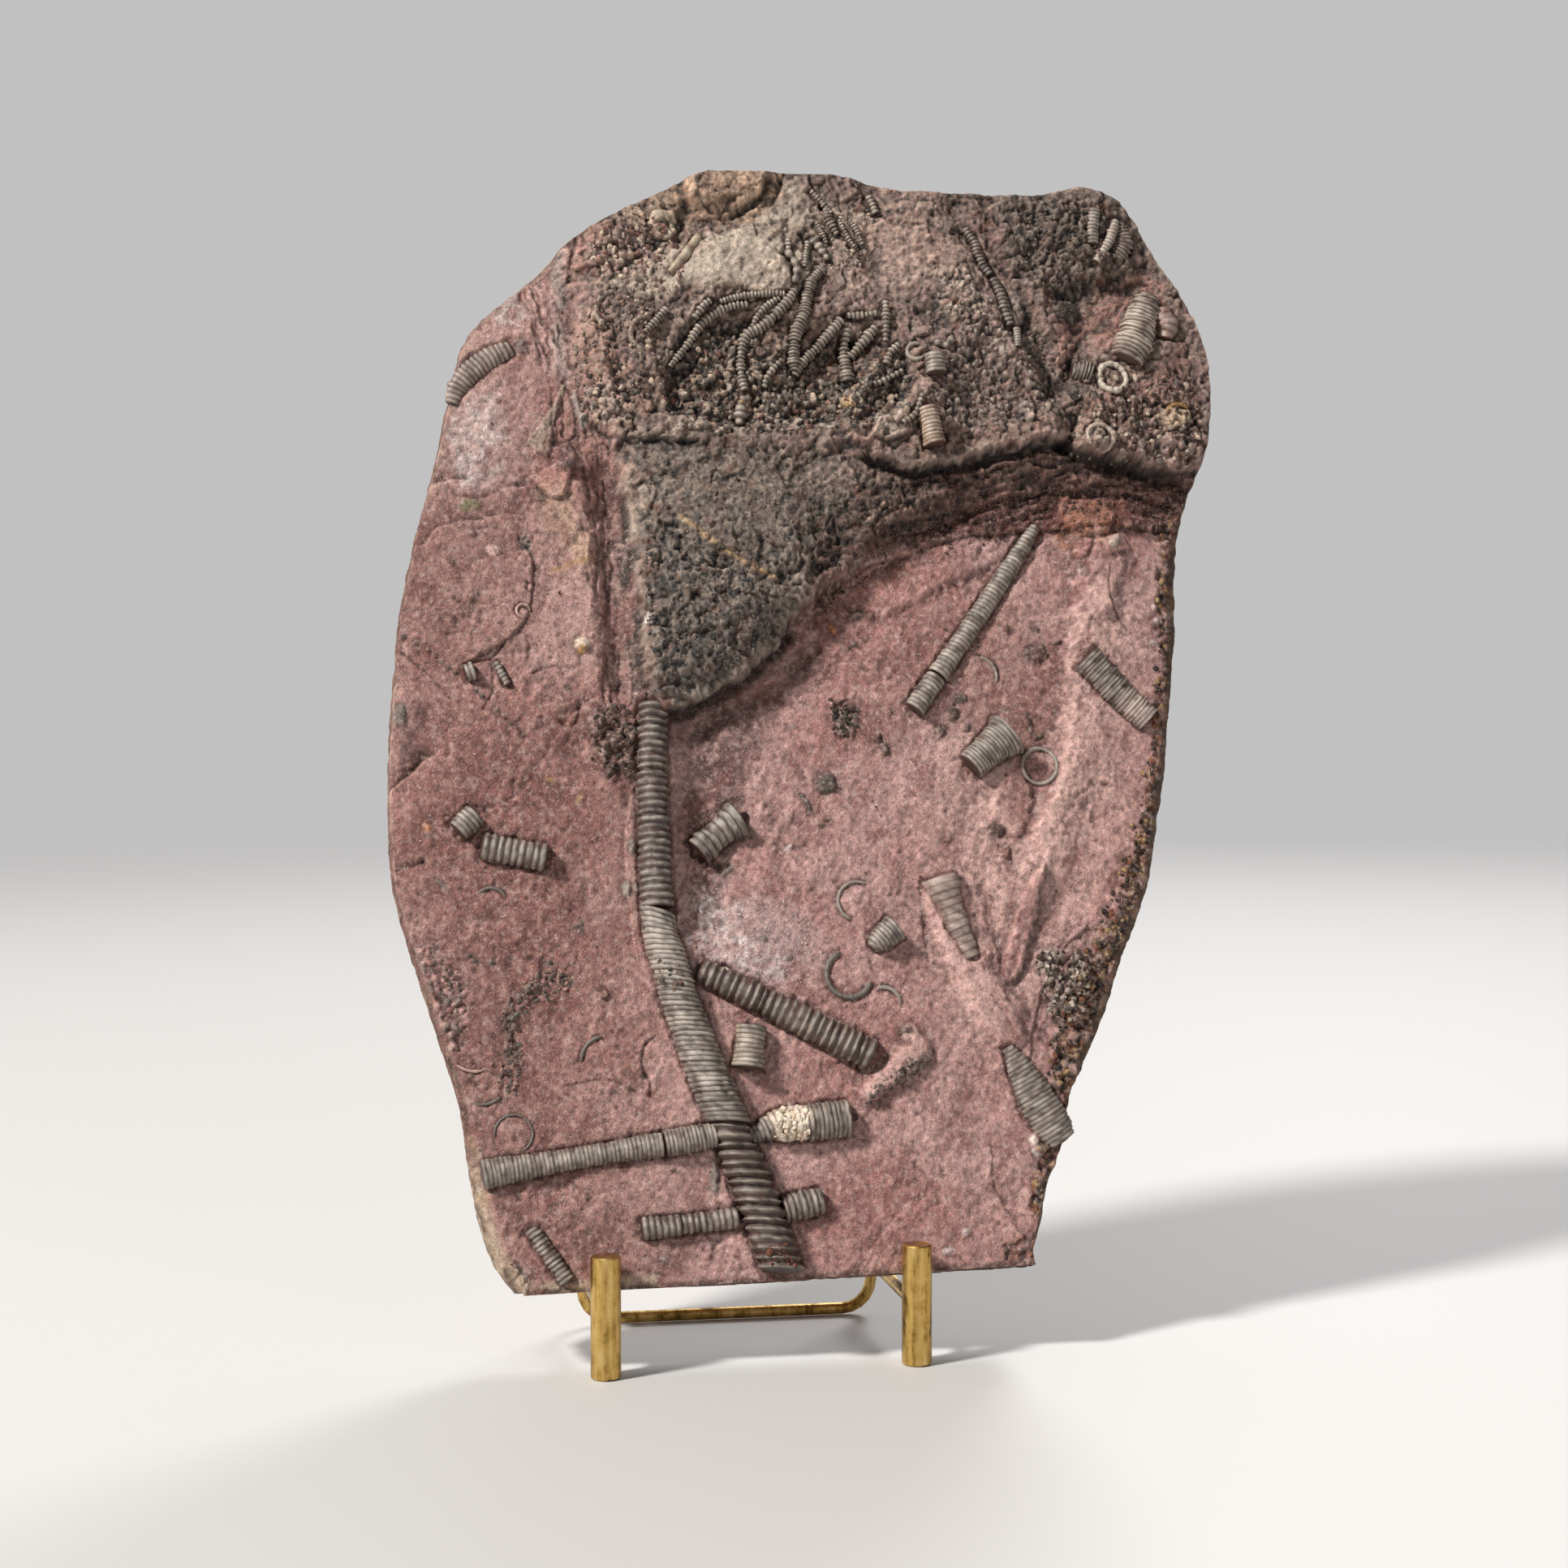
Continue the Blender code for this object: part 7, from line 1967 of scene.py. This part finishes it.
# ---------------------------------------------------------------- the brass stand
def brass_material():
    """Brass that was polished once: stained in upright streaks and dull in patches."""
    material, tree, shader, add = node_material("aged_brass_look", 0.3, 1.0)
    where = add("ShaderNodeTexCoord").outputs["Object"]
    tall = add("ShaderNodeVectorMath", {0: where, 1: (1.0, 1.0, 0.12)}, operation="MULTIPLY").outputs[0]
    streaks = add("ShaderNodeTexNoise", {"Vector": tall, "Scale": 620.0, "Detail": 5.0, "Roughness": 0.6})
    patches = add("ShaderNodeTexNoise", {"Vector": where, "Scale": 150.0, "Detail": 6.0, "Roughness": 0.65})
    specks = add("ShaderNodeTexNoise", {"Vector": where, "Scale": 1500.0, "Detail": 3.0})
    stain = add("ShaderNodeMath", {0: streaks.outputs["Fac"], 1: patches.outputs["Fac"]}, operation="ADD")
    spread = add("ShaderNodeMapRange", {"Value": stain.outputs[0], "From Min": 0.75, "From Max": 1.25})
    ramp = add("ShaderNodeValToRGB", {"Fac": spread.outputs[0]})
    stops = ramp.color_ramp.elements
    stops[0].position, stops[0].color = 0.0, (*tone(112, 86, 42), 1)
    stops[1].position, stops[1].color = 1.0, (*tone(226, 194, 128), 1)
    for position, colour in ((0.22, tone(168, 134, 70)), (0.55, tone(206, 170, 98))):
        stop = stops.new(position)
        stop.color = (*colour, 1)
    tree.links.new(ramp.outputs[0], shader.inputs["Base Color"])
    dull = add("ShaderNodeMapRange", {"Value": patches.outputs["Fac"], "From Min": 0.35, "From Max": 0.65,
                                      "To Min": 0.20, "To Max": 0.48})
    tree.links.new(dull.outputs[0], shader.inputs["Roughness"])
    relief = add("ShaderNodeMath", {0: specks.outputs["Fac"], 1: 0.03 * MM}, operation="MULTIPLY")
    raised = add("ShaderNodeBump", {"Height": relief.outputs[0], "Distance": 1.0, "Strength": 1.0})
    tree.links.new(raised.outputs[0], shader.inputs["Normal"])
    return material


# A collar of solder where a wire meets a rod: its radius, and how far from the wire's end, in mm
SOLDER_SIDES = 20
SOLDER_PROFILE = ((3.4, -0.9), (3.1, 0.0), (2.6, 0.35), (2.25, 0.8), (2.02, 1.5))


def make_stand(frame_nodes, brass):
    """Gives the rods and wires their finish, and puts a collar of solder at both ends of the two arms."""
    for name in ("left_post", "right_post", "left_arm", "right_arm", "back_frame"):
        for slot in frame_nodes[name].material_slots:
            slot.material = brass
    vertices, faces = [], []
    for name in ("left_arm", "right_arm"):
        low, high = (np.array(corner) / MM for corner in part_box(name))
        x, z = 0.5 * (low[0] + high[0]), 0.5 * (low[2] + high[2])
        for y, way in ((low[1], 1), (high[1], -1)):
            start = len(vertices)
            for radius, reach in SOLDER_PROFILE:
                for k in range(SOLDER_SIDES):
                    turn = 2 * math.pi * k / SOLDER_SIDES
                    bead = radius * (1 + 0.05 * math.sin(3 * turn + x))
                    vertices.append((x + bead * math.cos(turn), y + way * reach, z + bead * math.sin(turn)))
            for row in range(len(SOLDER_PROFILE) - 1):
                for k in range(SOLDER_SIDES):
                    n = (k + 1) % SOLDER_SIDES
                    a, b = start + row * SOLDER_SIDES, start + (row + 1) * SOLDER_SIDES
                    quad = (a + k, a + n, b + n, b + k)
                    faces.append(quad if way == 1 else quad[::-1])
            last = len(vertices) - SOLDER_SIDES
            ends = [tuple(start + k for k in range(SOLDER_SIDES)),
                    tuple(last + k for k in reversed(range(SOLDER_SIDES)))]
            faces += [e[::-1] for e in ends] if way == 1 else ends
    mesh = bpy.data.meshes.new("solder")
    mesh.from_pydata([tuple(c * MM for c in p) for p in vertices], [], faces)
    mesh.polygons.foreach_set("use_smooth", np.ones(len(mesh.polygons), dtype=bool))
    mesh.materials.append(brass)
    solder = bpy.data.objects.new("solder", mesh)
    bpy.context.scene.collection.objects.link(solder)
    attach(solder, "root")


def build(frame):
    """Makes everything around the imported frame."""
    make_stage()
    face = Face()
    crown = shape_masses(face)
    roughen(face, crown)
    lean_out(face)
    colour_ground(face, crown)
    rim, outward = slab_rim(1.0)
    front = rim[:, :2] - outward * rim[:, 2:]
    split_like_wood(face)
    add_details(face)
    colour_rim(face, rim)
    face.bed = blurred(face.height, 1.2)
    for _, path, _, _, options in LONG_STEM + FRAGMENTS + CROWN_STEMS:
        shaded_seat(face, path)
    for path, _ in ARMS:
        shaded_seat(face, path, 0.5, 0.5, BROWN, 0.6)
    finish_colour(face, crown)
    rock = stone_material("rock", 0.55, 0.40, 0.8, 0.84, dust=0.4)
    crown_rock = stone_material("crown_rock", 0.6, 0.38, 0.7, 0.62, sheen=0.15, dust=0.2)
    fossil = stone_material("fossil", 0.45, 0.2, 0.16, 0.45, sheen=0.25)
    face.fine = np.maximum(face.fine, crown)
    make_face(face, front, crown, rock, crown_rock)
    make_sides(face, front, rim, outward, rock)
    make_stand(frame["nodes"], brass_material())
    for k, (name, path, pitch, colours, options) in enumerate(LONG_STEM):
        place(name, *stem_parts(face, path, pitch, colours, seed=300 + k, **options), fossil)
    parts = [stem_parts(face, path, pitch, colours, seed=320 + k, **options)
             for k, (_, path, pitch, colours, options) in enumerate(FRAGMENTS + CROWN_STEMS)]
    place("fragments", *joined(parts), fossil)
    parts = [stem_parts(face, path, pitch, ARM_COLOURS, seed=400 + k, **ARM_LOOK)
             for k, (path, pitch) in enumerate(ARMS)]
    place("arms", *joined(parts), fossil)
    parts = [hoop(face, s, v, radius, width, rise, start, stop, colour, 500 + k)
             for k, (s, v, radius, width, rise, start, stop, colour) in enumerate(RINGS)]
    place("rings", *joined(parts), fossil)
    parts = [crumbs(face, *scatter, 600 + k) for k, scatter in enumerate(CRUMBS)]
    place("crumbs", *joined(parts), crown_rock, smooth=False)
    place("crystals", *crumbs(face, **CRYSTALS), fossil, smooth=False)
    parts = [crumbs(face, **scatter) for scatter in BROKEN_STEM]
    place("broken_stem", *joined(parts), crown_rock, smooth=False)


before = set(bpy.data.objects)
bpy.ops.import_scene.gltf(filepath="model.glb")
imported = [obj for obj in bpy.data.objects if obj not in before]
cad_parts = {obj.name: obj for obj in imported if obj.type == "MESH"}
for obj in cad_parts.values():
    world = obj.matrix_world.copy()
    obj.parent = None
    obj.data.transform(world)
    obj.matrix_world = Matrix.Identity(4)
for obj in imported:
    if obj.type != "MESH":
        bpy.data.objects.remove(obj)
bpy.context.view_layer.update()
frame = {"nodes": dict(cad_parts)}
build(frame)
